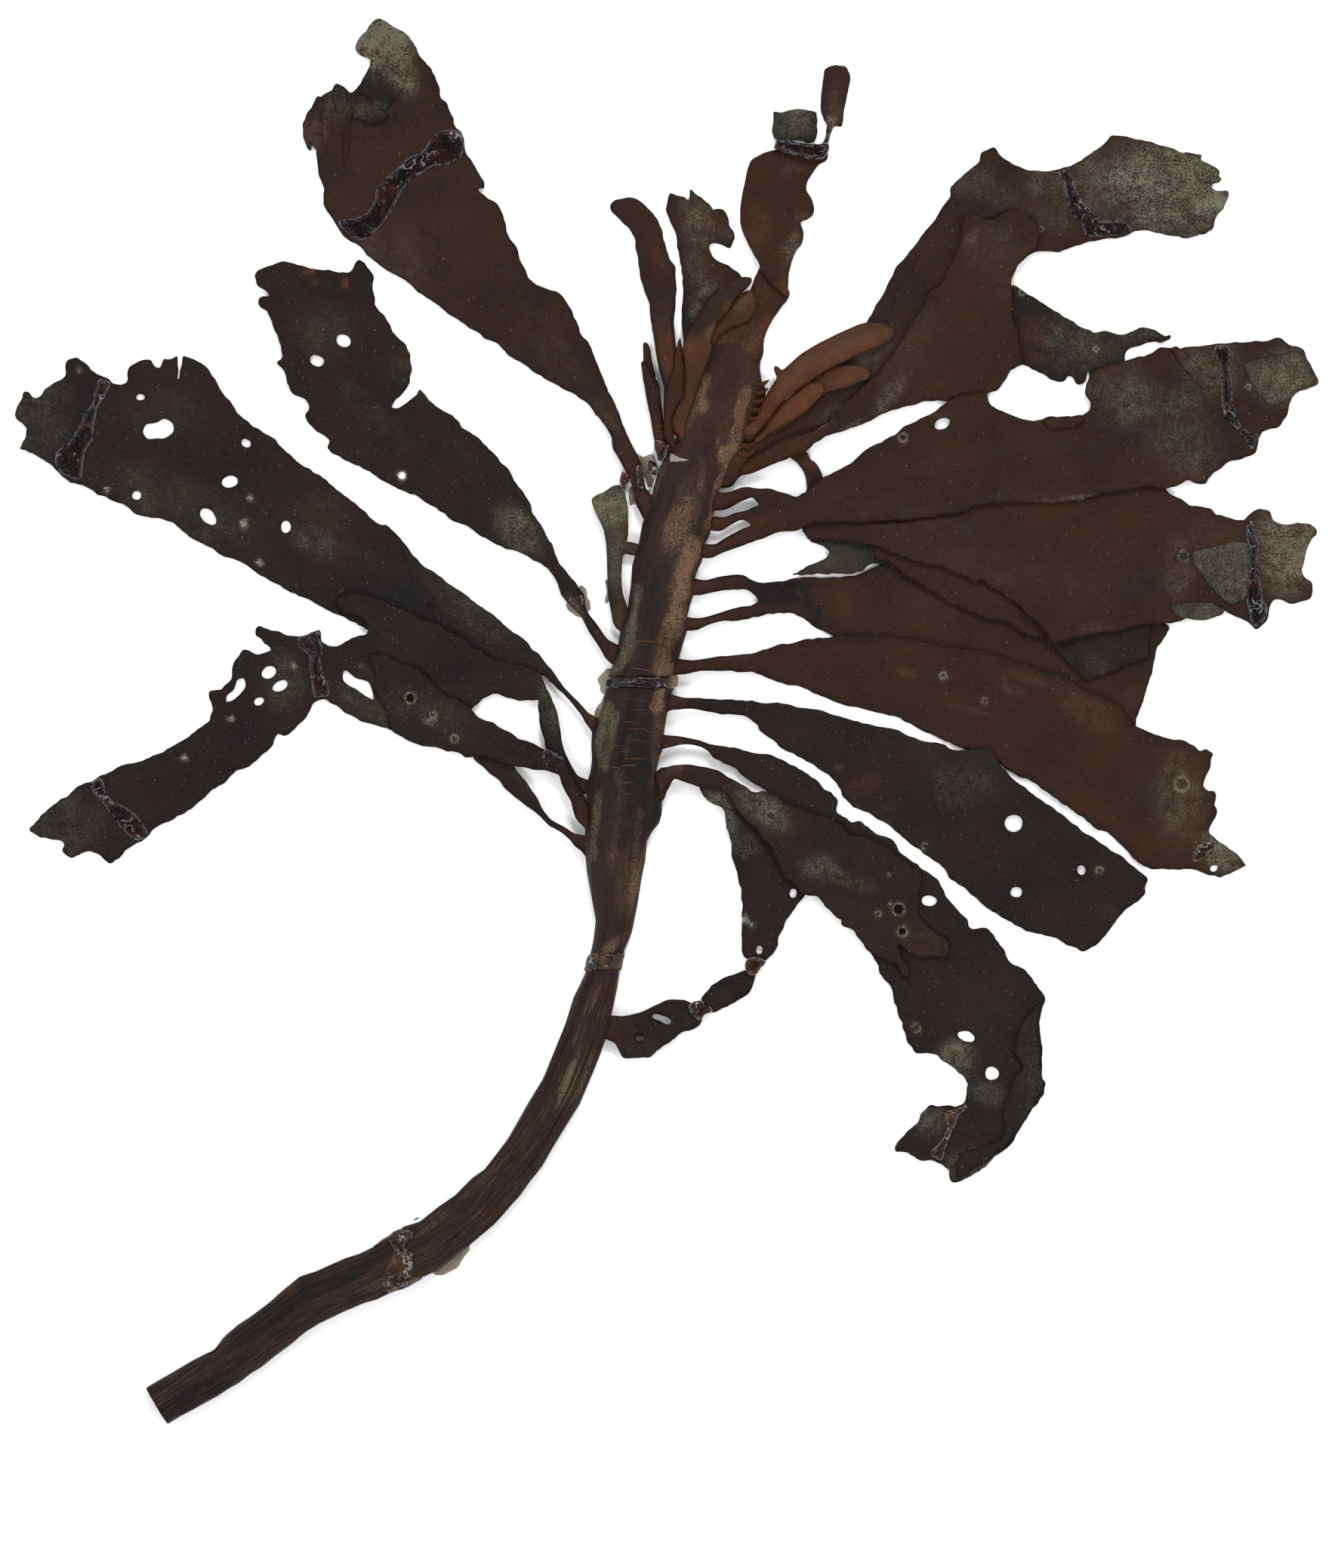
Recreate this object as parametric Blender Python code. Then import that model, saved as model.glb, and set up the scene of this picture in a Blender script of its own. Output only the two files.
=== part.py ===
# A pressed and dried woody-stemmed kelp, lying flat: one curved woody stem, its blades on both
# sides, the young blades of the crown, and the straps of dried glue that once held it down.
# Outlines are in millimetres, read by eye from the straight-down photograph: X to the right,
# Y up the picture, Z towards the viewer, with the underside of the stem on Z = 0.
import bpy
import math
import numpy as np
from mathutils import Vector
from mathutils.geometry import delaunay_2d_cdt

# driving dimensions, millimetres
BLADE_THICK = 0.6        # a dried blade
LAYER_PITCH = 0.98       # rise of a blade where it lies over another one
RAMP = 11.0              # run over which it climbs to that
RAMP_LEAD = 1.2          # it is fully up this far before the lower blade's margin
ROOT_RUN = 26.0          # distance over which blades slope down from the stem to the ground
WAVE = 0.62              # height of the gentle waves that all the blades share
MESH_STEP = 6.2          # spacing of the points inside a blade
ROOT_GAP = 0.34          # clearance between a blade and the stem
EDGE_STEP = 9.0          # longest straight piece of an outline
STEM_STEP = 4.6          # spacing of the rings along the stem
STEM_RING = 16           # points around the stem
GLUE_THICK = 0.5         # a strap of dried glue

# the stem: points along its middle, each with the stem's thickness there
STEM_LINE = [
    (-110.0, -148.6, 5.2), (-104, -145, 5.4), (-97.5, -141, 5.7), (-90.2, -135.6, 6.0), (-78, -127, 6.2),
    (-64.5, -120.8, 6.3), (-51, -114, 6.3), (-41.2, -106.1, 6.2), (-30.4, -93.6, 6.0), (-22.6, -80.4, 5.9),
    (-17.1, -66.8, 5.6), (-13.6, -55, 5.2), (-11.3, -46.1, 5.3), (-10.9, -38.6, 5.5), (-10.9, -28, 5.8),
    (-10.0, -20, 5.9), (-9, -10, 5.9), (-7.3, 0, 5.8), (-4.7, 10, 5.6), (-2.6, 20, 5.2), (-0.7, 30, 4.8),
    (2, 40, 4.4), (4.6, 50, 4.0), (8.6, 60, 3.4), (12, 70, 2.7), (15.1, 79.4, 2.1),
]
STEM_LEFT = [
    (-113.0, -144.9), (-108.4, -142.2), (-102.5, -138.7), (-100.4, -137.6), (-97.6, -136.3), (-95.6, -133.6),
    (-92.7, -131.1), (-90.0, -129.4), (-85.7, -126.1), (-82.2, -123.0), (-79.2, -120.5), (-75.5, -119.3),
    (-72.7, -118.0), (-69.6, -116.6), (-66.2, -115.5), (-62.0, -113.4), (-59.7, -111.8), (-56.6, -109.6),
    (-53.2, -108.6), (-49.5, -105.6), (-45.6, -102.9), (-42.0, -99.3), (-39.1, -97.2), (-34.2, -90.7),
    (-29.9, -83.1), (-26.6, -77.7), (-24.4, -72.3), (-21.7, -65.7), (-20.1, -60.3), (-17.4, -54.9),
    (-15.8, -48.4), (-15.2, -43.5), (-16.2, -38.0), (-17.1, -33.0), (-17.5, -29.0), (-17.6, -25.0),
    (-17.3, -21.5), (-17.2, -17.0), (-17.1, -13.5), (-16.4, -11.6), (-16.0, -8.5), (-16.2, -5.5), (-16.0, -2.5),
    (-14.7, 0.1), (-14.0, 2.3), (-13.2, 5.3), (-12.9, 7.1), (-12.3, 9.7), (-10.6, 14.4), (-9.9, 19.2),
    (-8.4, 23.1), (-7.6, 29.2), (-7.3, 33.5), (-5.9, 38.0), (-5.2, 42.0), (-4.3, 45.4), (-2.4, 50.0),
    (0.4, 56.0), (2.4, 61.0), (5.0, 68.0), (7.0, 75.0), (9.5, 81.0), (14.0, 87.0),
]
STEM_RIGHT = [
    (-107.6, -152.4), (-103.0, -149.7), (-97.6, -146.5), (-94.4, -144.4), (-92.7, -143.5), (-90.0, -141.4),
    (-87.8, -140.1), (-85.0, -137.9), (-81.3, -135.4), (-77.6, -132.3), (-74.8, -130.5), (-69.4, -127.9),
    (-65.0, -126.1), (-62.9, -125.6), (-57.5, -123.0), (-53.2, -120.8), (-48.8, -118.7), (-43.4, -114.5),
    (-36.9, -109.1), (-31.5, -103.1), (-29.3, -99.9), (-26.6, -96.6), (-22.8, -90.1), (-18.5, -83.1),
    (-15.8, -76.6), (-14.1, -72.3), (-12.6, -67.9), (-11.8, -63.6), (-10.6, -58.2), (-9.6, -51.7),
    (-7.3, -46.2), (-6.0, -39.7), (-5.2, -34.3), (-4.4, -30.5), (-4.0, -26.4), (-3.0, -24.5), (-1.4, -22.5),
    (-0.8, -20.5), (-0.8, -17.5), (-1.1, -15.0), (-1.8, -12.5), (-2.0, -11.1), (-1.3, -8.1), (-0.3, -5.9),
    (-0.4, -3.5), (0.2, 0.6), (1.3, 5.3), (2.1, 7.1), (2.7, 12.3), (3.9, 16.6), (4.6, 18.8), (4.6, 22.2),
    (5.2, 24.8), (5.8, 26.6), (6.0, 30.0), (6.7, 32.2), (7.9, 34.4), (8.3, 37.8), (9.6, 40.0), (10.3, 44.0),
    (11.4, 49.0), (13.2, 53.6), (14.8, 58.0), (16.0, 61.6), (16.8, 64.5), (17.8, 67.5), (18.7, 70.5),
    (19.8, 73.6), (20.4, 77.0), (20.7, 80.7), (22.4, 86.0),
]

# every flat piece: its outline, its holes, and the pieces that it lies over
FLAT = {}


def flat(name, outline, over=(), holes=(), thick=BLADE_THICK, kind="blade"):
    FLAT[name] = dict(outline=outline, over=list(over), holes=list(holes), thick=thick, kind=kind)


def spot(x, y, a, b=None, turn=0.0, n=8):
    """An oval hole: middle, half sizes and turn in degrees."""
    b = a if b is None else b
    t = math.radians(turn)
    return [(x + a * math.cos(u) * math.cos(t) - b * math.sin(u) * math.sin(t),
             y + a * math.cos(u) * math.sin(t) + b * math.sin(u) * math.cos(t))
            for u in (2 * math.pi * k / n for k in range(n))]


# blades on the left, from the top down
flat("upper_left_blade", [
    (-62, 152), (-59.1, 149.9), (-55.9, 148.5), (-54.5, 146.5), (-52.8, 143), (-50.4, 140.3), (-49.1, 136.6),
    (-48.9, 134.5), (-47.3, 133.7), (-47.1, 132.3), (-45.5, 128.3), (-44.1, 127.3), (-43.5, 124.6),
    (-43.3, 122.7), (-41.5, 120.3), (-40.3, 118.2), (-39, 115.8), (-39.3, 114.7), (-40.7, 114.9),
    (-39.3, 113.4), (-37, 112.3), (-35.6, 109.7), (-34.8, 107.5), (-34.2, 104.9), (-32.2, 102.2), (-31.3, 99),
    (-30, 95.5), (-27.3, 93.9), (-24.7, 93), (-23.1, 92.6), (-21.7, 90.7), (-19.3, 86.2), (-18, 83),
    (-16.3, 80.7), (-14.6, 76.2), (-13, 72.2), (-11, 67.8), (-9.4, 63.8), (-7.8, 59.8), (-6.9, 58.2),
    (-5.6, 55.4), (-4.9, 53.0), (-4.8, 51.0), (-4.9, 49.5), (-4.2, 47.8), (-3.6, 46.8), (-4.9, 44.6),
    (-5.7, 43.6), (-5.8, 45.4), (-6.4, 47.6), (-6.9, 50), (-7.8, 52), (-8.8, 54.2), (-10.4, 57), (-11.3, 58.4),
    (-11.6, 61), (-13, 63.2), (-15, 66.2), (-17, 68.2), (-19.6, 70.1), (-22, 71.6), (-24.4, 73), (-26.6, 74),
    (-28.2, 75), (-30, 76.4), (-32, 77.6), (-34.8, 79.4), (-35.6, 80.6), (-36.8, 81.8), (-38.8, 82.2),
    (-41.2, 84.1), (-45, 86.4), (-48.3, 88.6), (-50, 89.9), (-52.8, 92), (-56, 94.6), (-60.5, 97.3),
    (-63.3, 99.4), (-65.2, 100.8), (-66.3, 102.5), (-69.4, 104.2), (-70.3, 105.6), (-72.7, 109.1),
    (-74.3, 111.6), (-74.2, 115.1), (-75.3, 118.9), (-75.7, 122), (-75.9, 126.4), (-76.8, 125.3),
    (-76.5, 122.7), (-77.6, 123.3), (-78.6, 126.3), (-78.8, 128.6), (-77.9, 131.3), (-76.2, 133),
    (-74.8, 134.6), (-73.4, 135.7), (-72.1, 135.9), (-71.6, 137.7), (-70, 137.2), (-69, 136.8),
    (-68.4, 135.5), (-67.2, 136), (-65.1, 139.4), (-63.8, 142.7), (-66.8, 144.2), (-67.5, 145.6),
    (-66.9, 147), (-64.8, 149), (-63.5, 151)])

flat("second_left_blade", [
    (-89.2, 95.8), (-88.7, 96.9), (-87.5, 97.8), (-85.4, 98.4), (-83.6, 99.2), (-82.4, 99.2), (-81, 98.6),
    (-78.7, 98.2), (-75.9, 97.3), (-73.1, 97.5), (-71.7, 96.8), (-69.8, 96.6), (-68.1, 97.2), (-67.6, 98.6),
    (-66.9, 99.6), (-65.8, 99.6), (-64.9, 98.8), (-64, 97.2), (-63, 95.8), (-63.6, 94.1), (-63, 91.8),
    (-62.9, 89.9), (-61.2, 87.4), (-59.1, 84.1), (-56.5, 81.3), (-55.6, 78.7), (-54.8, 75.9), (-55.3, 73.8),
    (-55.6, 72), (-57.7, 69.6), (-59.8, 67.5), (-58.1, 67.2), (-56.5, 68), (-53.9, 70.3), (-53.6, 71.7),
    (-52.8, 71.3), (-51.1, 68.9), (-48.8, 67.3), (-46, 66.1), (-45.1, 65), (-43.9, 63.1), (-40.6, 61),
    (-37.6, 58), (-34.3, 54.2), (-32.7, 51.2), (-31.3, 49.8), (-29.7, 47.2), (-29.1, 45), (-25.9, 40),
    (-24.6, 38.1), (-23.6, 35.2), (-22.9, 33.5), (-20.7, 31.1), (-19, 28.7), (-17.7, 26.8), (-17.7, 24.8),
    (-17.1, 23.1), (-15.1, 20.5), (-13.4, 17.9), (-11.6, 15.6), (-11.0, 14.4), (-11.4, 12.4), (-12.4, 12.3),
    (-13.2, 14), (-14.7, 16.4), (-16.4, 18.8), (-17.9, 21.8), (-19, 23.1), (-20.5, 24.8), (-22.3, 26.4),
    (-23.3, 28.7), (-24.6, 31.3), (-26.4, 33.3), (-29, 35), (-31.6, 36.3), (-34.2, 36.8), (-37.4, 38.3),
    (-40.3, 39.9), (-43.5, 42), (-46.3, 43.1), (-48.3, 45), (-52.1, 47), (-53.5, 48.2), (-56.7, 49.6),
    (-60.2, 51.2), (-62.8, 52.6), (-67, 54.9), (-70.3, 56.3), (-72.6, 58), (-73.3, 59.1), (-72.8, 60.5),
    (-74.5, 61.7), (-76.3, 62.9), (-77.5, 64.5), (-78.1, 66.1), (-77, 67.1), (-77, 68.2), (-78, 69.4),
    (-79.6, 69.6), (-81, 70.8), (-82.2, 72.4), (-82.2, 74.3), (-83.1, 75.9), (-84.5, 77.1), (-83, 78.3),
    (-83.1, 80.1), (-83.8, 82.5), (-85, 84.6), (-85.4, 86.7), (-86.1, 88.5), (-87.3, 89), (-88.2, 89.9),
    (-88.2, 91.2), (-87.2, 92), (-85.9, 91.4), (-86.2, 92.6), (-88.5, 93.7)],
    holes=[spot(-69.8, 82, 1.7, 1.3, -30), spot(-75.6, 77.6, 1.8, 1.3, -20), spot(-57.1, 52.8, 1.0, n=6)])

flat("left_large_blade", [
    (-140.2, 58.6), (-139.7, 59.8), (-138.3, 61), (-138.5, 62.1), (-138, 63.1), (-139.2, 64.2), (-140.4, 64.8),
    (-141.3, 65.8), (-140.4, 67.5), (-139.4, 69.6), (-139.2, 71), (-137.8, 71), (-137.4, 69.8), (-136.2, 69.5),
    (-135, 70.1), (-134.6, 71.3), (-132.4, 72.8), (-130.3, 73.9), (-129.8, 75.4), (-130.1, 76.5), (-129.5, 78),
    (-127.3, 78.5), (-125.9, 77.5), (-124.5, 76.1), (-124, 75.3), (-122.6, 74.4), (-120.5, 73.8),
    (-119.6, 72.8), (-118.2, 72.3), (-116.6, 72.5), (-116.3, 74.3), (-116.7, 75.4), (-116.1, 76.8),
    (-114, 77.8), (-112.6, 78.1), (-111.4, 77.8), (-110.7, 76.4), (-109.6, 76), (-109.4, 77.3), (-109, 78.5),
    (-107, 78.2), (-105.6, 79.1), (-105.6, 73.4), (-104.6, 78.9), (-102.3, 78), (-99.8, 76.6), (-98.6, 75.7),
    (-97.7, 73.6), (-96.5, 71.5), (-94.4, 68.9), (-92.5, 65.9), (-90.2, 64), (-86.9, 62.1), (-84.6, 60.7),
    (-82.7, 58.2), (-79.9, 55.8), (-76.7, 54), (-74.3, 52.3), (-71.7, 50), (-69.1, 48.2), (-65.2, 45),
    (-62.7, 42.4), (-60.1, 41.7), (-58.2, 40.1), (-56.4, 37.8), (-54.7, 35.4), (-52.4, 33.6), (-50.1, 31.7),
    (-47.3, 29.6), (-44.9, 28.2), (-42.1, 26.1), (-39.8, 24.5), (-36.5, 21.9), (-33.5, 19.3), (-29.8, 16.4),
    (-26.8, 13.1), (-24.6, 10.5), (-22.9, 7.7), (-20.7, 5.3), (-18.6, 3.2), (-16.8, 1), (-15.6, -0.2),
    (-16.5, -3.4), (-16.8, -1.2), (-18.1, 1), (-19.9, 3.2), (-22.3, 5.8), (-24.2, 7.7), (-26.4, 9.5),
    (-28.8, 9.6), (-31.5, 7.6), (-36, 8.2), (-41, 9.6), (-46, 11.6), (-51, 14), (-56, 16), (-60.5, 17.4),
    (-64.5, 19.4), (-67.8, 21.2), (-70.8, 22.8), (-73.4, 23.8), (-75.3, 24.9), (-77.1, 25.9), (-79.9, 27),
    (-82.7, 28.4), (-85.1, 29.8), (-88.3, 31.7), (-90.7, 33.2), (-92.5, 34.4), (-95.3, 35.1), (-97.7, 36.7),
    (-100, 37.9), (-103.3, 39.5), (-105.1, 41.1), (-107.5, 42.8), (-109.8, 43.7), (-113.1, 43.8),
    (-114.9, 44.9), (-117.3, 46.3), (-119.1, 47), (-121, 48.1), (-122.9, 48.6), (-124.3, 49.8),
    (-126.4, 50.9), (-128, 51.2), (-130.8, 52.6), (-132.4, 54.7), (-135, 56.3), (-137.8, 57.9)],
    holes=[[(-113.5, 62.2), (-112.2, 60.7), (-110.4, 60.9), (-108.4, 60.8), (-106.5, 62.2), (-106.6, 64.2),
            (-108.5, 65.3), (-110.4, 64.2), (-112.6, 64)],
           spot(-90.9, 59.8, 1.5, 1.0, -30, 6), spot(-94.4, 51.5, 2.0, 1.4, 10), spot(-99.1, 43.9, 2.4, 1.5, -45),
           spot(-114.6, 48.5, 1.2, n=6), spot(-82.3, 41.7, 1.3, 1.6), spot(-113.7, 69.8, 1.1, 0.8, 0, 6)])

flat("left_long_blade", [
    (-74.1, 16.3), (-72, 15.8), (-69.7, 16.5), (-66.4, 17.9), (-64.8, 18.7), (-64.4, 19.6), (-65, 20.7),
    (-65.7, 22.1), (-67.8, 22.6), (-70.1, 22.8), (-71, 24.5), (-71.3, 26.3), (-69.7, 26.8), (-66.9, 27.3),
    (-63.6, 26.6), (-61.3, 25.6), (-58.9, 24.5), (-56.4, 23.8), (-54, 22.1), (-50.5, 21), (-47.3, 19.6),
    (-44, 17.5), (-40.3, 14.9), (-37.5, 13.3), (-33.7, 12.1), (-30, 11.6), (-28.8, 10.9), (-27.2, 10.1),
    (-26.4, 7.9), (-25.3, 5.3), (-24.2, 2.7), (-23.6, 0.6), (-23.1, -2), (-22.7, -5.1), (-21.8, -7.7),
    (-20.5, -10.3), (-19.2, -12.6), (-17.7, -13.7), (-17.6, -15.9), (-19.3, -15.5), (-21.2, -12.8),
    (-23, -10.5), (-25, -8), (-26, -5.5), (-26.2, -3.8), (-27.2, -1.2), (-27.5, 1.9), (-27.4, 4.3),
    (-31.1, 4), (-33.7, 4.5), (-35.5, 5.3), (-37, 5.6), (-38.9, 4.7), (-41.8, 3.0), (-43, 0.2), (-48, 0),
    (-55, -1.5), (-59.5, -2.4), (-62.4, -1.4), (-65.9, -0.5), (-68.3, 0.9), (-70.6, 2.5), (-73.9, 4.4),
    (-76.2, 3.5), (-77.4, 1.4), (-79, -0.7), (-80.9, -2.5), (-82.8, -3.7), (-83.4, -3), (-84.1, -2.9),
    (-84.6, -4.2), (-84.8, -5.6), (-87.4, -7.7), (-90.2, -9.8), (-93, -11.2), (-95.8, -14), (-98.6, -15.6),
    (-100.9, -17.7), (-103.7, -20), (-107.5, -22.1), (-110.3, -23.3), (-112.1, -25.4), (-114.5, -26.8),
    (-116.8, -28.2), (-117.7, -29.6), (-119.1, -30.8), (-120.5, -31.5), (-121.7, -30.8), (-122.6, -29.6),
    (-125, -28.4), (-127.1, -29.4), (-128.7, -30.2), (-129.8, -29.1), (-130.6, -28.2), (-130, -27.7),
    (-130.1, -26.8), (-132, -26), (-133.6, -26), (-134.3, -25.3), (-135.2, -25.8), (-138, -23.9),
    (-136.2, -22.1), (-135, -20.3), (-133.1, -18.9), (-130.3, -17), (-127.5, -14.7), (-125, -13.4),
    (-121.9, -12.1), (-118.7, -10.5), (-115.9, -9.5), (-112.1, -8.6), (-109.8, -7.4), (-107.5, -6.3),
    (-104.7, -4.6), (-101.9, -2.8), (-100, -1.2), (-98.6, -0.4), (-98.6, 0.7), (-97.9, 1.9), (-98.4, 3.1),
    (-98.8, 4.5), (-99.1, 5.9), (-98.1, 6.7), (-96.5, 6.3), (-95.8, 7.3), (-94.2, 8.7), (-93.7, 10.1),
    (-93.7, 12.4), (-92.5, 13.8), (-91.6, 15), (-90, 14.7), (-88.6, 14), (-86.9, 14.5), (-85.3, 15),
    (-86.5, 15.9), (-87.6, 17.3), (-89, 18.2), (-89, 19.9), (-88.1, 20.4), (-86.9, 20.1), (-85.3, 19.2),
    (-83.7, 19.2), (-82.3, 18.2), (-79.9, 18), (-74.8, 19.6), (-75, 17.3)],
    over=["left_large_blade"],
    holes=[spot(-86, 10.2, 1.8, 1.4, 35), spot(-83.6, 7.3, 2.0, 1.2, 25), spot(-88.1, 3.9, 1.4, 1.1, 25, 6),
           [(-95.4, 3.6), (-94, 3.9), (-92.2, 5.2), (-91, 7.2), (-91.4, 9), (-92.9, 8.6), (-93.4, 6.6),
            (-95.2, 5.3)],
           [(-69.7, 10.7), (-69, 10.4), (-67.3, 9), (-64.6, 8.3), (-64, 7.2), (-63.4, 5.3), (-63.2, 4.1),
            (-64.1, 4.6), (-66.4, 6), (-69.2, 7.7), (-69.9, 8.6)]])

flat("left_lower_blade", [
    (-64.5, 14), (-62.7, 14), (-59.9, 13.7), (-58.5, 12.3), (-57.1, 11.6), (-55.2, 11.8), (-53.3, 10.5),
    (-51, 8.6), (-49.1, 6.3), (-47.5, 4.9), (-44, 3.6), (-41.5, 1.5), (-39.8, -0.1), (-37.5, -0.5),
    (-35.6, -2), (-33.1, -3.1), (-32, -4.4), (-29.8, -4.8), (-27.7, -5.9), (-26.2, -6.8), (-21.6, -8.5),
    (-20.7, -11.6), (-19.9, -13.3), (-19.2, -15.9), (-18.7, -18.4), (-18.0, -21.0), (-17.9, -24.3),
    (-19, -22), (-19.9, -19.4), (-20.3, -17.6), (-21.4, -15.9), (-22.5, -13.7), (-22.9, -11.8),
    (-25.5, -11.1), (-27.7, -10.7), (-31.1, -10.4), (-34.6, -10), (-35.5, -9.2), (-37.6, -8.5), (-41.2, -8.2),
    (-43.5, -8.5), (-44, -7.7), (-47.3, -7), (-49.8, -6), (-52.4, -5.8), (-55.2, -4.7), (-58, -3.3),
    (-59.7, -2.6), (-60.1, 1.6), (-61.5, 3), (-62.9, 5.3), (-63.4, 7.7), (-63, 10), (-63.5, 12.4)],
    over=["left_long_blade", "left_small_blade"],
    holes=[spot(-55.3, 4.6, 0.9, n=6)])

flat("left_small_blade", [
    (-41.6, -8.6), (-39.8, -10.1), (-37.9, -11.7), (-36.1, -13.3), (-35, -15), (-33, -16.5), (-31, -18),
    (-29.5, -19.1), (-27.3, -20.8), (-25, -23), (-22.5, -24.3), (-20.5, -26), (-18.9, -28), (-18.1, -30),
    (-17.95, -26.0), (-18.6, -25.7), (-20, -24.9), (-22, -23.4), (-24.7, -22), (-25.5, -21.3), (-26.8, -19.5),
    (-28, -17), (-29, -15.6), (-30.5, -13), (-32.4, -11.4), (-33.6, -8.6), (-35.4, -5.6), (-39.4, -4.6),
    (-42.2, -6.2)])

flat("left_olive_blade", [
    (-16.2, 47.6), (-15, 48.6), (-13.4, 49), (-11.8, 50.2), (-10.4, 50.7), (-9.3, 50), (-8.4, 46), (-8.4, 40),
    (-8.9, 38), (-8.0, 38.3), (-6.8, 37.2), (-7.7, 36.0), (-9.2, 36.2), (-9.7, 35.2), (-10, 31.3),
    (-10.1, 27), (-10, 24), (-9.9, 22.4), (-10.3, 20.6), (-10.9, 19.4), (-11.4, 22.2), (-11.9, 24.4),
    (-12.4, 27.4), (-12.5, 31.3), (-12.6, 35), (-12.8, 38.4), (-13.4, 41.4), (-15.2, 44.8)])

# the crown
flat("crown_stub_a", [
    (-5.6, 77.4), (-4.4, 78), (-3.6, 76.2), (-2.6, 74.2), (-1.9, 73.2), (-1.2, 71), (-0.8, 69), (-0.7, 65.8),
    (-0.8, 60.4), (-2.6, 61), (-3.4, 64.6), (-4.2, 69), (-4.8, 73)], over=["crown_stub_b"])
flat("crown_stub_b", [
    (-4.9, 81.6), (-4.2, 81.6), (-3.5, 80.2), (-3.3, 77.8), (-2.7, 75.6), (-2.2, 74), (-3.2, 73),
    (-4.4, 75), (-4.9, 79.4)])
flat("slender_top_blade", [
    (-12.1, 111.3), (-11.3, 112.3), (-8.4, 113.1), (-6.5, 112.8), (-4.7, 111.5), (-3.1, 109.9), (-1.7, 107.8),
    (-0.7, 105.4), (0.4, 101.1), (0.9, 99.5), (1.9, 98.5), (2.1, 96.9), (2.2, 93.7), (2.0, 91.5), (1.9, 89.4),
    (1.6, 86.2), (1.8, 82.6), (2.1, 79.4), (2.0, 76.2), (1.4, 73.4), (0.4, 71), (0.35, 66), (0.5, 60.4),
    (-0.3, 60.3), (-0.3, 66), (-0.3, 71.8), (-0.9, 73.8), (-1.5, 76.2), (-2.1, 79.4), (-2.5, 82.6),
    (-3.2, 87), (-3.6, 89), (-3.8, 90.2), (-4.8, 93), (-5.4, 95.4), (-5.8, 98.2), (-6.4, 101), (-6.8, 102.6),
    (-6.5, 103.5), (-7.3, 105.4), (-9.2, 107.5), (-10.8, 109.1), (-12, 110.2)],
    over=["crown_stub_a", "crown_stub_b"])
flat("torn_top_blade", [
    (0.8, 114.4), (2.3, 113.5), (4.1, 113.3), (4.9, 112.4), (5.2, 115.1), (6.5, 113.7), (8.4, 112.7),
    (10.2, 111.1), (10, 110), (10.8, 110.6), (12.4, 110.4), (13.5, 108.4), (13.9, 107.3), (14.4, 106.3),
    (15.1, 104.3), (14.3, 103.1), (13.8, 101.9), (12.7, 102.5), (10.8, 103.2), (9.1, 102.8), (9.5, 101.2),
    (11.1, 99.3), (13.5, 98.3), (15.3, 96.9), (16.4, 95.9), (16.2, 93.8), (13.6, 91.4), (10.4, 88),
    (7.8, 84.4), (6.1, 80.6), (5.4, 76), (4, 71), (2.7, 66.4), (2.1, 62.6), (1.3, 61.6), (1.2, 64),
    (1.6, 67.6), (2.6, 71), (3.1, 74), (3.4, 78), (4.1, 82), (3.8, 83.6), (3.5, 86), (3.6, 89.7), (3.8, 94),
    (3.1, 99.3), (2, 105.2), (0.7, 108.4), (-0.2, 110.5)])
flat("young_blade_left", [
    (18.8, 95), (18.6, 95.5), (16.8, 95.7), (14, 95), (11.6, 93.6), (9.2, 91.2), (7.2, 87.6), (5.2, 84),
    (4.2, 81.6), (3.9, 79.4), (4.1, 76.8), (3.9, 74), (3.2, 70), (2.3, 66.4), (1.7, 63.6), (1.9, 61.6),
    (2.4, 61.8), (3.3, 64.8), (4.4, 67.8), (5.5, 71), (6.4, 74.8), (7.4, 78), (8.4, 80.6), (9.6, 83.2),
    (11.2, 86), (13.2, 88), (14, 89.6), (16, 92), (17.6, 93.2)], over=["torn_top_blade", "young_blade_under",
                                                                       "terminal_blade"])
flat("young_blade_under", [
    (17.6, 92.8), (18.8, 92.7), (19.4, 91.2), (19.2, 88.4), (18, 86.4), (15.6, 85.2), (14, 84.8),
    (12, 83.5), (10, 82), (8.8, 80.6), (8.2, 81.6), (9.4, 84.6), (11.2, 87.6), (14.2, 90.8)],
    over=["terminal_blade"])
flat("terminal_blade", [
    (9.6, 81.9), (12, 84.6), (14.6, 87.8), (18, 92), (19.2, 95.5), (20.8, 98.9), (23.4, 96.2), (25.6, 94.2),
    (26.9, 92.4), (26.4, 90.8), (24.9, 89.4), (23.1, 86.9), (21.2, 83.3), (20.8, 80.7), (20.9, 78.2)])
flat("twisted_top_blade", [
    (20.4, 97.7), (22, 95.1), (24.1, 92.9), (26.6, 91.2), (26.3, 93.5), (26.4, 95.6), (26.8, 97.5), (27.3, 99.6),
    (28.1, 101.4), (29.5, 102.8), (30, 104.7), (29.6, 106.5), (28.9, 107.7), (30.5, 108.1), (31.9, 109.2),
    (32.2, 110.8), (31.6, 112.7), (30.3, 114.5), (30.5, 116.4), (31.9, 118.5), (32.9, 120.1), (35.1, 121.2),
    (35.1, 123.6), (32, 122.9), (27, 123.8), (22, 123.1), (19.9, 122), (18.3, 120.9), (17.8, 119.6),
    (17.2, 116.9), (16.5, 113.7), (16, 110.5), (16.1, 107.3), (17.2, 104.1), (18.8, 100.9), (19.9, 99.1)],
    over=["terminal_blade"])
flat("top_olive_piece", [
    (23.7, 125.4), (23.3, 126.8), (23.1, 127.9), (23.5, 129.5), (23.1, 131.6), (24.7, 131.3), (26.8, 132),
    (30, 132.2), (32.1, 131.6), (32.8, 131.6), (32.7, 127.1), (32.3, 124.9), (28, 125.2)])
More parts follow.
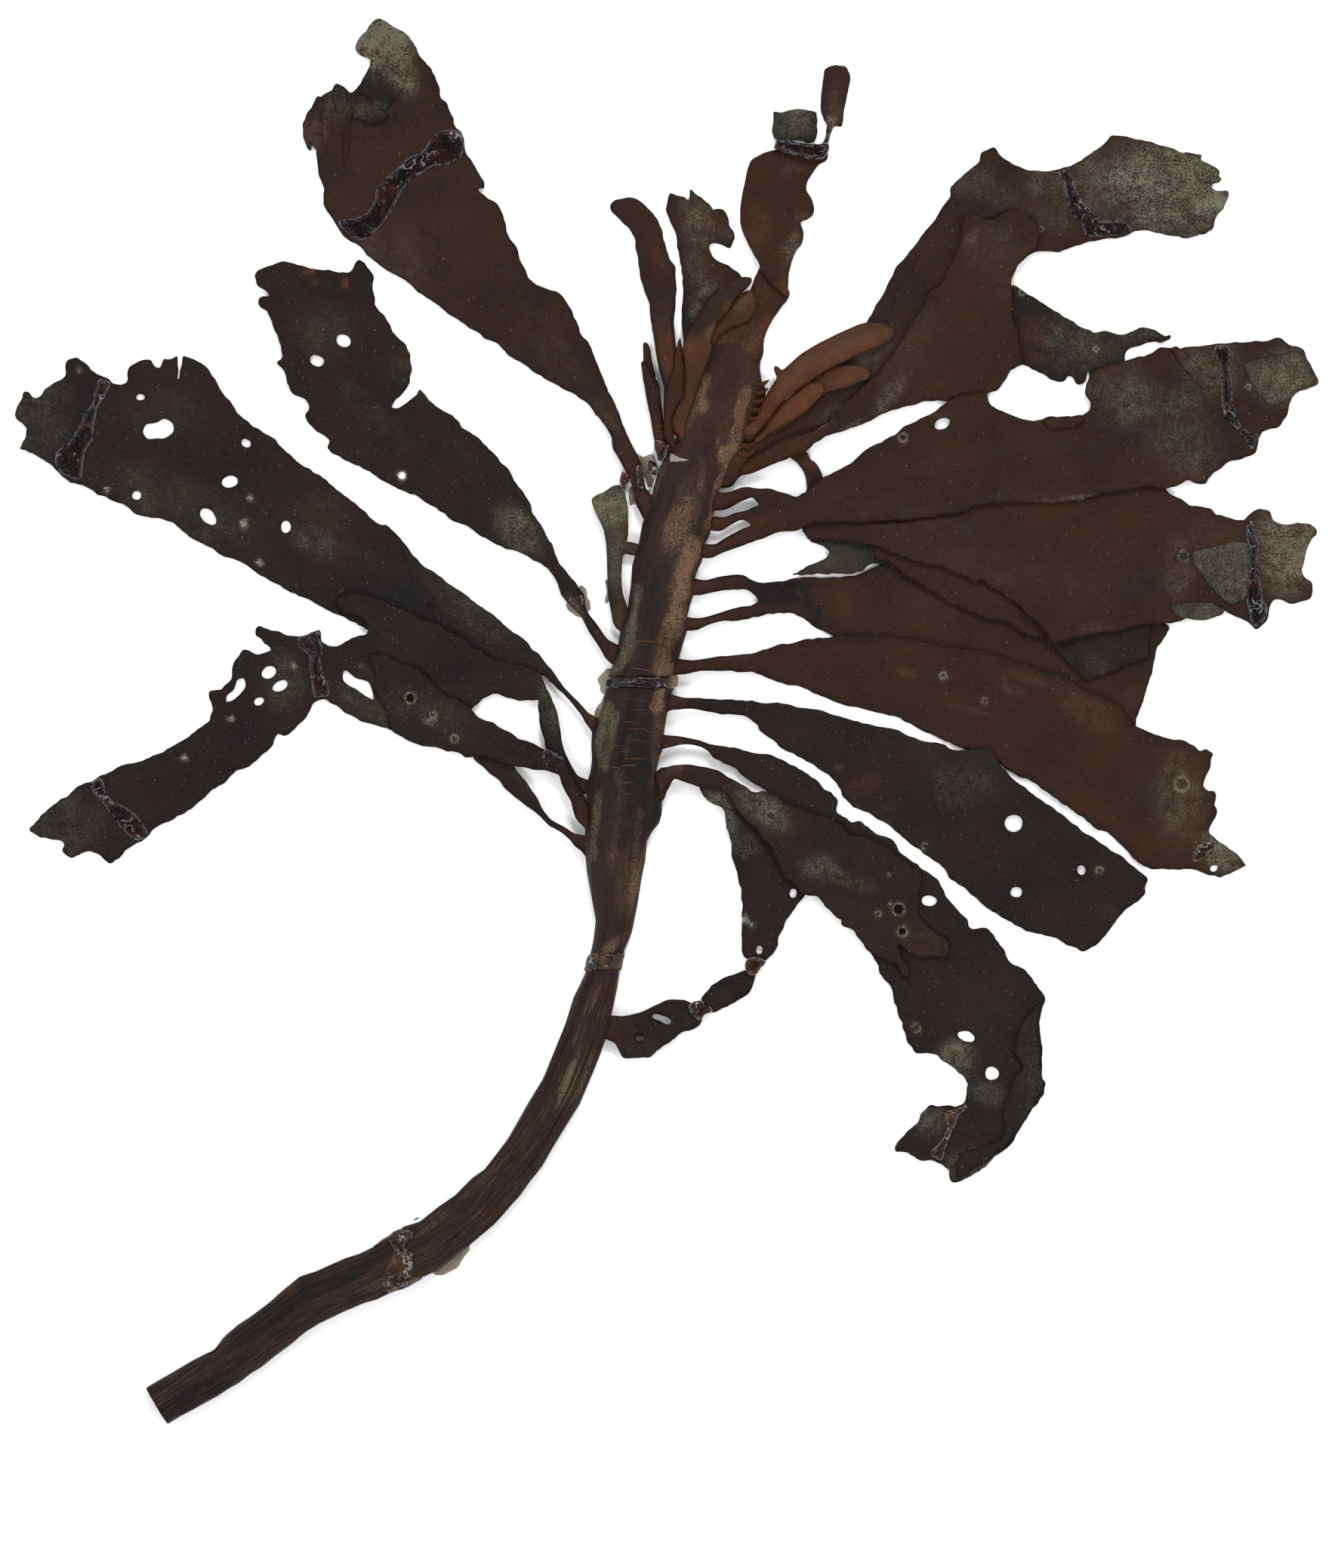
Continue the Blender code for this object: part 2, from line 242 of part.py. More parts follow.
flat("top_tip_piece", [
    (33.5, 124.6), (34.5, 125.9), (34.9, 128.7), (33.7, 131.3), (33.5, 134.5), (33.7, 137.7), (34.3, 140.8),
    (35.6, 141.5), (36.8, 142), (38, 141.5), (39.3, 141.5), (40, 139.6), (39.3, 135.6), (38.5, 131.9),
    (38.3, 128.1), (37.5, 128.4), (36.4, 128.6), (35.6, 127.1), (35.4, 124.8)])
flat("young_comb", [
    (19.9, 74.0), (20.9, 73.1), (20.4, 72.5), (21.8, 71.6), (20.7, 71.1), (22.1, 70.5), (20.3, 69.7),
    (21.2, 68.9), (19.5, 67.9), (20.3, 67.0), (18.6, 65.9), (19.2, 64.9), (17.7, 63.8), (18.2, 62.7),
    (16.9, 61.5), (17.2, 60.4), (16.0, 59.4), (16.3, 58.3), (15.3, 57.4), (16.2, 60.6), (17.2, 64.2),
    (18.2, 67.4), (19.1, 70.4)])
flat("young_blade_top", [
    (17.5, 61.2), (19.3, 61.7), (21.2, 63.8), (23, 66.3), (25, 68.7), (26.7, 70.3), (28.3, 71.3), (30, 72.5),
    (32.3, 74), (35, 75.7), (37.7, 77), (40.3, 78.3), (43.3, 79.7), (45.7, 80.5), (48.3, 82.2), (49.7, 83.5),
    (49, 84.8), (47.3, 85.7), (45, 86), (43.3, 85.9), (41.3, 85.3), (38.3, 84), (35, 82.3), (31.7, 80.5),
    (29, 78.7), (26.7, 76.5), (25.1, 75.1), (23.5, 76.6), (23.5, 75.4), (24.3, 73.8), (23.7, 73),
    (22.2, 70.7), (20.9, 68), (19.9, 65.3), (18.6, 63.3)],
    over=["upper_right_long_blade", "young_blade_third", "young_blade_second", "young_comb"])
flat("young_blade_third", [
    (36.3, 76.3), (38.3, 76.6), (40.3, 76.7), (42.3, 76.5), (43.8, 75.7), (44.3, 74.7), (43.9, 73.9),
    (43.3, 73.3), (41.7, 73.2), (41, 72.7), (39, 71.7), (36.3, 71.2), (34.2, 70.5), (31, 68.2), (28, 66),
    (26.6, 68), (29.6, 71.6), (33, 74.6)], over=["upper_right_long_blade"])
flat("young_blade_second", [
    (34.1, 72.3), (33, 72.9), (31, 72.8), (29.3, 72), (28, 70.7), (25, 68.3), (22.6, 65.6), (20.3, 61.8),
    (19.0, 60.2), (20.3, 60.1), (21.7, 61.7), (24, 62.7), (26.7, 64.2), (29, 65.8), (31.3, 67.7),
    (33.2, 69.7), (34.2, 71.3)], over=["upper_right_long_blade", "young_blade_third"])

# blades on the right, from the top down
flat("upper_right_long_blade", [
    (12.9, 51.4), (14.3, 55), (16, 57.2), (18.2, 59.6), (21, 62.6), (26, 67.4), (31, 72.4), (36, 77.6),
    (40, 82), (43.3, 86), (45.5, 89.5), (50, 98), (54, 103), (57, 107), (60, 110.9), (61.7, 113.4),
    (61.4, 115.1), (63.3, 117), (66.1, 119.2), (68, 120.9), (68, 122.6), (70, 123.7), (71.3, 123.8),
    (72.1, 122.3), (74.4, 120.5), (77.7, 119.2), (82.1, 118.7), (84.3, 119), (87.7, 119.8), (90.2, 121.5),
    (93.2, 123.4), (95.4, 125.6), (96.4, 126.7), (99.8, 126.1), (104.3, 125.1), (108.7, 124), (111.5, 122.7),
    (116.4, 122.4), (115.6, 121.2), (118.1, 120.1), (120, 118.7), (119.5, 117.6), (120.8, 117.3),
    (120, 116.2), (118.1, 115.9), (118.1, 115.1), (120, 114.4), (121.7, 114.8), (122.1, 113.7),
    (120.9, 110.9), (119.2, 109), (118.6, 106.2), (116.4, 104.9), (114.8, 105.2), (111.5, 104.6),
    (108.1, 104.9), (105.9, 105.2), (103.7, 106), (101.2, 105.6), (99.8, 104.6), (96, 104), (93.2, 103.8),
    (90.2, 103.2), (86, 101.5), (84.9, 101), (82.1, 101.4), (79.9, 101.3), (77.4, 99.6), (74.2, 97),
    (70.6, 92), (66, 85.6), (60, 79.6), (53, 74.4), (46, 70.6), (39.5, 67.2), (35, 64.4), (31.7, 61.9),
    (28.3, 59.9), (22, 57.2), (17.8, 54.4), (15.3, 52.3), (14.1, 50.6), (12.9, 49.9)])
flat("right_grey_blade", [
    (75.1, 94.5), (78.3, 92.1), (82.1, 89.9), (86, 87.4), (90.2, 84.9), (92.7, 83.6), (95.4, 84), (98.2, 83.2),
    (101, 84.1), (102.6, 84.9), (105.4, 84.7), (107, 83.6), (108.1, 82.7), (109.3, 83.4), (109.1, 82.2),
    (107.3, 81.5), (104.3, 81.5), (101.5, 80.7), (99.8, 80), (99.2, 78.6), (99.6, 76.6), (97.2, 74.6),
    (94.4, 73.6), (92.4, 73.4), (91.2, 75.8), (91, 74.4), (90.6, 72.8), (89.1, 72.6), (88.2, 73.9),
    (87.1, 74.6), (86.3, 72.9), (83.8, 73), (81.6, 74.7), (79.6, 75.8), (77.8, 76.6), (74.4, 77.2),
    (71.2, 79.4), (70.6, 84), (71.4, 89.4), (73, 92.8)])
flat("upper_right_blade", [
    (15.9, 52.9), (17, 55), (18.3, 56.3), (21.7, 58.4), (24.3, 59.8), (28.3, 61.3), (33.8, 62.9), (36.3, 65.7),
    (40.3, 69.7), (45.2, 74.2), (48.3, 77.7), (50.3, 80.7), (53.3, 86.3), (55.5, 89.3), (57.2, 92.4),
    (60.1, 94.8), (61.5, 98.3), (62.8, 100.9), (64.2, 105.2), (63.9, 107.9), (64.9, 109.4), (66.6, 109.7),
    (68.3, 108.5), (70.5, 107.9), (72.7, 109.8), (76, 110.9), (78, 109.8), (78.8, 108), (80.5, 107.3),
    (81, 104.5), (80, 102), (76, 98.2), (74.7, 94.9), (74.8, 90.2), (74.7, 86.9), (76, 84.1), (76.9, 79.1),
    (77.6, 76.9), (74.1, 75.4), (73.3, 73), (71.4, 71), (69.4, 70.4), (68.6, 69), (62.3, 69.2), (56.3, 68.9),
    (51.7, 67.7), (48.3, 66.7), (45, 64.9), (41.7, 63.6), (39.3, 62.8), (35, 61.3), (32.7, 60.2), (30.3, 58.2),
    (26.7, 56.7), (23, 55.3), (20, 54), (18.3, 53.3)],
    over=["upper_right_long_blade", "right_grey_blade", "bridge_stub"])
flat("bridge_stub", [
    (26.2, 58.6), (28.6, 59.6), (30, 58.4), (31.2, 56.8), (31.3, 56), (32.2, 56), (33.2, 54.3), (34.2, 52.3),
    (33.4, 49.6), (31.4, 47.6), (29.6, 47.4), (30.5, 49.8), (30.5, 51.7), (29.7, 54), (28.3, 55.7),
    (26.6, 56.8)])
flat("right_blade_one", [
    (11.6, 48.3), (13, 48.2), (14.5, 49.2), (16.5, 50), (18, 50.1), (20, 49.7), (22.5, 49.7), (25, 49),
    (28, 47.8), (30, 49.2), (34, 52.2), (36.3, 53.5), (39.7, 55.3), (41.2, 56.7), (42.7, 58), (45, 59.5),
    (47, 60.2), (48.3, 61.2), (49.7, 61.7), (51, 63), (53.3, 64.2), (55, 65.2), (57, 66.2), (59.3, 67.3),
    (60.9, 68.9), (63.5, 70.2), (69.5, 70.7), (69.5, 69.2), (70.4, 68), (71.9, 67), (73.8, 66.4), (76, 65.3),
    (78, 65), (79.8, 64.5), (83, 65.5), (86.3, 65.5), (90, 65.7), (91.5, 66.8), (91.8, 68.5), (90.4, 70.8),
    (91.4, 73.6), (92.1, 75.3), (95, 76.4), (98.2, 77.5), (102.1, 78.3), (105.1, 79.1), (106.8, 80.7),
    (109.8, 80.3), (115.3, 80.7), (118.7, 81.1), (123.6, 81.6), (129.7, 82), (132.5, 82.7), (135, 80.9),
    (138.1, 80.2), (139.7, 76.4), (141.4, 72.8), (139.4, 71.7), (137.2, 71.3), (135.6, 70), (135.1, 68),
    (134.3, 65.4), (132.4, 63.2), (129, 62.3), (128.2, 60.6), (127.6, 57.6), (125.4, 56.6), (122, 55.8),
    (119.2, 54), (117.4, 52.6), (117, 51), (114.6, 50.9), (112.7, 51.9), (111.5, 50.8), (108.3, 50),
    (104.4, 50.2), (102.5, 50), (100.6, 49.3), (97.6, 49.4), (94.2, 49), (89.9, 47.6), (84, 47), (75.8, 46.9),
    (69.3, 46.7), (66.6, 46), (65, 45.1), (60, 44), (52, 43.2), (46, 42.8), (38, 42.5), (31.4, 42.2),
    (28, 40.5), (25, 40.9), (22.7, 40), (16.7, 37.8), (12.3, 36.3), (9, 34.8), (8.8, 36.9), (10.6, 37.4),
    (12.3, 38.7), (14.5, 40), (17, 41.3), (18.6, 41.8), (18.3, 42.6), (16.8, 43.4), (15.6, 43.2), (14, 42.3),
    (12, 41.1), (10.5, 40.7), (10.9, 43), (13, 43.5), (15, 44.5), (17.5, 45), (19, 45.8), (20.5, 46.4),
    (18.7, 48.3), (16, 47.2), (14, 46.1), (12, 45.3), (11.0, 45.2)],
    over=["upper_right_blade", "right_grey_blade", "bridge_stub", "right_blade_two"],
    holes=[spot(59.8, 64, 1.9, 1.2, 25)])
flat("right_blade_two", [
    (108.3, 50), (109, 48.8), (111.2, 47.9), (113.3, 46.2), (117.5, 45.8), (118.6, 44.5), (121.3, 43.7),
    (125, 42.8), (127, 45.2), (128.4, 46), (130.9, 44.9), (131.2, 43), (134, 42.2), (136.5, 42.4),
    (139.5, 42.5), (140.9, 41.6), (140.9, 39.9), (139.5, 39.2), (138.7, 37), (138.4, 34.5), (137.6, 32.2),
    (138.5, 30.3), (140, 29.8), (139.7, 26.2), (138, 25.6), (135.3, 24.9), (133.2, 26), (131.2, 26),
    (130.8, 24.3), (130, 21.4), (127.7, 19.1), (126.4, 20.9), (124.4, 21.8), (121, 23.4), (119.7, 24.1),
    (116.4, 23.4), (112.3, 21.8), (109.5, 21), (107, 20.7), (104.6, 20.4), (102.6, 20.5), (100.6, 20),
    (98.6, 19), (94.2, 18.7), (90, 17.8), (86.6, 16.9), (83.7, 16.6), (82.2, 18.3), (80.1, 20.8), (77.6, 23),
    (76.4, 24.9), (73.8, 26.3), (72.2, 27.8), (70, 28.3), (68.4, 30.2), (66.6, 29), (65.4, 30.8), (63.4, 31.3),
    (60.4, 32.9), (57, 33.3), (54, 34), (51, 35.2), (48, 36.4), (45, 37.5), (41.1, 38.3), (36.6, 38.7),
    (30.9, 38.9), (29.6, 40), (28.8, 42.6), (31.6, 45.6), (38, 47.4), (46, 48.4), (55, 49.6), (64, 51),
    (72, 53), (80, 54), (88, 54.6), (96, 55), (103, 54.6), (106.4, 52.8)],
    over=["right_inner_blade", "right_blade_three", "right_grey_flap", "olive_scrap"])
flat("right_inner_blade", [
    (45, 35), (47.4, 34.4), (50, 32.6), (53, 30.5), (57, 28.1), (61, 25.6), (65, 23.8), (68, 22.6), (70, 21.8),
    (72.5, 21.6), (74.5, 20.7), (76.2, 19.3), (78, 18.3), (80, 17.8), (82, 17.5), (83, 19.6), (80.5, 23.6),
    (77.4, 27.6), (73, 31), (68, 33.6), (62, 35.8), (56, 37), (50, 38.2), (46, 38.2)],
    over=["right_blade_three", "olive_scrap"])
flat("right_grey_flap", [
    (83.6, 15.9), (85.5, 13.7), (88, 11.2), (91, 8.1), (94.2, 9.4), (97.5, 10.7), (100.2, 12), (104.3, 13.3),
    (104.5, 17), (105, 20.2), (104.4, 22.4), (98, 23.6), (90, 22.6), (85.2, 19.6)],
    over=["right_blade_three"])
flat("olive_scrap", [
    (27.1, 31.3), (29.9, 32.4), (32.3, 33.9), (34.4, 35), (35.7, 36.3), (32.7, 37.8), (30.9, 38.5),
    (33, 40.6), (39, 40.6), (46, 38.4), (50, 36), (48, 33.8), (44.4, 34), (42.8, 32.2), (40.4, 31.6),
    (36.4, 31.4), (32.2, 31.3)], over=["right_blade_three"])
flat("right_blade_three", [
    (6.6, 29.5), (8, 29.6), (11.5, 30.7), (14.9, 31.2), (17.1, 31), (18.8, 29.7), (22.7, 29.7), (25.3, 30),
    (26.8, 30.5), (28.8, 30.7), (32.3, 30.8), (36.6, 30.9), (40.9, 31.1), (43.1, 31.8), (46.4, 33.6),
    (50, 35), (57, 32.6), (65, 28.6), (73, 25.6), (80, 24.6), (88, 25.6), (97, 26), (104.6, 24.2),
    (108.7, 20.3), (109.2, 19.5), (107.5, 17.2), (106.2, 15.5), (106, 13), (105.1, 9.4), (103.4, 4),
    (101.9, 0), (101.4, -3.2), (97, -4.6), (90, 0), (82, 4.4), (74, 7.8), (64, 10.4), (54, 12.2),
    (45, 13.2), (39.4, 14.6), (37.2, 17.2), (35.7, 18.6), (32.5, 19.9), (29.7, 21.8), (27.1, 23.1),
    (24.5, 23), (20.1, 22.3), (15.8, 21.5), (12.3, 21.5), (9.7, 20.9), (6.7, 19.6), (5.1, 19.2), (5.0, 21.6),
    (6.3, 21.4), (8.9, 22), (12.3, 23.1), (15.4, 24), (18.4, 24.6), (20.0, 25.6), (19.5, 26.8), (18.4, 27.9),
    (17.1, 28.4), (12.3, 28.1), (8, 27.3), (6.5, 26.9)])
flat("right_blade_four", [
    (3.1, 12.2), (7.1, 12.7), (11.5, 13.5), (15.4, 13.7), (18.4, 14.2), (21.9, 15.3), (25.3, 16.4),
    (28.4, 16.4), (29.7, 17.3), (32.3, 17.5), (35.3, 17.8), (40, 18.1), (47, 17.9), (55, 17.1), (60.6, 15.7),
    (69.3, 14.6), (75.8, 12.6), (81, 11), (86.6, 9.4), (88, 8), (89.9, 6.7), (95.3, 4.6), (98.5, 2.9),
    (99.2, 0.6), (101.6, -1.4), (105.1, -3.1), (109.4, -4.2), (112.6, -4.8), (114.8, -5.8), (115.6, -7),
    (117, -6.2), (118.5, -7.4), (117.9, -8.6), (118, -10.1), (117, -12.2), (116.1, -14.3), (117, -15.7),
    (118.6, -15.4), (119.3, -16.4), (118.3, -18.2), (119.2, -19.7), (118.4, -22), (117.5, -24.6),
    (119.7, -26.6), (121.4, -27.4), (124, -29.4), (125.9, -31.6), (122.9, -32.7), (120, -34.4),
    (117.4, -33.5), (114.3, -32.4), (110.5, -32.4), (104.7, -32.5), (102.6, -31.2), (100.2, -29), (98, -26.8),
    (95.8, -24.6), (93.1, -23.9), (91, -21.6), (88.6, -20.2), (85.8, -18), (83, -16), (80, -13.9), (77, -12.6),
    (73.4, -10.6), (71, -8.6), (66, -7), (62.5, -5.4), (59.5, -4), (57, -3), (53.1, -1), (50.9, 0.3),
    (47, 1), (43.5, 1.9), (40.1, 3), (36.6, 3.8), (34.4, 4.9), (32.3, 5.6), (29.2, 7), (25.3, 7.9),
    (22.7, 8.8), (20.1, 9.9), (16.7, 10.2), (14.1, 10.6), (7.6, 10.7), (5.4, 10.3), (2.8, 9.7)],
    over=["right_blade_three"],
    holes=[spot(118.6, -32.2, 1.1, 0.8, 30, 6)])
flat("right_blade_five", [
    (1.6, 4.6), (4, 4.4), (7, 4.5), (10, 4.2), (15, 4.1), (20, 3.9), (24, 3.6), (27.1, 3), (30.5, 2.5),
    (34, 1.9), (38.3, 0.6), (40.9, -0.1), (44.4, -1.2), (47.9, -1.8), (50.9, -2.7), (52.6, -3.6), (55, -4.4),
    (58.2, -4.9), (60.6, -5.8), (62.4, -6.7), (66, -6.3), (70, -6.5), (72, -9.6), (75, -12.4), (80, -16.6),
    (85, -20.2), (90, -24.2), (97.5, -29), (102, -32.4), (104.5, -34.4), (103.2, -36.4), (103.7, -37.6),
    (100.2, -40.6), (97, -44), (95.8, -45.7), (93.1, -49), (90.1, -50.5), (86.6, -48.6), (83.4, -46.9),
    (78, -45.9), (73.6, -43.5), (69.3, -40.8), (64.9, -37), (61.6, -34.4), (59.5, -31.6), (54.1, -27.6),
    (49.8, -24.6), (48.3, -22.8), (45.3, -21.5), (42.7, -19.6), (40.5, -18.9), (38.3, -16.8), (37.9, -15.2),
    (36.6, -13.7), (34.4, -11.6), (31.8, -9.8), (28.4, -8.1), (25.3, -6.4), (23.6, -4.6), (21.9, -3.8),
    (20.1, -2.5), (19.7, -1.2), (18.8, 0.1), (16.7, 1.1), (14.5, 1.3), (12.3, 1.1), (8.9, 1.9), (5.8, 2.5),
    (3.2, 2.5), (1.5, 2.1), (0.7, 1.0)],
    over=["right_blade_four"],
    holes=[spot(75.2, -22.4, 2.1, 2.0), spot(75.8, -37.4, 1.5, 1.3, 0, 6), spot(89.9, -32.6, 1.3, 1.1, -60, 6)])
flat("lower_right_blade", [
    (-0.1, -4.0), (2.5, -3.8), (5, -4.2), (7.5, -4.7), (10.5, -5.7), (13, -6.1), (16, -6.6), (20, -7),
    (23, -7.8), (26.2, -9.4), (29.7, -11.1), (31.8, -12.6), (33.6, -14.6), (35.7, -15.9), (37.4, -17.6),
    (37, -19.4), (37.2, -20.4), (38.8, -21.1), (40.5, -22.2), (42, -21.7), (44, -23.3), (45.3, -24.8),
    (49.0, -26.0), (50, -26.8), (51.6, -29.4), (54, -31.4), (57.4, -33.4), (59, -35.4), (60.6, -38.7),
    (63, -41.4), (64.9, -43), (66, -45.1), (67.5, -45), (69.4, -45), (71.4, -47.4), (73.2, -49.8),
    (73.5, -51.2), (74.8, -53), (76.6, -53.9), (78.4, -54.8), (80.2, -57.4), (82, -60.5), (81.4, -62),
    (81, -64), (81.2, -68), (81.5, -75), (82, -79.9), (80, -83.5), (78, -86.8), (76.2, -89.8), (74.7, -91.8),
    (72, -94.2), (69.3, -96.3), (66, -98.4), (62.8, -100.3), (61.7, -99.9), (61.5, -97.4), (59.6, -96.2),
    (57.4, -95.2), (54.6, -95.3), (52.4, -94.2), (51, -93.2), (49.6, -93.6), (49.9, -92), (51.4, -89.9),
    (53.6, -88), (55.2, -85.4), (57, -83.4), (61.2, -83.6), (62.6, -84.2), (64.6, -82.9), (64.8, -81.2),
    (65.5, -79.5), (64.6, -77.6), (62.2, -75.4), (60, -73.6), (58.2, -72.3), (53.6, -72.2), (52.6, -70.6),
    (51.8, -67.4), (50.4, -64.2), (49.4, -60.4), (48.6, -57.6), (47, -56), (45.6, -53.4), (44.4, -51),
    (42.6, -47.2), (39, -41), (35, -34), (31, -28), (27, -22.6), (23.8, -18), (21.6, -15.2), (20, -14.6),
    (19.3, -13.9), (17.5, -12.8), (16.2, -11.8), (15, -10.4), (13.3, -9.9), (11.5, -9), (10, -8),
    (9.2, -6.8), (8, -5.9), (6, -5.3), (3.5, -5.2), (1.3, -5.6), (0.1, -6.4)],
    holes=[spot(57, -39.2, 1.9, 1.3), spot(64.9, -68.6, 2.1, 1.2, -20), spot(70.6, -76.6, 1.6)])
flat("lower_right_flap", [
    (81.6, -61), (78.6, -63.4), (77.2, -66), (76.3, -68.3), (75.5, -70), (75.3, -72.4), (77, -73.9),
    (77.3, -75.5), (75.8, -77), (74.9, -79.5), (73.5, -82), (72.8, -85), (73.2, -88), (73.5, -89.4),
    (72.7, -91.1), (70, -92.2), (66, -92.8), (63.2, -94.6), (62.5, -97), (62.9, -99.7), (66, -97.8),
    (69.3, -95.7), (72, -93.6), (74.3, -91.4), (76, -89), (78, -85.8), (80, -82.4), (81.4, -79.4), (81, -75),
    (80.6, -68), (80.6, -63.6)], over=["lower_right_blade"])
flat("torn_lower_blade", [
    (-0.3, -11.2), (1.2, -10.2), (3, -10), (4.7, -9.9), (8, -10.4), (10, -10.8), (11.5, -11.3), (13, -12),
    (14.5, -12.9), (16.2, -13.6), (17, -14.2), (17.8, -15), (18.6, -15.5), (20, -15.7), (22, -15.8),
    (25.3, -17.6), (27.9, -18.9), (31, -20), (34.9, -21.3), (38, -23.1), (40, -25), (42, -25.3), (43.6, -25.4),
    (45.4, -26.7), (48.2, -28.2), (51, -30.2), (54.6, -32.8), (55.4, -34.4), (54.4, -37), (55.1, -39.4),
    (54.2, -41.4), (54.9, -43.6), (57, -45.2), (60, -47.3), (61.7, -49.1), (60.9, -51.3), (58, -51.3),
    (56, -51.7), (53.6, -51.1), (52.3, -50.4), (51.4, -49), (50, -48.4), (50.5, -50.2), (51.4, -52.6),
    (52.6, -54.6), (52.9, -56.5), (51.4, -55.6), (49.8, -52.4), (48, -52.2), (46, -51.4), (44.5, -50.3),
    (43, -49.2), (41.8, -47.2), (40.8, -45.4), (39, -45), (37.8, -44.4), (38.2, -43.2), (36.6, -42.4),
    (35, -41), (33.5, -39.5), (32.5, -38.1), (30.2, -38), (28.5, -36.5), (27, -35), (25, -33), (24, -31),
    (23, -28.5), (22, -26.5), (20, -24.3), (17.8, -22), (15.4, -19.4), (13.6, -16.4), (11, -14.6),
    (8.6, -14.9), (7, -14.4), (5, -13.7), (3, -13), (1.9, -12.5), (0.9, -13.4), (0.4, -15.2), (0.1, -17.6),
    (-0.4, -17.2), (-0.6, -14.6), (-1.3, -12.6)],
    over=["lower_right_blade", "narrow_lower_blade"],
    holes=[spot(22.9, -21, 1.0, 0.5, 0, 6), spot(50.3, -41.1, 1.0, n=6), spot(51.1, -45.9, 0.8, n=6)])
flat("narrow_lower_blade", [
    (7.2, -14.4), (8, -16), (9, -17.5), (10, -18.3), (12.6, -19.1), (12.8, -22), (13.5, -25), (14.2, -27),
    (14.3, -30), (15.2, -33), (16, -36.5), (16.6, -40), (16.3, -43), (16.3, -46.5), (16.2, -50), (16.7, -51.5),
    (18, -52.3), (20.4, -52.7), (22.5, -51.5), (23.6, -50.4), (24.4, -48.8), (24.2, -47), (25.2, -45.6),
    (25.6, -44), (27.6, -41.2), (29.8, -38.6), (31, -37.2), (28.6, -34.8), (26.4, -31.4), (24.6, -27.6),
    (22, -23.6), (19, -20), (16, -16.4), (13.4, -13.6), (10.4, -12.6)],
    holes=[spot(27.5, -37.6, 1.0, 1.2, 0, 6), spot(20.2, -49.9, 0.8, 1.0, 0, 6)])
flat("lower_joined_piece", [
    (8.1, -59.6), (9.1, -58.8), (9.6, -57.4), (11, -56.7), (12.4, -55.9), (14, -55.3), (16, -54.7),
    (18.6, -54.2), (19.5, -54.6), (18.9, -57.4), (18.4, -59), (17, -60), (14, -61.8), (11, -63.5),
    (9.3, -63.4), (8.3, -62.2), (7.3, -60.4)])
flat("lowest_piece", [
    (5.6, -61.3), (3.5, -60.8), (1.5, -60.6), (0, -60.8), (-2.5, -62.2), (-5, -63.4), (-8, -64.2),
    (-11.2, -64.8), (-11.9, -66.4), (-12.1, -69), (-11, -69.4), (-10, -71.5), (-9.2, -73.2), (-6, -73),
    (-3.5, -73), (-2.5, -72), (0.5, -70), (3, -68), (6, -67.2), (7.5, -66), (8.2, -64.9), (6.8, -63)],
    holes=[[(-3.4, -64), (-2.4, -63.4), (-0.4, -64), (1.2, -64.8), (1.4, -65.9), (0.2, -66.2), (-1.2, -65.4),
            (-3, -64.9)], spot(-5.7, -69, 1.2, 1.0, 0, 6)])

# straps of dried glue that lie across the blades
flat("glue_strap_upper_left", [
    (-70, 108.1), (-66.8, 108.6), (-64.7, 109.9), (-63.1, 112.3), (-62.8, 114.5), (-60.4, 117.4),
    (-57.2, 120.1), (-55.1, 121.9), (-52.4, 123), (-51.6, 125.1), (-49.2, 127.3), (-45.5, 127.8),
    (-44.1, 126.7), (-43.6, 124.1), (-44.4, 121.9), (-46.5, 120.3), (-49.7, 120.1), (-52.9, 118.2),
    (-55.3, 117.1), (-57.5, 113.9), (-58.5, 111.5), (-60.1, 109.1), (-61.5, 106.7), (-64.1, 104.9),
    (-66.3, 103.5), (-69.6, 105.6), (-71.4, 107.9)], over=["upper_left_blade"], thick=GLUE_THICK, kind="glue")
flat("glue_strap_left", [
    (-122.9, 74), (-123.6, 71), (-124.3, 68.2), (-125.9, 66.3), (-126.8, 64), (-128, 61.9), (-129.4, 59.6),
    (-132, 57.9), (-132.2, 55.6), (-131, 53.3), (-128, 51.9), (-126.4, 52.1), (-126.1, 55.1), (-125.7, 58.4),
    (-124, 60.7), (-123.8, 64.5), (-122.9, 67.7), (-121.5, 70.1), (-120.1, 72.9)],
    over=["left_large_blade"], thick=GLUE_THICK, kind="glue")
flat("glue_strap_left_middle", [
    (-79.9, 17.6), (-74.8, 19.2), (-75, 17.3), (-74.1, 15), (-74.8, 12.6), (-74.3, 10.1), (-73, 7),
    (-73, 4.9), (-74.6, 4.9), (-76.2, 4.2), (-76.4, 6.3), (-76.7, 8.7), (-77.4, 11), (-76.9, 13.8),
    (-79.5, 15.7)], over=["left_long_blade"], thick=GLUE_THICK, kind="glue")
flat("glue_strap_far_left", [
    (-124.6, -13.7), (-123.8, -16.1), (-121.5, -18.4), (-119.8, -20.3), (-118.7, -22.8), (-116.3, -24.9),
    (-114.2, -26.4), (-111.9, -24.9), (-114.5, -21), (-116.8, -19.1), (-119.8, -17.5), (-121.5, -15.1),
    (-122.2, -12.6)], over=["left_long_blade"], thick=GLUE_THICK, kind="glue")
flat("glue_strap_top", [
    (23.9, 125.9), (28, 124.9), (32.1, 124.3), (35.2, 124.9), (35.3, 123.4), (34.2, 121.4), (31.6, 121),
    (27.3, 122.5), (22.9, 123.3)], over=["twisted_top_blade", "top_olive_piece", "top_tip_piece"],
    thick=GLUE_THICK, kind="glue")
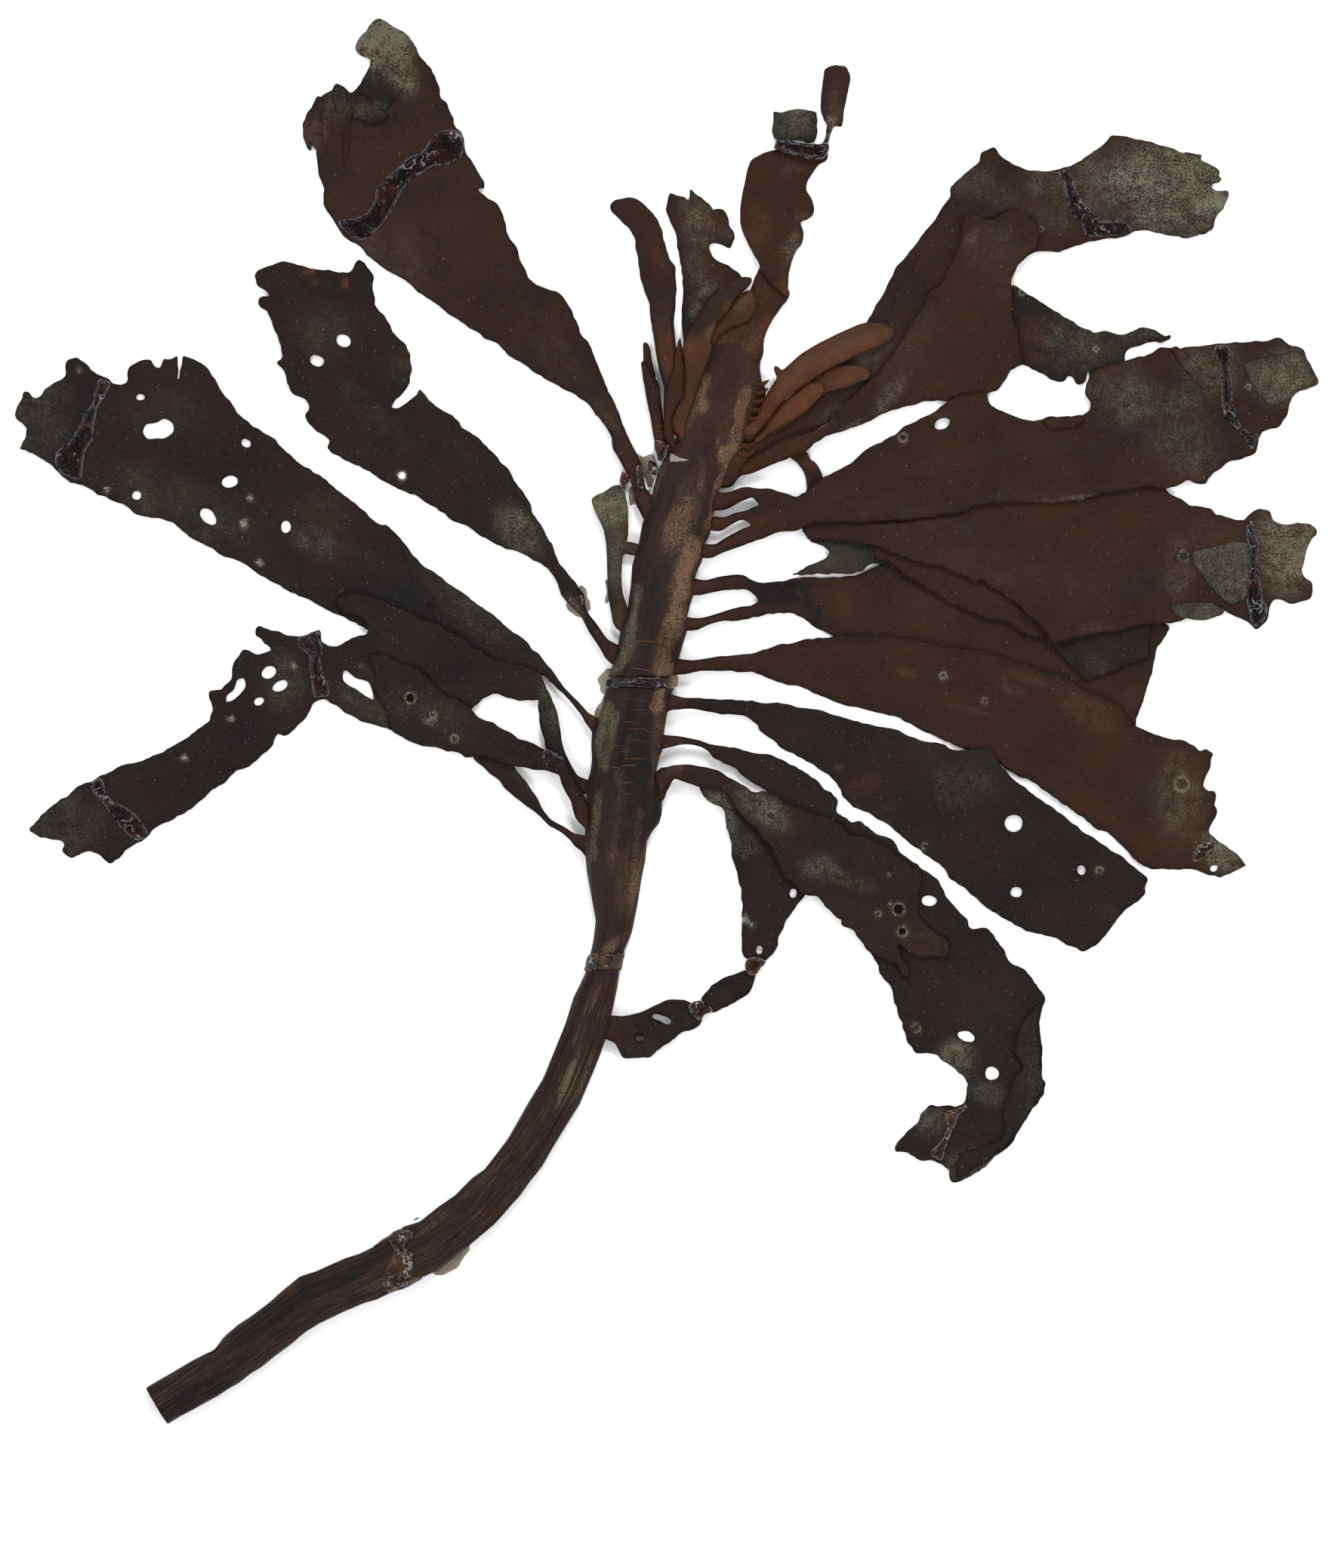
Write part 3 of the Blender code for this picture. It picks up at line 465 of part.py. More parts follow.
flat("glue_strap_upper_right", [
    (84.6, 118.7), (86.3, 116.2), (86.6, 112.9), (87.7, 109.8), (89.9, 107.3), (91, 104.4), (98.7, 104.8),
    (101.0, 106.0), (98.7, 108.3), (95.4, 108), (92.7, 109), (90.2, 111.8), (88.2, 115.7), (86.6, 119.1)],
    over=["upper_right_long_blade"], thick=GLUE_THICK, kind="glue")
flat("glue_strap_right", [
    (118.6, 80.7), (119.2, 78), (120.3, 75.6), (120.2, 72), (120.4, 68.4), (120.9, 65.6), (123.4, 63.2),
    (125.6, 60.4), (126.6, 58.2), (128.2, 60.4), (128.4, 61.6), (126, 62.2), (123.6, 65), (122.7, 68.4),
    (122.6, 71.6), (121.9, 75.4), (122.2, 79.2), (121.4, 80.9)],
    over=["right_blade_one"], thick=GLUE_THICK, kind="glue")
flat("glue_strap_lower_right", [
    (126, 43.2), (125.4, 41), (126, 38), (126.6, 35), (126, 31.6), (125.4, 28.4), (125.8, 25.4), (126.4, 22),
    (127.6, 19.8), (129.6, 21.6), (130.2, 23.8), (129.4, 25.6), (128.6, 28.6), (128.2, 32), (127.8, 35),
    (128.3, 38), (127.4, 40.6), (126.8, 43.6)], over=["right_blade_two"], thick=GLUE_THICK, kind="glue")
flat("glue_tip_right", [
    (113.9, -30.6), (114.1, -28.6), (115.6, -27), (117.6, -26), (119.4, -26.8), (118.6, -28.2), (116.8, -29.2),
    (115.2, -30.8)], over=["right_blade_four"], thick=GLUE_THICK, kind="glue")
flat("glue_lower_right", [
    (64.8, -83.2), (63, -84.4), (60.4, -84.8), (60.6, -87), (61.0, -88.2), (60, -90.4), (58.4, -92.4),
    (56.6, -93.8), (58, -95.2), (59.8, -95.6), (60.4, -93.2), (61.4, -90.4), (62.4, -87.8), (63.2, -85.8),
    (65.4, -84)], over=["lower_right_blade"], thick=GLUE_THICK, kind="glue")
flat("glue_join_narrow", [
    (17.0, -52.0), (18.4, -51.2), (20.6, -51.6), (21.8, -52.6), (20.6, -53.8), (19.8, -55.2), (18.2, -55.4),
    (17.0, -54.4)], over=["narrow_lower_blade", "lower_joined_piece"], thick=GLUE_THICK, kind="glue")
flat("glue_join_lowest", [
    (4.6, -62.2), (5.8, -60.8), (7.8, -60.9), (9.4, -62), (10.2, -63.2), (8.6, -63.9), (7.4, -65.4),
    (5.6, -64.2)], over=["lowest_piece", "lower_joined_piece"], thick=GLUE_THICK, kind="glue")
flat("glue_second_left", [
    (-21.4, 26.4), (-20.4, 27.8), (-18.6, 28.2), (-17.4, 26.6), (-16.8, 24.6), (-17.6, 23.2), (-19.2, 23.4),
    (-20.8, 24.9)], over=["second_left_blade"], thick=GLUE_THICK, kind="glue")
flat("glue_left_lower", [
    (-26.8, -6.9), (-24.4, -6.9), (-21.9, -8.9), (-21.5, -11.4), (-23.2, -11.3), (-25.6, -10.6), (-27.2, -9.2)],
    over=["left_lower_blade"], thick=GLUE_THICK, kind="glue")
flat("glue_crown_left", [
    (-10.3, 53.4), (-9.3, 54.0), (-7.7, 55.6), (-5.8, 56.2), (-4.4, 54.6), (-4.3, 51.4), (-5.2, 49.4),
    (-6.8, 50.3), (-8.6, 49.2), (-10.2, 50.0), (-10.7, 51.8)],
    over=["upper_left_blade", "left_olive_blade"], thick=GLUE_THICK, kind="glue")

# bands of dried glue over the stem: place along the stem from its cut end, and length
STEM_GLUE = [("stem_glue_low", 61.5, 5.0), ("stem_glue_middle", 142.5, 3.4), ("stem_glue_high", 199.0, 3.0)]

COLOURS = {
    "stem": (0.045, 0.026, 0.018), "glue": (0.02, 0.003, 0.001),
    "dark": (0.022, 0.016, 0.014), "brown": (0.05, 0.022, 0.016), "olive": (0.07, 0.07, 0.045),
    "young": (0.20, 0.085, 0.035),
}
SHADE = {
    "upper_left_blade": "brown", "left_olive_blade": "olive", "top_olive_piece": "olive",
    "right_blade_one": "brown", "right_blade_two": "brown", "right_blade_three": "brown",
    "right_blade_four": "brown", "right_inner_blade": "brown", "upper_right_blade": "brown",
    "upper_right_long_blade": "brown", "slender_top_blade": "brown", "torn_top_blade": "brown",
    "young_blade_left": "young", "young_blade_under": "young", "young_blade_top": "young",
    "young_blade_second": "young", "young_blade_third": "young", "young_comb": "young",
    "crown_stub_a": "brown", "crown_stub_b": "brown", "terminal_blade": "brown",
    "torn_lower_blade": "brown", "olive_scrap": "olive",
}


# plane geometry
def closed(points):
    p = np.array(points, dtype=float)
    return p, np.roll(p, -1, axis=0)


def signed_distance(q, outline):
    """Distance from each point of q to a closed outline, positive inside."""
    a, b = closed(outline)
    q = np.atleast_2d(np.asarray(q, dtype=float))
    ab = b - a
    t = ((q[:, None, :] - a) * ab).sum(-1) / np.maximum((ab * ab).sum(-1), 1e-12)
    near = a + np.clip(t, 0, 1)[..., None] * ab
    dist = np.sqrt(((q[:, None, :] - near) ** 2).sum(-1)).min(1)
    ya, yb = a[:, 1], b[:, 1]
    cross = ((ya > q[:, 1:2]) != (yb > q[:, 1:2]))
    xs = a[:, 0] + (q[:, 1:2] - ya) * (b[:, 0] - a[:, 0]) / np.where(yb == ya, 1e-9, yb - ya)
    inside = (cross & (q[:, 0:1] < xs)).sum(1) % 2 == 1
    return np.where(inside, dist, -dist)


def area(outline):
    a, b = closed(outline)
    return 0.5 * float((a[:, 0] * b[:, 1] - b[:, 0] * a[:, 1]).sum())


def smooth(t):
    t = np.clip(t, 0, 1)
    return t * t * (3 - 2 * t)


def densify(outline, step):
    out = []
    for (x0, y0), (x1, y1) in zip(outline, outline[1:] + outline[:1]):
        n = max(1, int(math.ceil(math.hypot(x1 - x0, y1 - y0) / step)))
        out += [(x0 + (x1 - x0) * k / n, y0 + (y1 - y0) * k / n) for k in range(n)]
    return out


# the stem: rings square to its middle line, as wide as its two edges there
def along(line, step):
    """Points every step along a broken line, with direction and the values carried by it."""
    p = np.array(line, dtype=float)
    seg = np.sqrt((np.diff(p[:, :2], axis=0) ** 2).sum(1))
    s = np.concatenate([[0], np.cumsum(seg)])
    n = int(round(s[-1] / step))
    at = np.linspace(0, s[-1], n + 1)
    vals = np.stack([np.interp(at, s, p[:, k]) for k in range(p.shape[1])], 1)
    wide = 6.0
    ahead = np.stack([np.interp(at + wide, s, p[:, k]) for k in (0, 1)], 1)
    back = np.stack([np.interp(at - wide, s, p[:, k]) for k in (0, 1)], 1)
    d = ahead - back
    d /= np.sqrt((d * d).sum(1))[:, None]
    return at, vals, d


def reach(point, direction, edge):
    """How far along direction the edge line is crossed."""
    best = None
    for (x0, y0), (x1, y1) in zip(edge, edge[1:]):
        ex, ey = x1 - x0, y1 - y0
        det = direction[0] * ey - direction[1] * ex
        if abs(det) < 1e-9:
            continue
        u = ((x0 - point[0]) * ey - (y0 - point[1]) * ex) / det
        v = ((x0 - point[0]) * direction[1] - (y0 - point[1]) * direction[0]) / det
        if u > 0 and -0.02 <= v <= 1.02 and (best is None or u < best):
            best = u
    return best


STEM_AT, STEM_MID, STEM_DIR = along(STEM_LINE, STEM_STEP)
STEM_SIDE = np.stack([-STEM_DIR[:, 1], STEM_DIR[:, 0]], 1)
left_reach, right_reach = [], []
for mid, side in zip(STEM_MID, STEM_SIDE):
    left_reach.append(reach(mid, side, STEM_LEFT) or (left_reach[-1] if left_reach else 4.5))
    right_reach.append(reach(mid, -side, STEM_RIGHT) or (right_reach[-1] if right_reach else 4.5))
left_reach, right_reach = np.array(left_reach), np.array(right_reach)
STEM_TALL = STEM_MID[:, 2]
STEM_PLAN = ([tuple(m[:2] + s * w) for m, s, w in zip(STEM_MID, STEM_SIDE, left_reach)]
             + [tuple(m[:2] - s * w) for m, s, w in zip(STEM_MID, STEM_SIDE, right_reach)][::-1])


def ring(k, grow=0.0, start=0.0, stop=2 * math.pi, n=STEM_RING, lift=0.0):
    """Section k of the stem: an oval with a flat underside on Z = 0."""
    out = []
    tall = STEM_TALL[k] / 0.9
    for i in range(n):
        a = start + (stop - start) * i / (n if stop - start > 6 else n - 1)
        c, s = math.cos(a), math.sin(a)
        c = math.copysign(abs(c) ** 0.85, c)
        half = (left_reach[k] if c > 0 else right_reach[k]) + grow
        z = max(0.0, 0.4 * tall + (0.5 * tall + grow) * s)
        x, y = STEM_MID[k, :2] + STEM_SIDE[k] * (c * half)
        out.append((x, y, z + lift))
    return out


def mesh_node(name, verts, faces, colour):
    me = bpy.data.meshes.new(name)
    me.from_pydata([(x * 0.001, y * 0.001, z * 0.001) for x, y, z in verts], [], faces)
    me.validate()
    ob = bpy.data.objects.new(name, me)
    bpy.context.scene.collection.objects.link(ob)
    mat = bpy.data.materials.new(name + "_mat")
    mat.use_nodes = True
    shader = mat.node_tree.nodes["Principled BSDF"]
    shader.inputs["Base Color"].default_value = (*colour, 1.0)
    shader.inputs["Roughness"].default_value = 0.15 if "glue" in name else 0.65
    me.materials.append(mat)
    return ob


def loft(rings):
    """Faces between rings of equal size, the last ring capped, all facing out."""
    n = len(rings[0])
    verts = [p for r in rings for p in r]
    faces = []
    for k in range(len(rings) - 1):
        for i in range(n):
            j = (i + 1) % n
            a, b, c, d = k * n + i, k * n + j, (k + 1) * n + j, (k + 1) * n + i
            faces.append((a, b, c, d))
    faces.append(tuple(reversed(range(n))))
    faces.append(tuple((len(rings) - 1) * n + i for i in range(n)))
    return verts, faces


# heights
def stem_rise(q):
    """Blades leave the stem at half its height and slope down to the ground."""
    q = np.atleast_2d(q)
    d2 = ((q[:, None, :] - STEM_MID[None, :, :2]) ** 2).sum(-1)
    w = np.exp(-(d2 - d2.min(1, keepdims=True)) / 60.0)
    tall = (w * STEM_TALL).sum(1) / w.sum(1)
    root = np.maximum(0.44 * tall - 0.5 * BLADE_THICK, 0.1)
    away = np.maximum(-signed_distance(q, STEM_PLAN), 0)
    return root * (1 - smooth(away / ROOT_RUN))


def waves(q):
    q = np.atleast_2d(q)
    x, y = q[:, 0], q[:, 1]
    a = 0.5 + 0.5 * np.sin(0.105 * x + 0.045 * y + 0.8)
    b = 0.5 + 0.5 * np.sin(-0.052 * x + 0.098 * y + 2.1)
    return WAVE * a * b


def all_below(name):
    found = []
    todo = list(FLAT[name]["over"])
    while todo:
        item = todo.pop()
        if item not in found:
            found.append(item)
            todo += FLAT[item]["over"]
    return found


def height(q, name):
    z = stem_rise(q) + waves(q)
    for lower in all_below(name):
        d = signed_distance(q, FLAT[lower]["outline"])
        z = z + LAYER_PITCH * smooth((d + RAMP_LEAD + RAMP) / RAMP)
    return z


def clear_of_stem(points):
    """Move the points that are on the stem, or too near it, out to the root gap."""
    out = []
    d = signed_distance(points, STEM_PLAN)
    a, b = closed(STEM_PLAN)
    for (x, y), dist in zip(points, d):
        if dist > -ROOT_GAP:
            q = np.array([x, y])
            ab = b - a
            t = np.clip(((q - a) * ab).sum(1) / (ab * ab).sum(1), 0, 1)
            near = a + t[:, None] * ab
            k = int(np.argmin(((near - q) ** 2).sum(1)))
            away = np.array([ab[k, 1], -ab[k, 0]])
            away /= np.hypot(*away)
            if signed_distance([near[k] + away * 0.05], STEM_PLAN)[0] > 0:
                away = -away
            x, y = near[k] + away * ROOT_GAP
        out.append((float(x), float(y)))
    return out


def make_flat(name):
    item = FLAT[name]
    outline = densify(item["outline"], EDGE_STEP)
    outline = clear_of_stem(outline)
    tidy = []
    for p in outline:
        if not tidy or math.hypot(p[0] - tidy[-1][0], p[1] - tidy[-1][1]) > 0.12:
            tidy.append(p)
    outline = tidy
    if area(outline) < 0:
        outline = outline[::-1]
    holes = [h if area(h) < 0 else h[::-1] for h in item["holes"]]
    item["outline"] = outline
    p = np.array(outline)
    x0, y0 = p.min(0)
    x1, y1 = p.max(0)
    grid = []
    row = 0
    y = math.floor(y0 / MESH_STEP) * MESH_STEP
    while y < y1:
        x = math.floor(x0 / MESH_STEP) * MESH_STEP + (0.5 * MESH_STEP if row % 2 else 0)
        while x < x1:
            grid.append((x, y))
            x += MESH_STEP
        y += MESH_STEP * 0.866
        row += 1
    inner = []
    if grid:
        d = signed_distance(grid, outline)
        for h in holes:
            d = np.minimum(d, -signed_distance(grid, h))
        inner = [g for g, dist in zip(grid, d) if dist > 1.9]
    pts = list(outline)
    loops = [list(range(len(outline)))]
    for h in holes:
        loops.append(list(range(len(pts), len(pts) + len(h))))
        pts += list(h)
    pts += inner
    edges = [(lp[i], lp[(i + 1) % len(lp)]) for lp in loops for i in range(len(lp))]
    verts2, _, faces2, *_ = delaunay_2d_cdt([Vector(v) for v in pts], edges, [], 0, 1e-6)
    co = np.array([(v.x, v.y) for v in verts2])
    tris = [tuple(f) for f in faces2]
    mid = np.array([co[list(f)].mean(0) for f in tris])
    keep = signed_distance(mid, outline) > 0
    for h in holes:
        keep &= signed_distance(mid, h) < 0
    tris = [f for f, k in zip(tris, keep) if k]
    used = sorted({i for f in tris for i in f})
    index = {old: new for new, old in enumerate(used)}
    co = co[used]
    tris = [tuple(index[i] for i in f) for f in tris]
    tris = [f if np.cross(co[f[1]] - co[f[0]], co[f[2]] - co[f[0]]) > 0 else f[::-1] for f in tris]
    half = {}
    for f in tris:
        for k in range(3):
            half[(f[k], f[(k + 1) % 3])] = True
    rim = [e for e in half if (e[1], e[0]) not in half]
    starts = [e[0] for e in rim]
    if len(starts) != len(set(starts)):
        print("PINCH", name, [tuple(co[s].round(2)) for s in set(starts) if starts.count(s) > 1])
    z = height(co, name)
    n = len(co)
    verts = [(x, y, h) for (x, y), h in zip(co, z)] + [(x, y, h + item["thick"]) for (x, y), h in zip(co, z)]
    faces = [f[::-1] for f in tris] + [tuple(i + n for i in f) for f in tris]
    for a, b in rim:
        faces.append((a, b, b + n))
        faces.append((a, b + n, a + n))
    colour = COLOURS["glue"] if item["kind"] == "glue" else COLOURS[SHADE.get(name, "dark")]
    return mesh_node(name, verts, faces, colour)


for ob in list(bpy.data.objects):
    bpy.data.objects.remove(ob, do_unlink=True)

rings = [ring(k) for k in range(len(STEM_AT))]
mesh_node("stem", *loft(rings), COLOURS["stem"])

# a band is an arch over the stem: an outer and an inner row of points on three sections
for name, start, length in STEM_GLUE:
    low, high = math.radians(24), math.radians(156)
    at = [int(np.argmin(abs(STEM_AT - s))) for s in (start - 0.5 * length, start + 0.5 * length)]
    if at[0] == at[1]:
        at[1] += 1
    n = 10
    loops = []
    for k in at:
        outer = ring(k, 0.35 + GLUE_THICK, low, high, n)
        inner = ring(k, 0.35, low, high, n)
        loops.append(outer + inner[::-1])
    middle = 0.5 * (np.array(loops[0]) + np.array(loops[-1]))
    part = min(1.0, length / max(1e-6, float(np.hypot(*(STEM_MID[at[1], :2] - STEM_MID[at[0], :2])))))
    loops = [[tuple(m + (np.array(p) - m) * part) for p, m in zip(lp, middle)] for lp in loops]
    mesh_node(name, *loft(loops), COLOURS["glue"])

# outlines are settled before heights are read from them
for name in FLAT:
    FLAT[name]["outline"] = list(FLAT[name]["outline"])
for name in FLAT:
    make_flat(name)

# the middle of the whole outline goes to the origin, and everything faces out
low = np.full(3, 1e9)
high = np.full(3, -1e9)
for ob in bpy.data.objects:
    c = np.array([tuple(v.co) for v in ob.data.vertices])
    low, high = np.minimum(low, c.min(0)), np.maximum(high, c.max(0))
shift = -0.5 * (low + high)
print("size mm", ((high - low) * 1000).round(2), "shift mm", (shift[:2] * 1000).round(3), "low", low[2] * 1000)
for ob in bpy.data.objects:
    for v in ob.data.vertices:
        v.co.x += shift[0]
        v.co.y += shift[1]
    ob.data.update()
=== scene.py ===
# %% [markdown]
# # A pressed and dried woody-stemmed kelp
# The real thing is a seaweed that was laid flat, pressed and dried on a sheet, and then held down with
# straps of animal glue. It has one woody stem, about forty leathery blades, a comb of very young blades at
# the crown, and glossy nearly black glue. It is seen from straight above. This lesson builds it over a
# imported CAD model, whose parts say where each blade lies. Each CAD part is replaced by a finer piece.

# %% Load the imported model
import bpy
import bmesh
import math
import numpy as np
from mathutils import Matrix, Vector
from mathutils.geometry import delaunay_2d_cdt


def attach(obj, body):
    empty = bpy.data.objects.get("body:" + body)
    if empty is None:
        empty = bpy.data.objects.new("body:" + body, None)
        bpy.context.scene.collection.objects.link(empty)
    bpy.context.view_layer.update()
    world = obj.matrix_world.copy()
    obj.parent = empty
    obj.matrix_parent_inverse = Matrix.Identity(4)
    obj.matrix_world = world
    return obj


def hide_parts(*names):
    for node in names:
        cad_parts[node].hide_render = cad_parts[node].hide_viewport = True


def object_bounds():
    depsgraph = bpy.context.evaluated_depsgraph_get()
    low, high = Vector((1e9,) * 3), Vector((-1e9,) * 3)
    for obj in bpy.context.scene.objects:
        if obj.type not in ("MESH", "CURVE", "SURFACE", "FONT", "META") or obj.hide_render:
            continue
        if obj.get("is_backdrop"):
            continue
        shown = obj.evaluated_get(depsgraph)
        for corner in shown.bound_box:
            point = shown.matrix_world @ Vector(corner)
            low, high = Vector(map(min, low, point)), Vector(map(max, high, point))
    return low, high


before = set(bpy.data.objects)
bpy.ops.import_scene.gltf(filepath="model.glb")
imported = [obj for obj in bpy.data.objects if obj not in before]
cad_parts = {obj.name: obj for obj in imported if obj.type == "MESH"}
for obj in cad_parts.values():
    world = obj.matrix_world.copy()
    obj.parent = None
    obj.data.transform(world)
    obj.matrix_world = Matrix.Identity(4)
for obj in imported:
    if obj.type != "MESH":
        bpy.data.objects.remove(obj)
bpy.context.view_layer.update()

# %% [markdown]
# ## Millimetres
# Every place in this lesson was read from the photograph, in millimetres, with Y up the sheet. The
# CAD model is centred on its own box, so a small fixed step leads from what was read to the model's place.
# A table of random numbers that depends on position alone gives the same ragged edges on every run.

# %% Units, and smooth random values
STEP_TO_MODEL = np.array([-0.05, 0.226])


def smooth(t):
    """From 0 to 1 with soft ends."""
    t = np.clip(t, 0, 1)
    return t * t * (3 - 2 * t)


def rough(points, size, seed):
    """Smooth random values from -1 to 1; their bumps are about `size` millimetres across."""
    p = np.atleast_2d(points) / size + seed * 17.13
    cell = np.floor(p).astype(np.int64)
    f = smooth(p - cell)

    def corner(dx, dy):
        n = (cell[:, 0] + dx) * 374761393 + (cell[:, 1] + dy) * 668265263 + seed * 1442695041
        n = (n ^ (n >> 13)) * 1274126177
        return ((n ^ (n >> 16)) & 0xFFFF) / 32767.5 - 1
    low = corner(0, 0) * (1 - f[:, 0]) + corner(1, 0) * f[:, 0]
    high = corner(0, 1) * (1 - f[:, 0]) + corner(1, 1) * f[:, 0]
    return low * (1 - f[:, 1]) + high * f[:, 1]


print("random values at the origin:", rough([(0, 0), (5, 5)], 2.0, 1).round(3))

# %% [markdown]
# ## Camera and light
# A flatbed scan looks straight down with no perspective, so the camera is high up and has a very long lens.
# Two soft suns and two very wide ones come in at the sides. None shines from above, where a dark glossy
# blade would mirror it into the camera and turn grey. The glue still catches small bright glints.

# %% Camera and light


def new_object(name, data):
    """An object in the scene for a mesh, a light or a camera."""
    made = bpy.data.objects.new(name, data)
    bpy.context.scene.collection.objects.link(made)
    return made


FRAME_HEIGHT = 339.4e-3
LENS, SENSOR = 200.0, 36.0
camera_data = bpy.data.cameras.new("scan_camera")
camera_data.lens = LENS
camera_data.sensor_width = SENSOR
camera_data.clip_end = 10.0
camera = new_object("scan_camera", camera_data)
camera.location = (-0.05e-3, -13.744e-3, FRAME_HEIGHT * LENS / SENSOR + 1e-3)
bpy.context.scene.camera = camera

# name, azimuth, elevation, strength, angle across in degrees
for name, azimuth, elevation, strength, wide in (
        ("key_top", 10, 50, 1.9, 16), ("key_bottom", 195, 48, 1.3, 16),
        ("fill_left", 280, 44, 1.7, 62), ("fill_right", 100, 44, 1.7, 62)):
    sun_data = bpy.data.lights.new(name, "SUN")
    sun_data.energy = strength
    sun_data.angle = math.radians(wide)
    sun = new_object(name, sun_data)
    a, e = math.radians(azimuth), math.radians(elevation)
    towards = Vector((math.sin(a) * math.cos(e), math.cos(a) * math.cos(e), math.sin(e)))
    sun.rotation_euler = towards.to_track_quat("Z", "Y").to_euler()

world = bpy.data.worlds.new("studio")
bpy.context.scene.world = world
world.use_nodes = True
world.node_tree.nodes["Background"].inputs["Color"].default_value = (1.0, 0.995, 0.985, 1)
world.node_tree.nodes["Background"].inputs["Strength"].default_value = 0.16
bpy.context.scene.view_settings.view_transform = "Standard"
print("camera height in mm:", round(camera.location.z * 1000))

# %% [markdown]
# ## Colour and nodes
# Blender mixes colours as linear light, while a colour picked from a photograph is an sRGB hex value. One
# function turns one into the other. A second function adds a node with its settings and its links, for
# materials and for Geometry Nodes alike, so that every tree below reads as a plain list of steps.

# %% Colour and nodes


def paint(code):
    """An sRGB hex value as linear red, green, blue and alpha."""
    parts = [int(code[i:i + 2], 16) / 255 for i in (1, 3, 5)]
    return (*[c / 12.92 if c <= 0.04045 else ((c + 0.055) / 1.055) ** 2.4 for c in parts], 1.0)


def add(tree, kind, wires=None, **settings):
    """One node. Settings are its properties; wires give its inputs a value, or a socket to link from."""
    node = tree.nodes.new(kind)
    for key, value in settings.items():
        setattr(node, key, value)
    for key, value in (wires or {}).items():
        if isinstance(value, bpy.types.NodeSocket):
            tree.links.new(value, node.inputs[key])
        else:
            node.inputs[key].default_value = value
    return node


LIGHT, SHEEN = 2.10, 0.0092


def seen(code):
    """The reflectance that looks like this sRGB value under these lights, less their faint sheen."""
    return (*[max((c - SHEEN) / LIGHT, 0.0008) for c in paint(code)[:3]], 1.0)


print("kelp brown as linear light:", [round(c, 4) for c in seen("#3a2420")])

# %% [markdown]
# ## The floor
# The sheet under the specimen is plain white paper. It is a large flat face that isn't part of the object.

# %% The floor
floor_mesh = bpy.data.meshes.new("paper_floor")
floor_mesh.from_pydata([(-6, -6, 0), (6, -6, 0), (6, 6, 0), (-6, 6, 0)], [], [(0, 1, 2, 3)])
floor = new_object("paper_floor", floor_mesh)
paper = bpy.data.materials.new("matt_paper")
paper.use_nodes = True
shader = paper.node_tree.nodes["Principled BSDF"]
shader.inputs["Base Color"].default_value = paint("#ffffff")
shader.inputs["Roughness"].default_value = 0.95
shader.inputs["Specular IOR Level"].default_value = 0.1
floor_mesh.materials.append(paper)
floor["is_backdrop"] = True
floor.location.z = -0.0001
print("floor:", floor.name)

# %% [markdown]
# ## Distances
# Blades slope, overlap, curl and change colour by how far a point is from an edge. So one function gives
# the distance from each point to a closed outline, positive inside, and another to an open line.

# %% Distances
CHUNK = 4000  # points taken at a time, so that no table grows too large


def to_segments(points, a, b):
    """Distance from each point to the nearest of the segments from a to b."""
    points = np.asarray(points, dtype=float)
    out = np.empty(len(points))
    ab = b - a
    length2 = np.maximum((ab * ab).sum(1), 1e-12)
    for s in range(0, len(points), CHUNK):
        q = points[s:s + CHUNK, None, :]
        t = np.clip(((q - a) * ab).sum(-1) / length2, 0, 1)
        d = q - (a + t[..., None] * ab)
        out[s:s + CHUNK] = np.sqrt((d * d).sum(-1).min(1))
    return out


def to_loop(points, loop):
    """Distance from each point to the nearest side of a closed outline."""
    return to_segments(points, np.asarray(loop), np.roll(loop, -1, axis=0))


def inside(points, loop):
    """Whether each point is inside a closed outline."""
    points = np.asarray(points, dtype=float)
    a, b = np.asarray(loop), np.roll(loop, -1, axis=0)
    rise = np.where(b[:, 1] == a[:, 1], 1e-12, b[:, 1] - a[:, 1])
    out = np.zeros(len(points), dtype=bool)
    for s in range(0, len(points), CHUNK):
        x, y = points[s:s + CHUNK, :1], points[s:s + CHUNK, 1:]
        crossed = (a[:, 1] > y) != (b[:, 1] > y)
        hit = crossed & (x < a[:, 0] + (y - a[:, 1]) * (b[:, 0] - a[:, 0]) / rise)
        out[s:s + CHUNK] = hit.sum(1) % 2 == 1
    return out


def signed_distance(points, loop):
    """Distance to a closed outline, positive inside it."""
    d = to_loop(points, loop)
    return np.where(inside(points, loop), d, -d)


def from_line(points, line):
    """Distance to an open line."""
    line = np.asarray(line, dtype=float)
    return to_segments(points, line[:-1], line[1:])


print("2 mm inside a square:", signed_distance([(2, 5)], [(0, 0), (10, 0), (10, 10), (0, 10)]))

# %% [markdown]
# ## The stem's own measures
# The stem curves, is pinched in the middle and widens at the crown. Its middle line carries a thickness,
# and its two edges were read apart, because stalks swell it on one side at a time. The blades need these
# measures too: each one leaves the stem at half its height and slopes down to the sheet.

# %% The stem's measures
STEM_LINE = [
    (-110, -148.6, 5.2), (-104, -145, 5.4), (-97.5, -141, 5.7), (-90.2, -135.6, 6), (-78, -127, 6.2),
    (-64.5, -120.8, 6.3), (-51, -114, 6.3), (-41.2, -106.1, 6.2), (-30.4, -93.6, 6), (-22.6, -80.4, 5.9),
    (-17.1, -66.8, 5.6), (-13.6, -55, 5.2), (-11.3, -46.1, 5.3), (-10.9, -38.6, 5.5), (-10.9, -28, 5.8),
    (-10, -20, 5.9), (-9, -10, 5.9), (-7.3, 0, 5.8), (-4.7, 10, 5.6), (-2.6, 20, 5.2), (-0.7, 30, 4.8),
    (2, 40, 4.4), (4.6, 50, 4), (8.6, 60, 3.4), (12, 70, 2.7), (15.1, 79.4, 2.1),
]
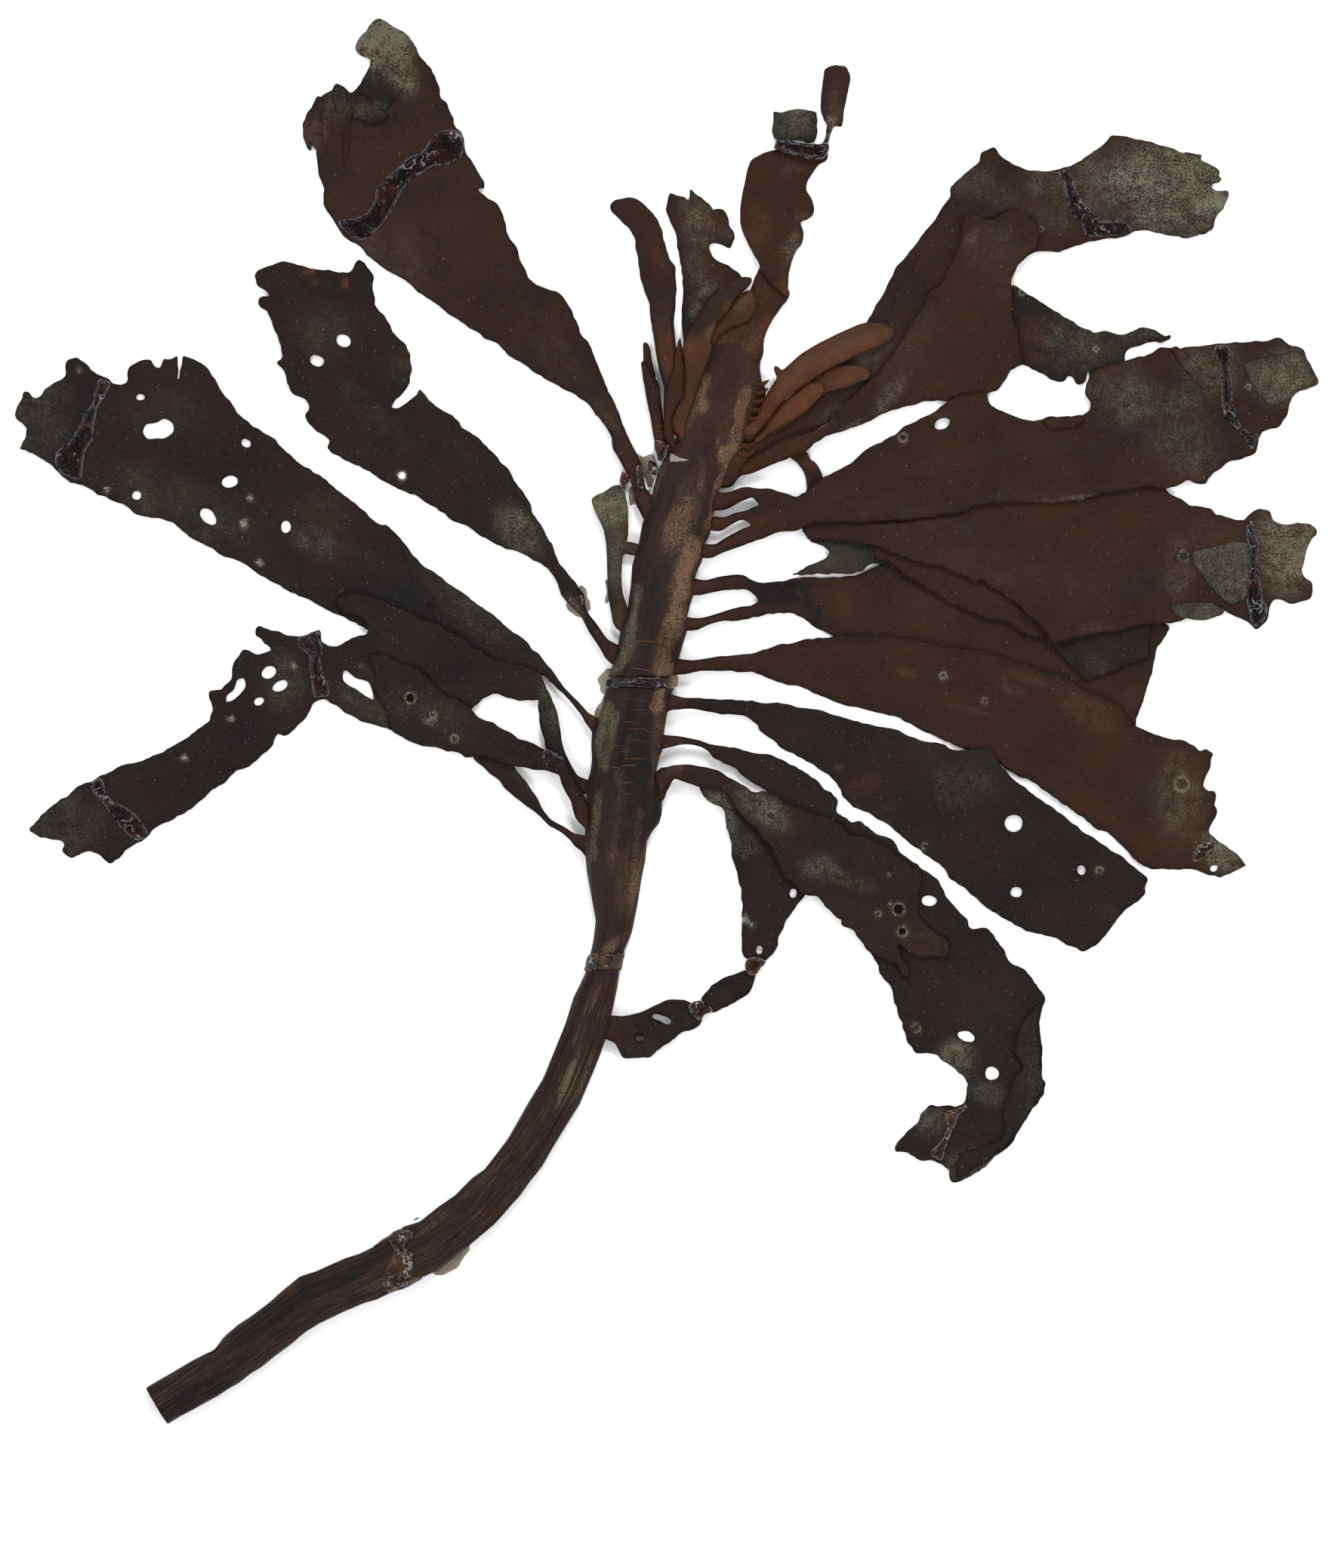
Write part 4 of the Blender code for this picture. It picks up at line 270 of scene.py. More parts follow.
STEM_LEFT = [
    (-113, -144.9), (-108.4, -142.2), (-102.5, -138.7), (-100.4, -137.6), (-97.6, -136.3), (-95.6, -133.6),
    (-92.7, -131.1), (-90, -129.4), (-85.7, -126.1), (-82.2, -123), (-79.2, -120.5), (-75.5, -119.3),
    (-72.7, -118), (-69.6, -116.6), (-66.2, -115.5), (-62, -113.4), (-59.7, -111.8), (-56.6, -109.6),
    (-53.2, -108.6), (-49.5, -105.6), (-45.6, -102.9), (-42, -99.3), (-39.1, -97.2), (-34.2, -90.7),
    (-29.9, -83.1), (-26.6, -77.7), (-24.4, -72.3), (-21.7, -65.7), (-20.1, -60.3), (-17.4, -54.9),
    (-15.8, -48.4), (-15.2, -43.5), (-16.2, -38), (-17.1, -33), (-17.5, -29), (-17.6, -25), (-17.3, -21.5),
    (-17.2, -17), (-17.1, -13.5), (-16.4, -11.6), (-16, -8.5), (-16.2, -5.5), (-16, -2.5), (-14.7, 0.1),
    (-14, 2.3), (-13.2, 5.3), (-12.9, 7.1), (-12.3, 9.7), (-10.6, 14.4), (-9.9, 19.2), (-8.4, 23.1),
    (-7.6, 29.2), (-7.3, 33.5), (-5.9, 38), (-5.2, 42), (-4.3, 45.4), (-2.4, 50), (0.4, 56), (2.4, 61),
    (5, 68), (7, 75), (9.5, 81), (14, 87),
]
STEM_RIGHT = [
    (-107.6, -152.4), (-103, -149.7), (-97.6, -146.5), (-94.4, -144.4), (-92.7, -143.5), (-90, -141.4),
    (-87.8, -140.1), (-85, -137.9), (-81.3, -135.4), (-77.6, -132.3), (-74.8, -130.5), (-69.4, -127.9),
    (-65, -126.1), (-62.9, -125.6), (-57.5, -123), (-53.2, -120.8), (-48.8, -118.7), (-43.4, -114.5),
    (-36.9, -109.1), (-31.5, -103.1), (-29.3, -99.9), (-26.6, -96.6), (-22.8, -90.1), (-18.5, -83.1),
    (-15.8, -76.6), (-14.1, -72.3), (-12.6, -67.9), (-11.8, -63.6), (-10.6, -58.2), (-9.6, -51.7),
    (-7.3, -46.2), (-6, -39.7), (-5.2, -34.3), (-4.4, -30.5), (-4, -26.4), (-3, -24.5), (-1.4, -22.5),
    (-0.8, -20.5), (-0.8, -17.5), (-1.1, -15), (-1.8, -12.5), (-2, -11.1), (-1.3, -8.1), (-0.3, -5.9),
    (-0.4, -3.5), (0.2, 0.6), (1.3, 5.3), (2.1, 7.1), (2.7, 12.3), (3.9, 16.6), (4.6, 18.8), (4.6, 22.2),
    (5.2, 24.8), (5.8, 26.6), (6, 30), (6.7, 32.2), (7.9, 34.4), (8.3, 37.8), (9.6, 40), (10.3, 44),
    (11.4, 49), (13.2, 53.6), (14.8, 58), (16, 61.6), (16.8, 64.5), (17.8, 67.5), (18.7, 70.5),
    (19.8, 73.6), (20.4, 77), (20.7, 80.7), (22.4, 86),
]


def along(line, step):
    """Points every step along a broken line, with its values, and the smoothed direction at each."""
    p = np.array(line, dtype=float)
    run = np.concatenate([[0], np.cumsum(np.hypot(*np.diff(p[:, :2], axis=0).T))])
    at = np.linspace(0, run[-1], int(round(run[-1] / step)) + 1)
    values = np.stack([np.interp(at, run, p[:, k]) for k in range(p.shape[1])], 1)
    ahead = np.stack([np.interp(at + 6, run, p[:, k]) for k in (0, 1)], 1)
    back = np.stack([np.interp(at - 6, run, p[:, k]) for k in (0, 1)], 1)
    way = (ahead - back) / np.hypot(*(ahead - back).T)[:, None]
    return at, values, way


def reach(point, way, edge):
    """How far along way, from point, the edge line is crossed."""
    edge = np.array(edge)
    a, ab = edge[:-1], np.diff(edge, axis=0)
    cross = way[0] * ab[:, 1] - way[1] * ab[:, 0]
    cross[abs(cross) < 1e-9] = 1e-9
    u = ((a[:, 0] - point[0]) * ab[:, 1] - (a[:, 1] - point[1]) * ab[:, 0]) / cross
    v = ((a[:, 0] - point[0]) * way[1] - (a[:, 1] - point[1]) * way[0]) / cross
    hits = u[(u > 0) & (v >= -0.02) & (v <= 1.02)]
    return hits.min() if len(hits) else None


def stem_sections(step):
    """Places along the stem, their points, sideways directions, and how far each side reaches."""
    at, mid, way = along(STEM_LINE, step)
    side = np.stack([-way[:, 1], way[:, 0]], 1)
    left, right = [], []
    for m, s in zip(mid, side):
        left.append(reach(m, s, STEM_LEFT) or (left[-1] if left else HALF_OF_CUT_END))
        right.append(reach(m, -s, STEM_RIGHT) or (right[-1] if right else HALF_OF_CUT_END))
    return at, mid, side, np.array(left), np.array(right)


HALF_OF_CUT_END = 4.5
PLAN_STEP = 4.6  # the CAD stem's own sections
plan_at, plan_mid, side, left, right = stem_sections(PLAN_STEP)
STEM_PLAN = np.concatenate([plan_mid[:, :2] + side * left[:, None],
                            (plan_mid[:, :2] - side * right[:, None])[::-1]])
print("stem length in mm:", round(plan_at[-1], 1), "widest:", round((left + right).max(), 1))

# %% [markdown]
# ## How high each sheet lies
# The CAD sheets share three rules, and the fine pieces follow the same ones, so that they lie where the CAD
# parts lie: a slope down from the stem, gentle waves, and a climb over each piece below. The outlines
# come from the upper faces of the CAD sheets themselves. A copy of such a mesh is merged first, since its
# triangles are loose.

# %% What lies over what
OVER = {
    "left_long_blade": ["left_large_blade"],
    "left_lower_blade": ["left_long_blade", "left_small_blade"],
    "crown_stub_a": ["crown_stub_b"],
    "slender_top_blade": ["crown_stub_a", "crown_stub_b"],
    "young_blade_left": ["torn_top_blade", "young_blade_under", "terminal_blade"],
    "young_blade_under": ["terminal_blade"],
    "twisted_top_blade": ["terminal_blade"],
    "young_blade_top": ["upper_right_long_blade", "young_blade_third", "young_blade_second", "young_comb"],
    "young_blade_third": ["upper_right_long_blade"],
    "young_blade_second": ["upper_right_long_blade", "young_blade_third"],
    "upper_right_blade": ["upper_right_long_blade", "right_grey_blade", "bridge_stub"],
    "right_blade_one": ["upper_right_blade", "right_grey_blade", "bridge_stub", "right_blade_two"],
    "right_blade_two": ["right_inner_blade", "right_blade_three", "right_grey_flap", "olive_scrap"],
    "right_inner_blade": ["right_blade_three", "olive_scrap"],
    "right_grey_flap": ["right_blade_three"],
    "olive_scrap": ["right_blade_three"],
    "right_blade_four": ["right_blade_three"],
    "right_blade_five": ["right_blade_four"],
    "lower_right_flap": ["lower_right_blade"],
    "torn_lower_blade": ["lower_right_blade", "narrow_lower_blade"],
    "glue_strap_upper_left": ["upper_left_blade"],
    "glue_strap_left": ["left_large_blade"],
    "glue_strap_left_middle": ["left_long_blade"],
    "glue_strap_far_left": ["left_long_blade"],
    "glue_strap_top": ["twisted_top_blade", "top_olive_piece", "top_tip_piece"],
    "glue_strap_upper_right": ["upper_right_long_blade"],
    "glue_strap_right": ["right_blade_one"],
    "glue_strap_lower_right": ["right_blade_two"],
    "glue_tip_right": ["right_blade_four"],
    "glue_lower_right": ["lower_right_blade"],
    "glue_join_narrow": ["narrow_lower_blade", "lower_joined_piece"],
    "glue_join_lowest": ["lowest_piece", "lower_joined_piece"],
    "glue_second_left": ["second_left_blade"],
    "glue_left_lower": ["left_lower_blade"],
    "glue_crown_left": ["upper_left_blade", "left_olive_blade"],
}


def all_below(name):
    """Every piece that lies under one, also those under the pieces below it."""
    found, todo = [], list(OVER.get(name, []))
    while todo:
        item = todo.pop()
        if item not in found:
            found.append(item)
            todo += OVER.get(item, [])
    return found


print("under the right blade one:", all_below("right_blade_one"))

# %% Outlines from the CAD sheets


def cad_loops(node):
    """The outline of a CAD sheet and its holes, in millimetres as they were read."""
    bm = bmesh.new()
    bm.from_mesh(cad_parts[node].data)
    bmesh.ops.remove_doubles(bm, verts=bm.verts, dist=2e-6)
    bm.normal_update()
    upper = {f for f in bm.faces if f.normal.z > 0.5}
    rim = {}
    for f in upper:
        for loop in f.loops:
            if sum(g in upper for g in loop.edge.link_faces) == 1:
                rim[loop.vert] = loop.link_loop_next.vert
    loops = []
    while rim:
        first = next(iter(rim))
        chain, here = [first], rim.pop(first)
        while here is not first:
            chain.append(here)
            here = rim.pop(here)
        loops.append(np.array([(v.co.x * 1000, v.co.y * 1000) for v in chain]) - STEP_TO_MODEL)
    bm.free()
    return sorted(loops, key=lambda p: -np.ptp(p[:, 0]) * np.ptp(p[:, 1]))


# crown blades whose feet were read again, close up: the fine outline takes the place of the CAD sheet's
DRAWN = {
    "young_blade_left": [
        (18.8, 95), (18.6, 95.5), (16.8, 95.7), (14, 95), (11.6, 93.6), (9.2, 91.2), (7.2, 87.6),
        (5, 83.6), (4.2, 81.6), (3.8, 79.6), (4.2, 77.6), (4.25, 74.4), (4, 71.8), (3.5, 69.4), (2.6, 68),
        (1.5, 66.3), (1.1, 64), (1.3, 62.4), (2, 61.2), (2.9, 61.2), (2.9, 63), (3.3, 65), (3.9, 67),
        (4.8, 69), (5.6, 71), (6.3, 73.2), (7, 75.4), (7.8, 77.6), (8.9, 80.4), (9.7, 83.2), (10.4, 85),
        (11.6, 86.8), (13.2, 88), (13.8, 89.6), (15.4, 91.6), (17.6, 93.2)],
    "crown_stub_a": [
        (-5.6, 77.4), (-4.5, 77.9), (-3.8, 76.1), (-2.6, 74.4), (-1.4, 73.1), (-0.95, 70.4), (-0.6, 67),
        (-0.2, 63.6), (0.3, 60.6), (1.2, 58.4), (-0.6, 57.6), (-2.2, 58.6), (-2.9, 61), (-3.5, 65),
        (-4.3, 69), (-5, 73)],
}

SHEETS = [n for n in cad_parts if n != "stem" and not n.startswith("stem_glue")]
LOOPS = {n: cad_loops(n) for n in SHEETS}
LOOPS.update({n: [np.array(p)] for n, p in DRAWN.items()})
print("sheets:", len(LOOPS), "with", sum(len(v) - 1 for v in LOOPS.values()), "holes")

# %% Height rules
BLADE_THICK = 0.6
LAYER_PITCH = 0.98
RAMP, RAMP_LEAD = 11.0, 1.2
ROOT_RUN = 26.0
WAVE = 0.62


def stem_thickness(q):
    """The thickness of the stem nearest to each point."""
    d2 = ((q[:, None, :] - plan_mid[None, :, :2]) ** 2).sum(-1)
    w = np.exp(-(d2 - d2.min(1, keepdims=True)) / 60.0)
    return (w * plan_mid[:, 2]).sum(1) / w.sum(1)


def underside(q, name):
    """Height of the underside of a sheet at each point, in millimetres."""
    root = np.maximum(0.44 * stem_thickness(q) - 0.5 * BLADE_THICK, 0.1)
    away = np.maximum(-signed_distance(q, STEM_PLAN), 0)
    z = root * (1 - smooth(away / ROOT_RUN))
    x, y = q[:, 0], q[:, 1]
    z += WAVE * (0.5 + 0.5 * np.sin(0.105 * x + 0.045 * y + 0.8)) * (
        0.5 + 0.5 * np.sin(-0.052 * x + 0.098 * y + 2.1))
    for lower in all_below(name):
        d = signed_distance(q, LOOPS[lower][0])
        z += LAYER_PITCH * smooth((d + RAMP_LEAD + RAMP) / RAMP)
    return z


probe = np.array([(60.0, 30.0), (-80.0, 60.0)])
print("undersides of two blades in mm:", underside(probe, "right_blade_two").round(2))

# %% [markdown]
# ## The colours that each blade wears
# Dried kelp is nearly black where the blade is thick and red-brown where light gets in. Old parts carry a
# grey-green bloom, and worn ones show rust or tan. Each patch was placed as a soft oval on its
# blade. The material breaks the edges up with grain, so that no oval shows.

# %% Tone of each piece: look, warmth, raggedness of its edge
PIECES = {
    "upper_left_blade": ("brown", 0.15, 0.20), "second_left_blade": ("dark", 0.30, 0.24),
    "left_large_blade": ("dark", 0.30, 0.24), "left_long_blade": ("dark", 0.18, 0.26),
    "left_lower_blade": ("dark", 0.15, 0.22), "left_small_blade": ("dark", 0.30, 0.16),
    "left_olive_blade": ("olive", 0.20, 0.12), "crown_stub_a": ("brown", 0.25, 0.10),
    "crown_stub_b": ("brown", 0.30, 0.10), "slender_top_blade": ("brown", 0.40, 0.16),
    "torn_top_blade": ("brown", 0.40, 0.22), "young_blade_left": ("young", 0.10, 0.06),
    "young_blade_under": ("young", 0.00, 0.10), "terminal_blade": ("brown", 0.75, 0.08),
    "twisted_top_blade": ("brown", 0.75, 0.08), "top_olive_piece": ("olive", 0.15, 0.22),
    "top_tip_piece": ("brown", 0.30, 0.16), "young_comb": ("brown", 0.80, 0.10),
    "young_blade_top": ("young", 0.30, 0.06), "young_blade_third": ("young", 0.45, 0.06),
    "young_blade_second": ("young", 0.60, 0.06), "upper_right_long_blade": ("brown", 0.20, 0.18),
    "right_grey_blade": ("dark", 0.20, 0.24), "upper_right_blade": ("brown", 0.40, 0.18),
    "bridge_stub": ("brown", 0.30, 0.12), "right_blade_one": ("brown", 0.40, 0.20),
    "right_blade_two": ("brown", 0.45, 0.20), "right_inner_blade": ("brown", 0.45, 0.30),
    "right_grey_flap": ("dark", 0.05, 0.16), "olive_scrap": ("olive", 0.10, 0.26),
    "right_blade_three": ("brown", 0.35, 0.20), "right_blade_four": ("brown", 0.70, 0.20),
    "right_blade_five": ("dark", 0.20, 0.24), "lower_right_blade": ("dark", 0.25, 0.30),
    "lower_right_flap": ("dark", 0.10, 0.20), "torn_lower_blade": ("dark", 0.55, 0.30),
    "narrow_lower_blade": ("dark", 0.12, 0.26), "lower_joined_piece": ("dark", 0.10, 0.22),
    "lowest_piece": ("dark", 0.12, 0.22),
}
print("blades and pieces with a look of their own:", len(PIECES))

# %% Patches of colour
# kind, x, y, half length, half width, turn in degrees, strength
TONES = {
    "upper_left_blade": [
        ("dark", -62, 147, 8, 7, -40, 0.45), ("dark", -52, 128, 12, 9, 20, 0.3),
        ("olive", -62, 147, 8.5, 7.5, -40, 0.95), ("olive", -71.5, 133, 5, 3.5, 60, 0.32),
        ("olive", -64, 132, 4.5, 2.5, 0, 0.4), ("olive", -58, 141, 7, 4, -60, 0.62),
        ("olive", -13.5, 66.5, 6, 1.6, -52, 0.28), ("tan", -25, 81, 12, 4.5, -50, 0.34),
        ("tan", -60, 100, 12, 9, -40, 0.36), ("olive", -60, 98, 9, 6, 0, 0.15),
        ("tan", -76, 127, 5, 3, 80, 0.75), ("rust", -9, 56, 6, 1.4, -55, 0.3),
        ("rust", -66, 124, 9, 6, 0, 0.3), ("dark", -62, 131, 3, 2, 0, 0.4)],
    "second_left_blade": [
        ("olive", -32, 41, 8, 4.5, -50, 0.5), ("olive", -63, 66, 12, 3, -42, 0.2),
        ("rust", -77.5, 97, 1.8, 1, 0, 0.95), ("rust", -76, 94.6, 0.9, 1.4, 0, 0.6),
        ("rust", -69.5, 94.6, 0.9, 1.6, 0, 0.8), ("olive", -74, 84, 7, 6, 0, 0.28),
        ("olive", -52, 75, 9, 6, -30, 0.3), ("pale", -57.1, 52.8, 1.2, 1.2, 0, 0.95),
        ("olive", -20, 24, 4, 1.8, -60, 0.45), ("olive", -44, 58, 8, 5, -50, 0.1)],
    "left_large_blade": [
        ("olive", -105, 46, 22, 7, -25, 0.26), ("olive", -42, 24, 14, 5, -40, 0.3),
        ("dark", -134, 68, 10, 13, 0, 1), ("dark", -55, 22, 20, 9, -35, 1),
        ("olive", -136, 68, 8, 13, 0, 0.36), ("olive", -139, 62, 4, 6, 0, 0.35),
        ("olive", -119, 66, 7, 9, 0, 0.08), ("pale", -76, 38.5, 6, 4.2, -25, 0.26),
        ("olive", -66, 34, 11, 4, -20, 0.15), ("olive", -92, 42, 12, 9, 0, 0.12),
        ("tan", -75, 44, 9, 6, 0, 0.32), ("pale", -91.4, 42.4, 0.8, 0.8, 0, 1.3),
        ("pale", -90, 48, 0.6, 0.6, 0, 1.2), ("pale", -121.1, 49.8, 0.7, 0.7, 0, 1.3),
        ("pale", -127.1, 75.7, 0.8, 0.8, 0, 0.4), ("pale", -88, 34, 0.7, 0.7, 0, 1.2),
        ("olive", -49, 25, 10, 4, -35, 0.05), ("olive", -108, 66, 10, 6, 0, 0.2)],
    "left_long_blade": [
        ("olive", -132, -22, 12, 9, 0, 0.34), ("olive", -54, 1, 17, 8, -30, 0.32),
        ("pale", -94.1, 0.1, 0.7, 0.7, 0, 0.8), ("pale", -80.4, 11.5, 0.5, 0.5, 0, 0.8),
        ("pale", -66, 11.5, 1.2, 0.8, 0, 0.3), ("pale", -104.3, -8.3, 0.8, 0.8, 0, 0.9),
        ("olive", -25.3, 3, 8, 2.4, -80, 0.36), ("olive", -64, 4, 9, 5, -20, 0.34),
        ("olive", -128, -22, 12, 6, 0, 0.16), ("olive", -83, 8, 5, 7, 0, 0.36),
        ("dark", -24.6, -6, 4, 2.2, 90, 0.4), ("olive", -60, 20, 14, 5, -20, 0.1)],
    "left_lower_blade": [
        ("olive", -52, 2, 12, 5, -25, 0.26), ("pale", -51, -0.5, 1.8, 1.2, 0, 0.6),
        ("olive", -37, -6, 8, 3, -20, 0.06)],
    "left_small_blade": [("olive", -30, -14, 8, 1.6, -45, 0.25), ("rust", -19, -23, 4, 1.4, -50, 0.4)],
    "left_olive_blade": [
        ("olive", -13, 46, 6, 5, 0, 0.85), ("olive", -10.6, 34, 8, 3.2, 90, 0.42),
        ("dark", -11.6, 27, 4, 1.4, 90, 0.9), ("rust", -9.6, 21, 4, 1.4, 100, 0.5),
        ("dark", -10.5, 33, 6, 3, 90, 0.3)],
    "slender_top_blade": [
        ("dark", -10, 111, 6, 3.4, -20, 0.3), ("rust", -1.5, 99, 4.5, 2.2, -70, 0.45),
        ("rust", 0.6, 80, 6, 2.6, 95, 0.62), ("dark", -2.4, 91, 5, 3, 90, 0.6),
        ("tan", 1.2, 81, 3, 1.4, 90, 0.3), ("dark", 1, 68, 5, 2, 90, 0.3)],
    "torn_top_blade": [
        ("dark", 6, 100, 14, 5, 100, 0.5), ("dark", 3.4, 94, 8, 2.4, 95, 0.9),
        ("olive", 9.2, 93, 3, 2.2, 60, 0.62), ("olive", 6.4, 89, 2.4, 1.4, 60, 0.55),
        ("olive", 7, 108, 8, 4.5, 100, 0.46), ("olive", 6.6, 98, 6, 3, 100, 0.36),
        ("olive", 9, 90, 6, 4, 60, 0.4), ("dark", 4.2, 86, 7, 2.2, 90, 1),
        ("pale", 12, 111.5, 3.6, 0.8, -40, 0.55), ("olive", 13, 106, 3, 2, 0, 0.36)],
    "young_blade_left": [
        ("dark", 9, 88, 7, 3.2, 55, 1.3), ("dark", 15.5, 93, 4.4, 2.6, 25, 1.3),
        ("rust", 2.6, 67, 5, 1.8, 70, 0.45), ("dark", 2.8, 70, 9, 2.6, 75, 0.5),
        ("olive", 9.6, 84, 2.4, 1, 60, 0.5)],
    "young_blade_under": [("dark", 15, 88.5, 6, 3, 55, 0.45), ("olive", 16.4, 90.4, 3.4, 1.6, 60, 0.42)],
    "terminal_blade": [
        ("rust", 20.6, 84, 6, 2.6, 60, 0.55), ("olive", 20, 93, 3, 3, 0, 0.2),
        ("tan", 12, 81, 5, 3, 70, 0.5), ("olive", 17.6, 83, 3, 4, 0, 0.3)],
    "twisted_top_blade": [
        ("olive", 27, 101.5, 5, 2.6, 75, 0.48), ("rust", 20, 107, 5, 3.4, 100, 0.58),
        ("rust", 26, 92, 5, 2.2, 110, 0.68), ("dark", 26.5, 115.5, 7, 5, 0, 0.3),
        ("olive", 27, 119, 3, 1.6, 20, 0.3), ("olive", 29.4, 109, 2, 1.2, 0, 0.4),
        ("dark", 31, 106, 4, 2, 0, 0.4)],
    "top_olive_piece": [("olive", 27, 129, 6, 4.5, 0, 0.48), ("olive", 27, 131.6, 5, 1, 0, 0.65)],
    "top_tip_piece": [("olive", 35.4, 127.5, 4, 1.8, 80, 0.75), ("olive", 36.5, 133, 5, 2.2, 95, 0.3)],
    "young_comb": [("olive", 17, 63.5, 3, 1.8, 60, 0.5), ("tan", 17, 63.5, 3, 1.8, 60, 0.5)],
    "young_blade_top": [
        ("olive", 40, 83, 7, 3, 25, 0.22), ("dark", 40, 84, 9, 3, 25, 0.6),
        ("dark", 32.5, 79.5, 2.8, 1.2, 10, 0.5), ("dark", 22.4, 68, 3, 3, 50, 0.45),
        ("tan", 27.5, 74.5, 5, 2.4, 45, 0.45), ("dark", 47, 84, 2, 3, 0, 0.5)],
    "young_blade_third": [
        ("tan", 37.5, 73.6, 4, 1.4, 10, 0.25), ("rust", 35, 72, 5, 2, 15, 0.4),
        ("dark", 33, 72, 5, 2, 20, 0.4)],
    "young_blade_second": [("rust", 29.6, 68, 5, 2, 35, 0.4), ("dark", 22, 62, 3, 2, 45, 0.55)],
    "upper_right_long_blade": [
        ("dark", 108, 114, 17, 12, 0, 1), ("pale", 103, 116, 10, 7, 0, 0.34),
        ("pale", 118, 111, 4, 5, 0, 0.4), ("olive", 119.6, 113, 3, 3.4, 0, 0.9),
        ("olive", 110, 116, 17, 12, 0, 0.72), ("olive", 84, 116, 8, 6, -30, 0.42),
        ("olive", 75, 112, 7, 4, -30, 0.26), ("olive", 84, 108, 6, 3, -20, 0.28),
        ("olive", 45, 80, 8, 3, 50, 0.35), ("olive", 37, 66, 6, 2.4, 30, 0.36),
        ("rust", 22, 55, 8, 2, 32, 0.5), ("olive", 66, 117, 6, 5, 0, 0.38),
        ("olive", 92, 116, 5, 8, 0, 0.46)],
    "right_grey_blade": [
        ("olive", 88, 82, 8, 8, 0, 0.4), ("rust", 79.5, 82, 4.5, 6, 0, 0.55),
        ("olive", 97, 80, 6, 6, 0, 0.26), ("olive", 103, 84, 6, 2.4, 10, 0.52)],
    "upper_right_blade": [
        ("pale", 48.5, 70.5, 6.5, 2.2, 50, 0.34), ("olive", 70, 102, 7, 6, 30, 0.26),
        ("pale", 66, 104, 3, 1.6, 60, 0.25), ("olive", 73, 93, 3, 3, 0, 0.2),
        ("rust", 24, 55, 8, 2, 32, 0.45), ("pale", 40, 63, 4, 1, 35, 0.35),
        ("rust", 30, 60, 8, 2, 35, 0.35), ("tan", 78, 96, 5, 4, 0, 0.3), ("olive", 52, 82, 12, 6, 50, 0.2)],
    "bridge_stub": [("rust", 31, 56, 3, 1.6, -50, 0.5), ("dark", 33.4, 51, 3, 2, -80, 0.6)],
    "right_blade_one": [
        ("dark", 130, 73, 12, 9, 0, 0.7), ("dark", 110, 66, 20, 12, 0, 0.75),
        ("olive", 134, 74, 8, 7, 0, 0.62), ("olive", 118, 76, 8, 8, 0, 0.42),
        ("olive", 101, 69, 9, 7, 0, 0.42), ("olive", 96, 73, 9, 3, 25, 0.36),
        ("dark", 103.5, 66, 2.6, 1.8, 0, 0.7), ("olive", 112, 68, 6, 5, 0, 0.4),
        ("olive", 112, 60, 10, 8, -40, 0.4), ("rust", 126, 76.5, 1.5, 0.6, -20, 0.8),
        ("rust", 124, 67, 2, 0.8, 20, 0.5), ("dark", 70, 50.5, 9, 8, 30, 0.35),
        ("dark", 25, 47, 9, 3, 10, 0.6), ("olive", 59.8, 65.8, 3, 1.2, 0, 0.3),
        ("pale", 124, 71, 1.2, 5, 10, 0.02), ("olive", 88, 47.6, 18, 1, 6, 0.45),
        ("rust", 20, 43, 8, 1.4, 20, 0.4)],
    "right_blade_two": [
        ("olive", 118, 38, 8, 9, 0, 0.22), ("olive", 135, 38, 8, 12, 0, 0.78),
        ("olive", 111, 33, 4, 8, 0, 0.38), ("dark", 116, 43, 6, 4, 0, 0.4),
        ("dark", 112, 35.3, 1.8, 1.5, 0, 1.4), ("olive", 73, 30.5, 3, 1.4, -20, 0.26),
        ("olive", 92, 20, 3, 1.4, 0, 0.3), ("rust", 21, 34, 8, 1.4, 22, 0.45),
        ("dark", 102, 30, 6, 9, 0, 0.6), ("tan", 60, 33, 10, 6, 0, 0.22)],
    "right_inner_blade": [("olive", 100, 22, 4, 3, 0, 0.1), ("dark", 96, 22, 8, 5, 0, 0.55)],
    "right_grey_flap": [("olive", 93, 12, 5, 2.4, -45, 0.26), ("olive", 100, 14, 8, 5, 20, 0.15)],
    "olive_scrap": [("olive", 36, 34.6, 5, 2.4, 25, 0.22), ("pale", 36, 34.4, 2, 0.8, 25, 0.1)],
    "right_blade_three": [
        ("dark", 26, 28, 9, 4, 0, 1), ("dark", 33, 22.5, 5, 3, -45, 0.95),
        ("rust", 37.6, 24.6, 4, 3, 60, 0.45), ("rust", 29, 27, 2, 0.7, 0, 0.4),
        ("rust", 35, 28, 2.6, 0.8, 20, 0.35), ("tan", 54, 24, 12, 5, 0, 0.2),
        ("olive", 102, 5, 4, 3, 0, 0.2), ("dark", 100, 16, 10, 6, 0, 0.6),
        ("rust", 12, 21, 6, 1.4, 5, 0.5)],
    "right_blade_four": [
        ("olive", 111, -17, 7, 12, 0, 0.36), ("dark", 62, 2, 46, 18, -22, 0.42),
        ("dark", 102, -14, 12, 9, -40, 0.6), ("rust", 45, 13, 14, 5, -10, 0.12),
        ("tan", 52, 10, 3, 1.4, -20, 0.55), ("tan", 91, 2, 8, 4, -40, 0.5),
        ("tan", 78, 9, 5, 1.6, -20, 0.45), ("tan", 100, -8, 9, 5, -30, 0.2),
        ("olive", 74.5, 6.6, 3.4, 1.6, -20, 0.28), ("rust", 73.6, 8.8, 1.8, 0.4, 0, 0.9),
        ("olive", 66, 2, 6, 0.8, -12, 0.4), ("olive", 113, -22, 5, 3.4, 0, 0.14),
        ("olive", 110, -15, 8, 6, 0, 0.24), ("olive", 120, -29, 7, 4, -30, 0.7),
